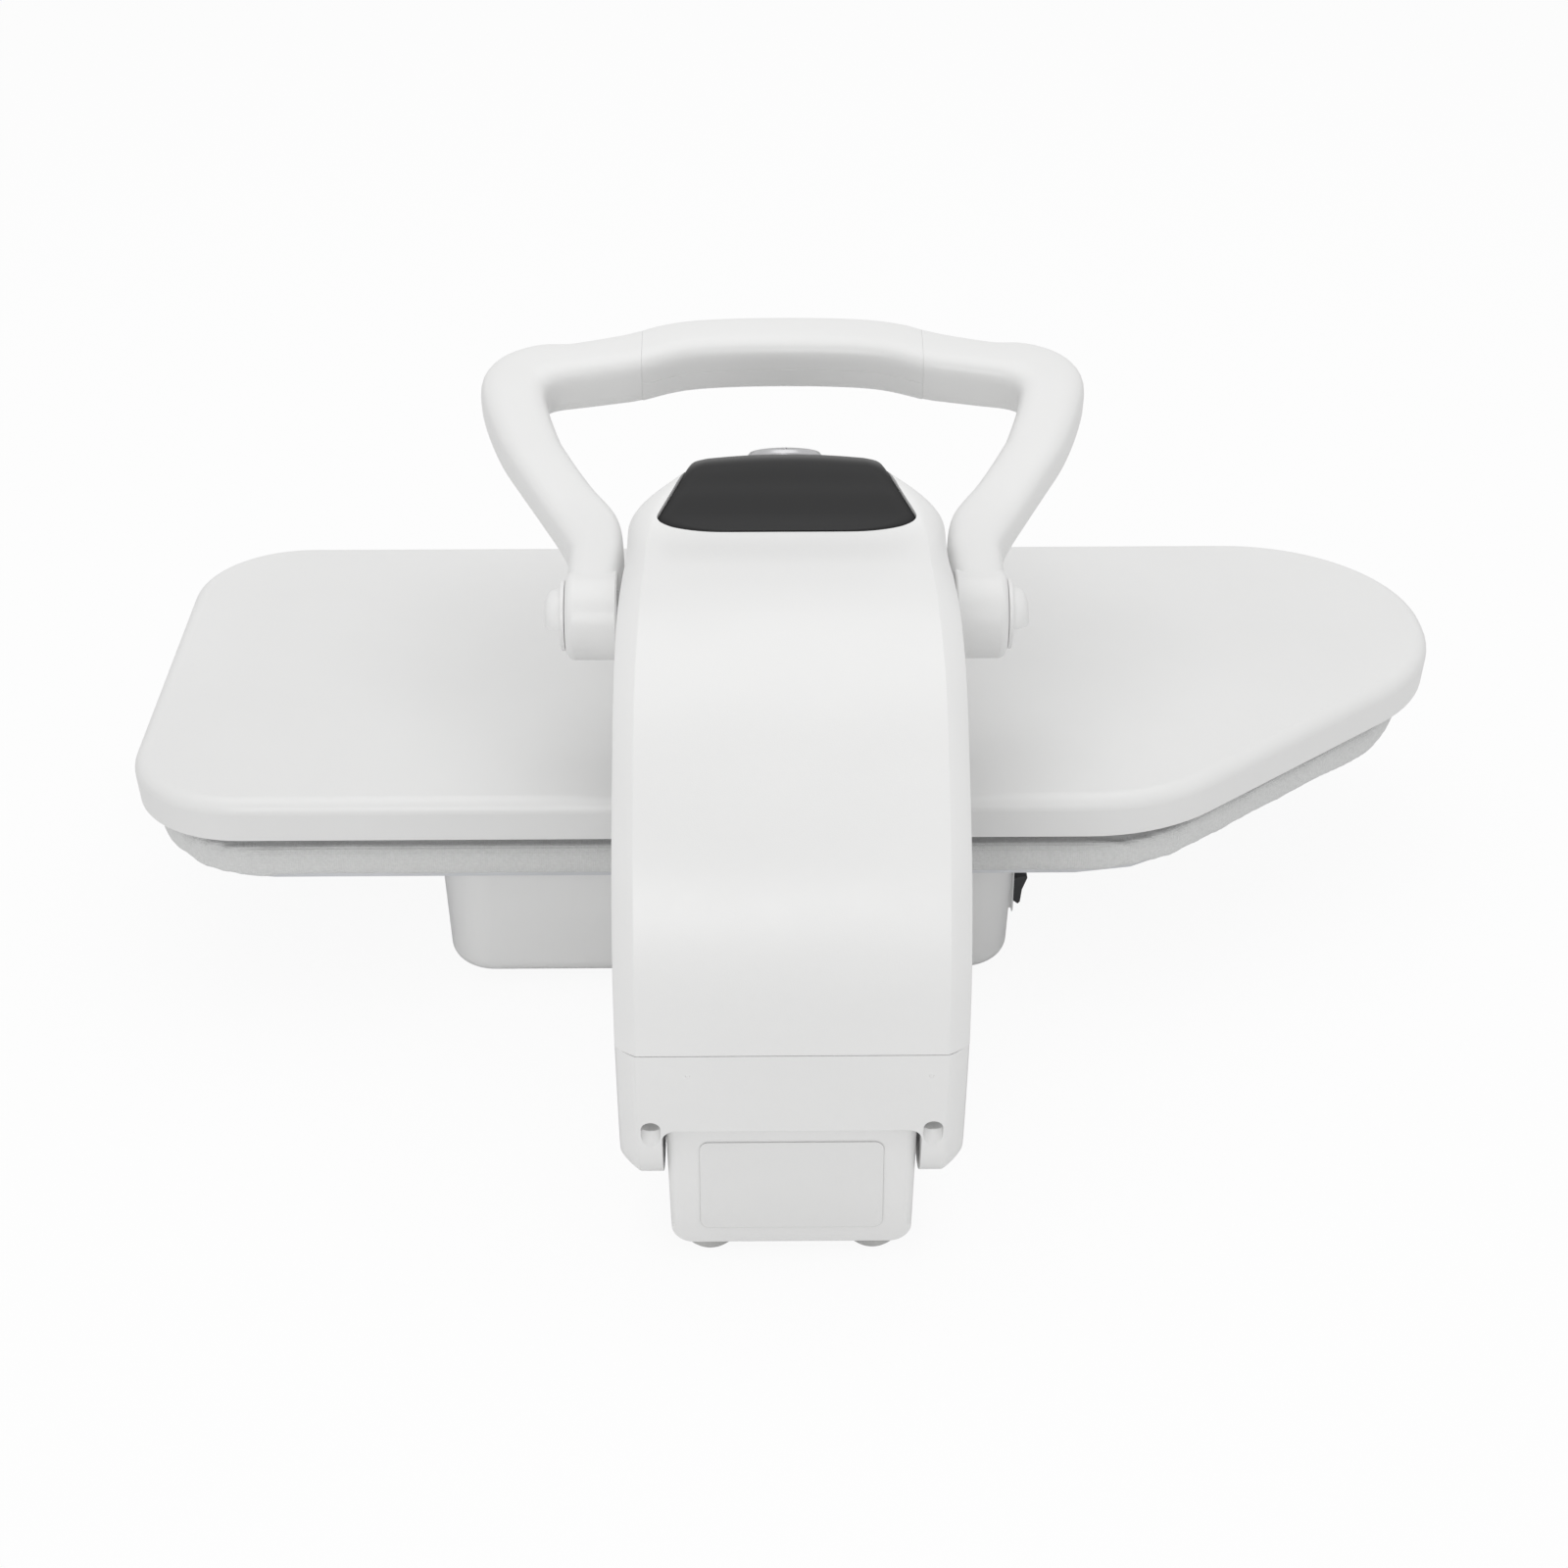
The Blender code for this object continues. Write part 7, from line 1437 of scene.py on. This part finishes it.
TRAY_TOP_Z = BASE_TOP_Z + GAP + TRAY_THICKNESS + GAP
PAD_VOXEL = 0.0045
PAD_SHRINK = 0.0012
PAD_CAP = 0.0018
PAD_FRAMES = 18
PAD_FABRIC = {
    "quality": 5,
    "mass": 0.25,
    "tension_stiffness": 14,
    "compression_stiffness": 14,
    "shear_stiffness": 6,
    "bending_stiffness": 0.6,
    "use_pressure": True,
    "uniform_pressure_force": 3.0,
    "shrink_min": -0.012,
}
GATHER_PITCH = 0.0165
GATHER_DEPTH = 0.0007
GATHER_WANDER = ((23, 0.0, 0.9), (61, 1.7, 0.6))
GATHER_FADE = (0.55, 0.45, 17, 0.6)
GATHER_TOP_SHARE = 0.15


def nearest_on_outline(points, outline):
    """For each point, how far inside the outline it lies, the way out, and its place along the edge."""
    corners = np.array([[p.x + PLACE.x, p.y + PLACE.y] for p, _ in outline])
    ahead = np.roll(corners, -1, axis=0) - corners
    lengths = np.maximum(np.linalg.norm(ahead, axis=1), GAP / 1000)
    starts = np.concatenate(([0.0], np.cumsum(lengths)[:-1]))
    best = np.full(len(points), np.inf)
    along = np.zeros(len(points))
    out = np.zeros((len(points), 2))
    for corner, step, length, start in zip(corners, ahead, lengths, starts):
        share = np.clip((points - corner) @ step / length ** 2, 0, 1)
        gap = np.linalg.norm(points - corner - share[:, None] * step, axis=1)
        closer = gap < best
        best[closer] = gap[closer]
        along[closer] = start + share[closer] * length
        out[closer] = np.array((step[1], -step[0])) / length
    return best, out, along


def pad_levels():
    recess = TRAY_INSET - GAP
    middle = (PAD_TOP_Z + PAD_BOTTOM_Z) / 2
    third = (PAD_TOP_Z - PAD_BOTTOM_Z) / 3
    shrink = PAD_SHRINK
    return [
        (TRAY_TOP_Z, recess),
        (PAD_BOTTOM_Z + shrink / 2, recess - shrink),
        (PAD_BOTTOM_Z + shrink / 2, PAD_UNDER_LIP),
        (PAD_BOTTOM_Z + PAD_PINCH + shrink / 2, PAD_INSET + PAD_ROLL / 5 + shrink),
        (PAD_BOTTOM_Z + third, PAD_INSET + PAD_PINCH + shrink),
        (middle, PAD_INSET + shrink),
        (middle + third, PAD_INSET + PAD_PINCH / 2 + shrink),
        (PAD_TOP_Z - PAD_EDGE_DROP - PAD_PINCH - shrink / 2, PAD_INSET + PAD_ROLL / 2 + shrink),
        (PAD_TOP_Z - PAD_EDGE_DROP - shrink / 2, PAD_INSET + PAD_ROLL + shrink),
        (PAD_TOP_Z - PAD_EDGE_DROP / 3 - shrink / 2, PAD_INSET + PAD_ROLL * 3),
        (PAD_TOP_Z - shrink / 2, PAD_INSET + PAD_ROLL * 5),
    ]


def points_of(piece):
    flat = np.empty(len(piece.data.vertices) * 3)
    piece.data.vertices.foreach_get("co", flat)
    return flat.reshape(-1, 3)


def swell(piece):
    """Fills the cover with a light pressure, so that it stands as a stuffed cloth does."""
    scene = bpy.context.scene
    step = piece.modifiers.new("swell", "CLOTH")
    for key, value in PAD_FABRIC.items():
        setattr(step.settings, key, value)
    step.settings.effector_weights.gravity = 0
    step.collision_settings.use_self_collision = False
    step.point_cache.frame_start = 1
    step.point_cache.frame_end = PAD_FRAMES
    for number in range(1, PAD_FRAMES + 1):
        scene.frame_set(number)
    settle(piece)
    scene.frame_set(1)


def build_pad():
    piece = add_object("board_pad_cover", stack(pad_levels(), PAD_OUTLINE))
    piece.data.transform(Matrix.Translation(PLACE))
    grid = piece.modifiers.new("grid", "REMESH")
    grid.mode = "VOXEL"
    grid.voxel_size = PAD_VOXEL
    settle(piece)
    start = points_of(piece)
    swell(piece)
    moved = points_of(piece)
    change = moved - start
    reach = np.linalg.norm(change, axis=1, keepdims=True)
    points = start + change * np.minimum(1, PAD_CAP / np.maximum(reach, PAD_CAP / 1000))

    # The hem's elastic draws the cover into small gathers below the roll of its edge
    inside, out, along = nearest_on_outline(points[:, :2], PAD_OUTLINE)
    drop = np.clip((PAD_TOP_Z - points[:, 2]) / (PAD_TOP_Z - PAD_BOTTOM_Z), 0, 1)
    near = np.clip(1 - inside / (PAD_UNDER_LIP + PAD_INSET), 0, 1)
    wander = sum(np.sin(along * waves + begin) * size for waves, begin, size in GATHER_WANDER)
    level, size, waves, begin = GATHER_FADE
    gather = np.sin(2 * math.pi * along / GATHER_PITCH + wander * 2)
    gather = gather * (level + size * np.sin(along * waves + begin))
    depth = GATHER_DEPTH * gather * near ** 0.5 * (GATHER_TOP_SHARE + (1 - GATHER_TOP_SHARE) * drop ** 2)
    points[:, :2] += out * depth[:, None]

    # It lies on the steel tray and stays under the hot plate
    over_tray = inside > TRAY_INSET - PAD_VOXEL / 2
    lower = points[:, 2] < (PAD_TOP_Z + PAD_BOTTOM_Z) / 2
    points[over_tray & lower, 2] = np.maximum(points[over_tray & lower, 2], TRAY_TOP_Z)
    points[:, 2] = np.clip(points[:, 2], PAD_BOTTOM_Z - GAP, PAD_TOP_Z)
    piece.data.vertices.foreach_set("co", points.ravel())
    soft = piece.modifiers.new("soft", "SUBSURF")
    soft.levels = 1
    soft.render_levels = 1
    settle(piece)
    piece.data.shade_smooth()
    stand_for(piece, "board_pad", "base", "grey_cloth")


def dress_inner_nodes():
    """Gives each node that stays as it was packed its worked material."""
    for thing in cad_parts.values():
        if thing.hide_render:
            continue
        look = thing.data.materials[0].name.split(".")[0]
        dress(thing, look)


# Floor, light and camera

PHOTO_WIDTH = 1600
FOCAL_PIXELS = 2879.0
SENSOR = 36.0
CAMERA_PLACE = (0.02499, 1.2101, 0.806)
CAMERA_PITCH = 30.0
CAMERA_TURN = 0.608
FLOOR_HALF = 40.0
FLOOR_GREY = 0.86
FLOOR_SEEN_SHARE = 0.92
WORLD_LEVEL = 0.66
LAMPS = (
    ("overhead", (0.0, -0.2, 2.2), 2.4, 14.0),
    ("behind", (0.3, 2.3, 1.1), 1.0, 10.5),
    ("fill", (-1.8, 0.4, 1.2), 1.4, 0.5),
)


def flat_shader(tree, kind, grey, inputs=()):
    return node_in(tree, kind, (("Color", (grey, grey, grey, 1)), *inputs)).outputs[0]


def end_in_mix(tree, share, plain, seen, end_kind):
    """Ends a cleared tree in a mix of two shaders."""
    both = node_in(tree, "ShaderNodeMixShader", ((0, share), (1, plain), (2, seen))).outputs[0]
    tree.links.new(both, tree.nodes.new(end_kind).inputs["Surface"])


def build_stage():
    floor = add_object("floor", box((-FLOOR_HALF, -FLOOR_HALF, -WALL), (FLOOR_HALF, FLOOR_HALF, 0)))
    look = bpy.data.materials.new("floor_look")
    look.use_nodes = True
    tree = look.node_tree
    tree.nodes.clear()
    rays = tree.nodes.new("ShaderNodeLightPath").outputs
    share = calculated(tree, "MULTIPLY", rays["Is Camera Ray"], FLOOR_SEEN_SHARE)
    matt = flat_shader(tree, "ShaderNodeBsdfDiffuse", FLOOR_GREY)
    glow = flat_shader(tree, "ShaderNodeEmission", 1)
    end_in_mix(tree, share, matt, glow, "ShaderNodeOutputMaterial")
    floor.data.materials.append(look)


def build_world():
    world = bpy.data.worlds.new("studio")
    world.use_nodes = True
    tree = world.node_tree
    tree.nodes.clear()
    rays = tree.nodes.new("ShaderNodeLightPath").outputs
    direct = calculated(tree, "MAXIMUM", rays["Is Camera Ray"], rays["Is Glossy Ray"])
    direct = calculated(tree, "MAXIMUM", direct, rays["Is Transmission Ray"])
    dim = flat_shader(tree, "ShaderNodeBackground", 1, (("Strength", WORLD_LEVEL),))
    white = flat_shader(tree, "ShaderNodeBackground", 1)
    end_in_mix(tree, direct, dim, white, "ShaderNodeOutputWorld")
    bpy.context.scene.world = world


def build_lamps():
    for name, place, size, power in LAMPS:
        lamp = bpy.data.lights.new(name, "AREA")
        lamp.shape = "DISK"
        lamp.size = size
        lamp.energy = power
        holder = bpy.data.objects.new(name, lamp)
        bpy.context.scene.collection.objects.link(holder)
        holder.location = place
        holder.rotation_euler = (-Vector(place)).to_track_quat("-Z", "Y").to_euler()


def build_camera():
    pitch = math.radians(CAMERA_PITCH)
    turn = math.radians(CAMERA_TURN)
    ahead = Vector((-math.sin(turn) * math.cos(pitch), -math.cos(turn) * math.cos(pitch), -math.sin(pitch)))
    right = Vector((-math.cos(turn), math.sin(turn), 0))
    above = right.cross(ahead)
    lens = bpy.data.cameras.new("camera")
    lens.sensor_width = SENSOR
    lens.lens = FOCAL_PIXELS / PHOTO_WIDTH * SENSOR
    lens.clip_start = WALL
    holder = bpy.data.objects.new("camera", lens)
    bpy.context.scene.collection.objects.link(holder)
    turned_to = Matrix((right, above, -ahead)).transposed().to_4x4()
    holder.matrix_world = Matrix.Translation(CAMERA_PLACE) @ turned_to
    bpy.context.scene.camera = holder


build_camera()
build_shoe_cover()
build_base_housing()
build_feet()
build_post()
build_switch()
build_gland()
build_tank()
build_arm_covers()
build_lower_cover()
build_handle()
build_lock_knobs()
build_panel()
build_pad()
dress_inner_nodes()
build_stage()
build_world()
build_lamps()
bpy.context.scene.view_settings.view_transform = "Standard"
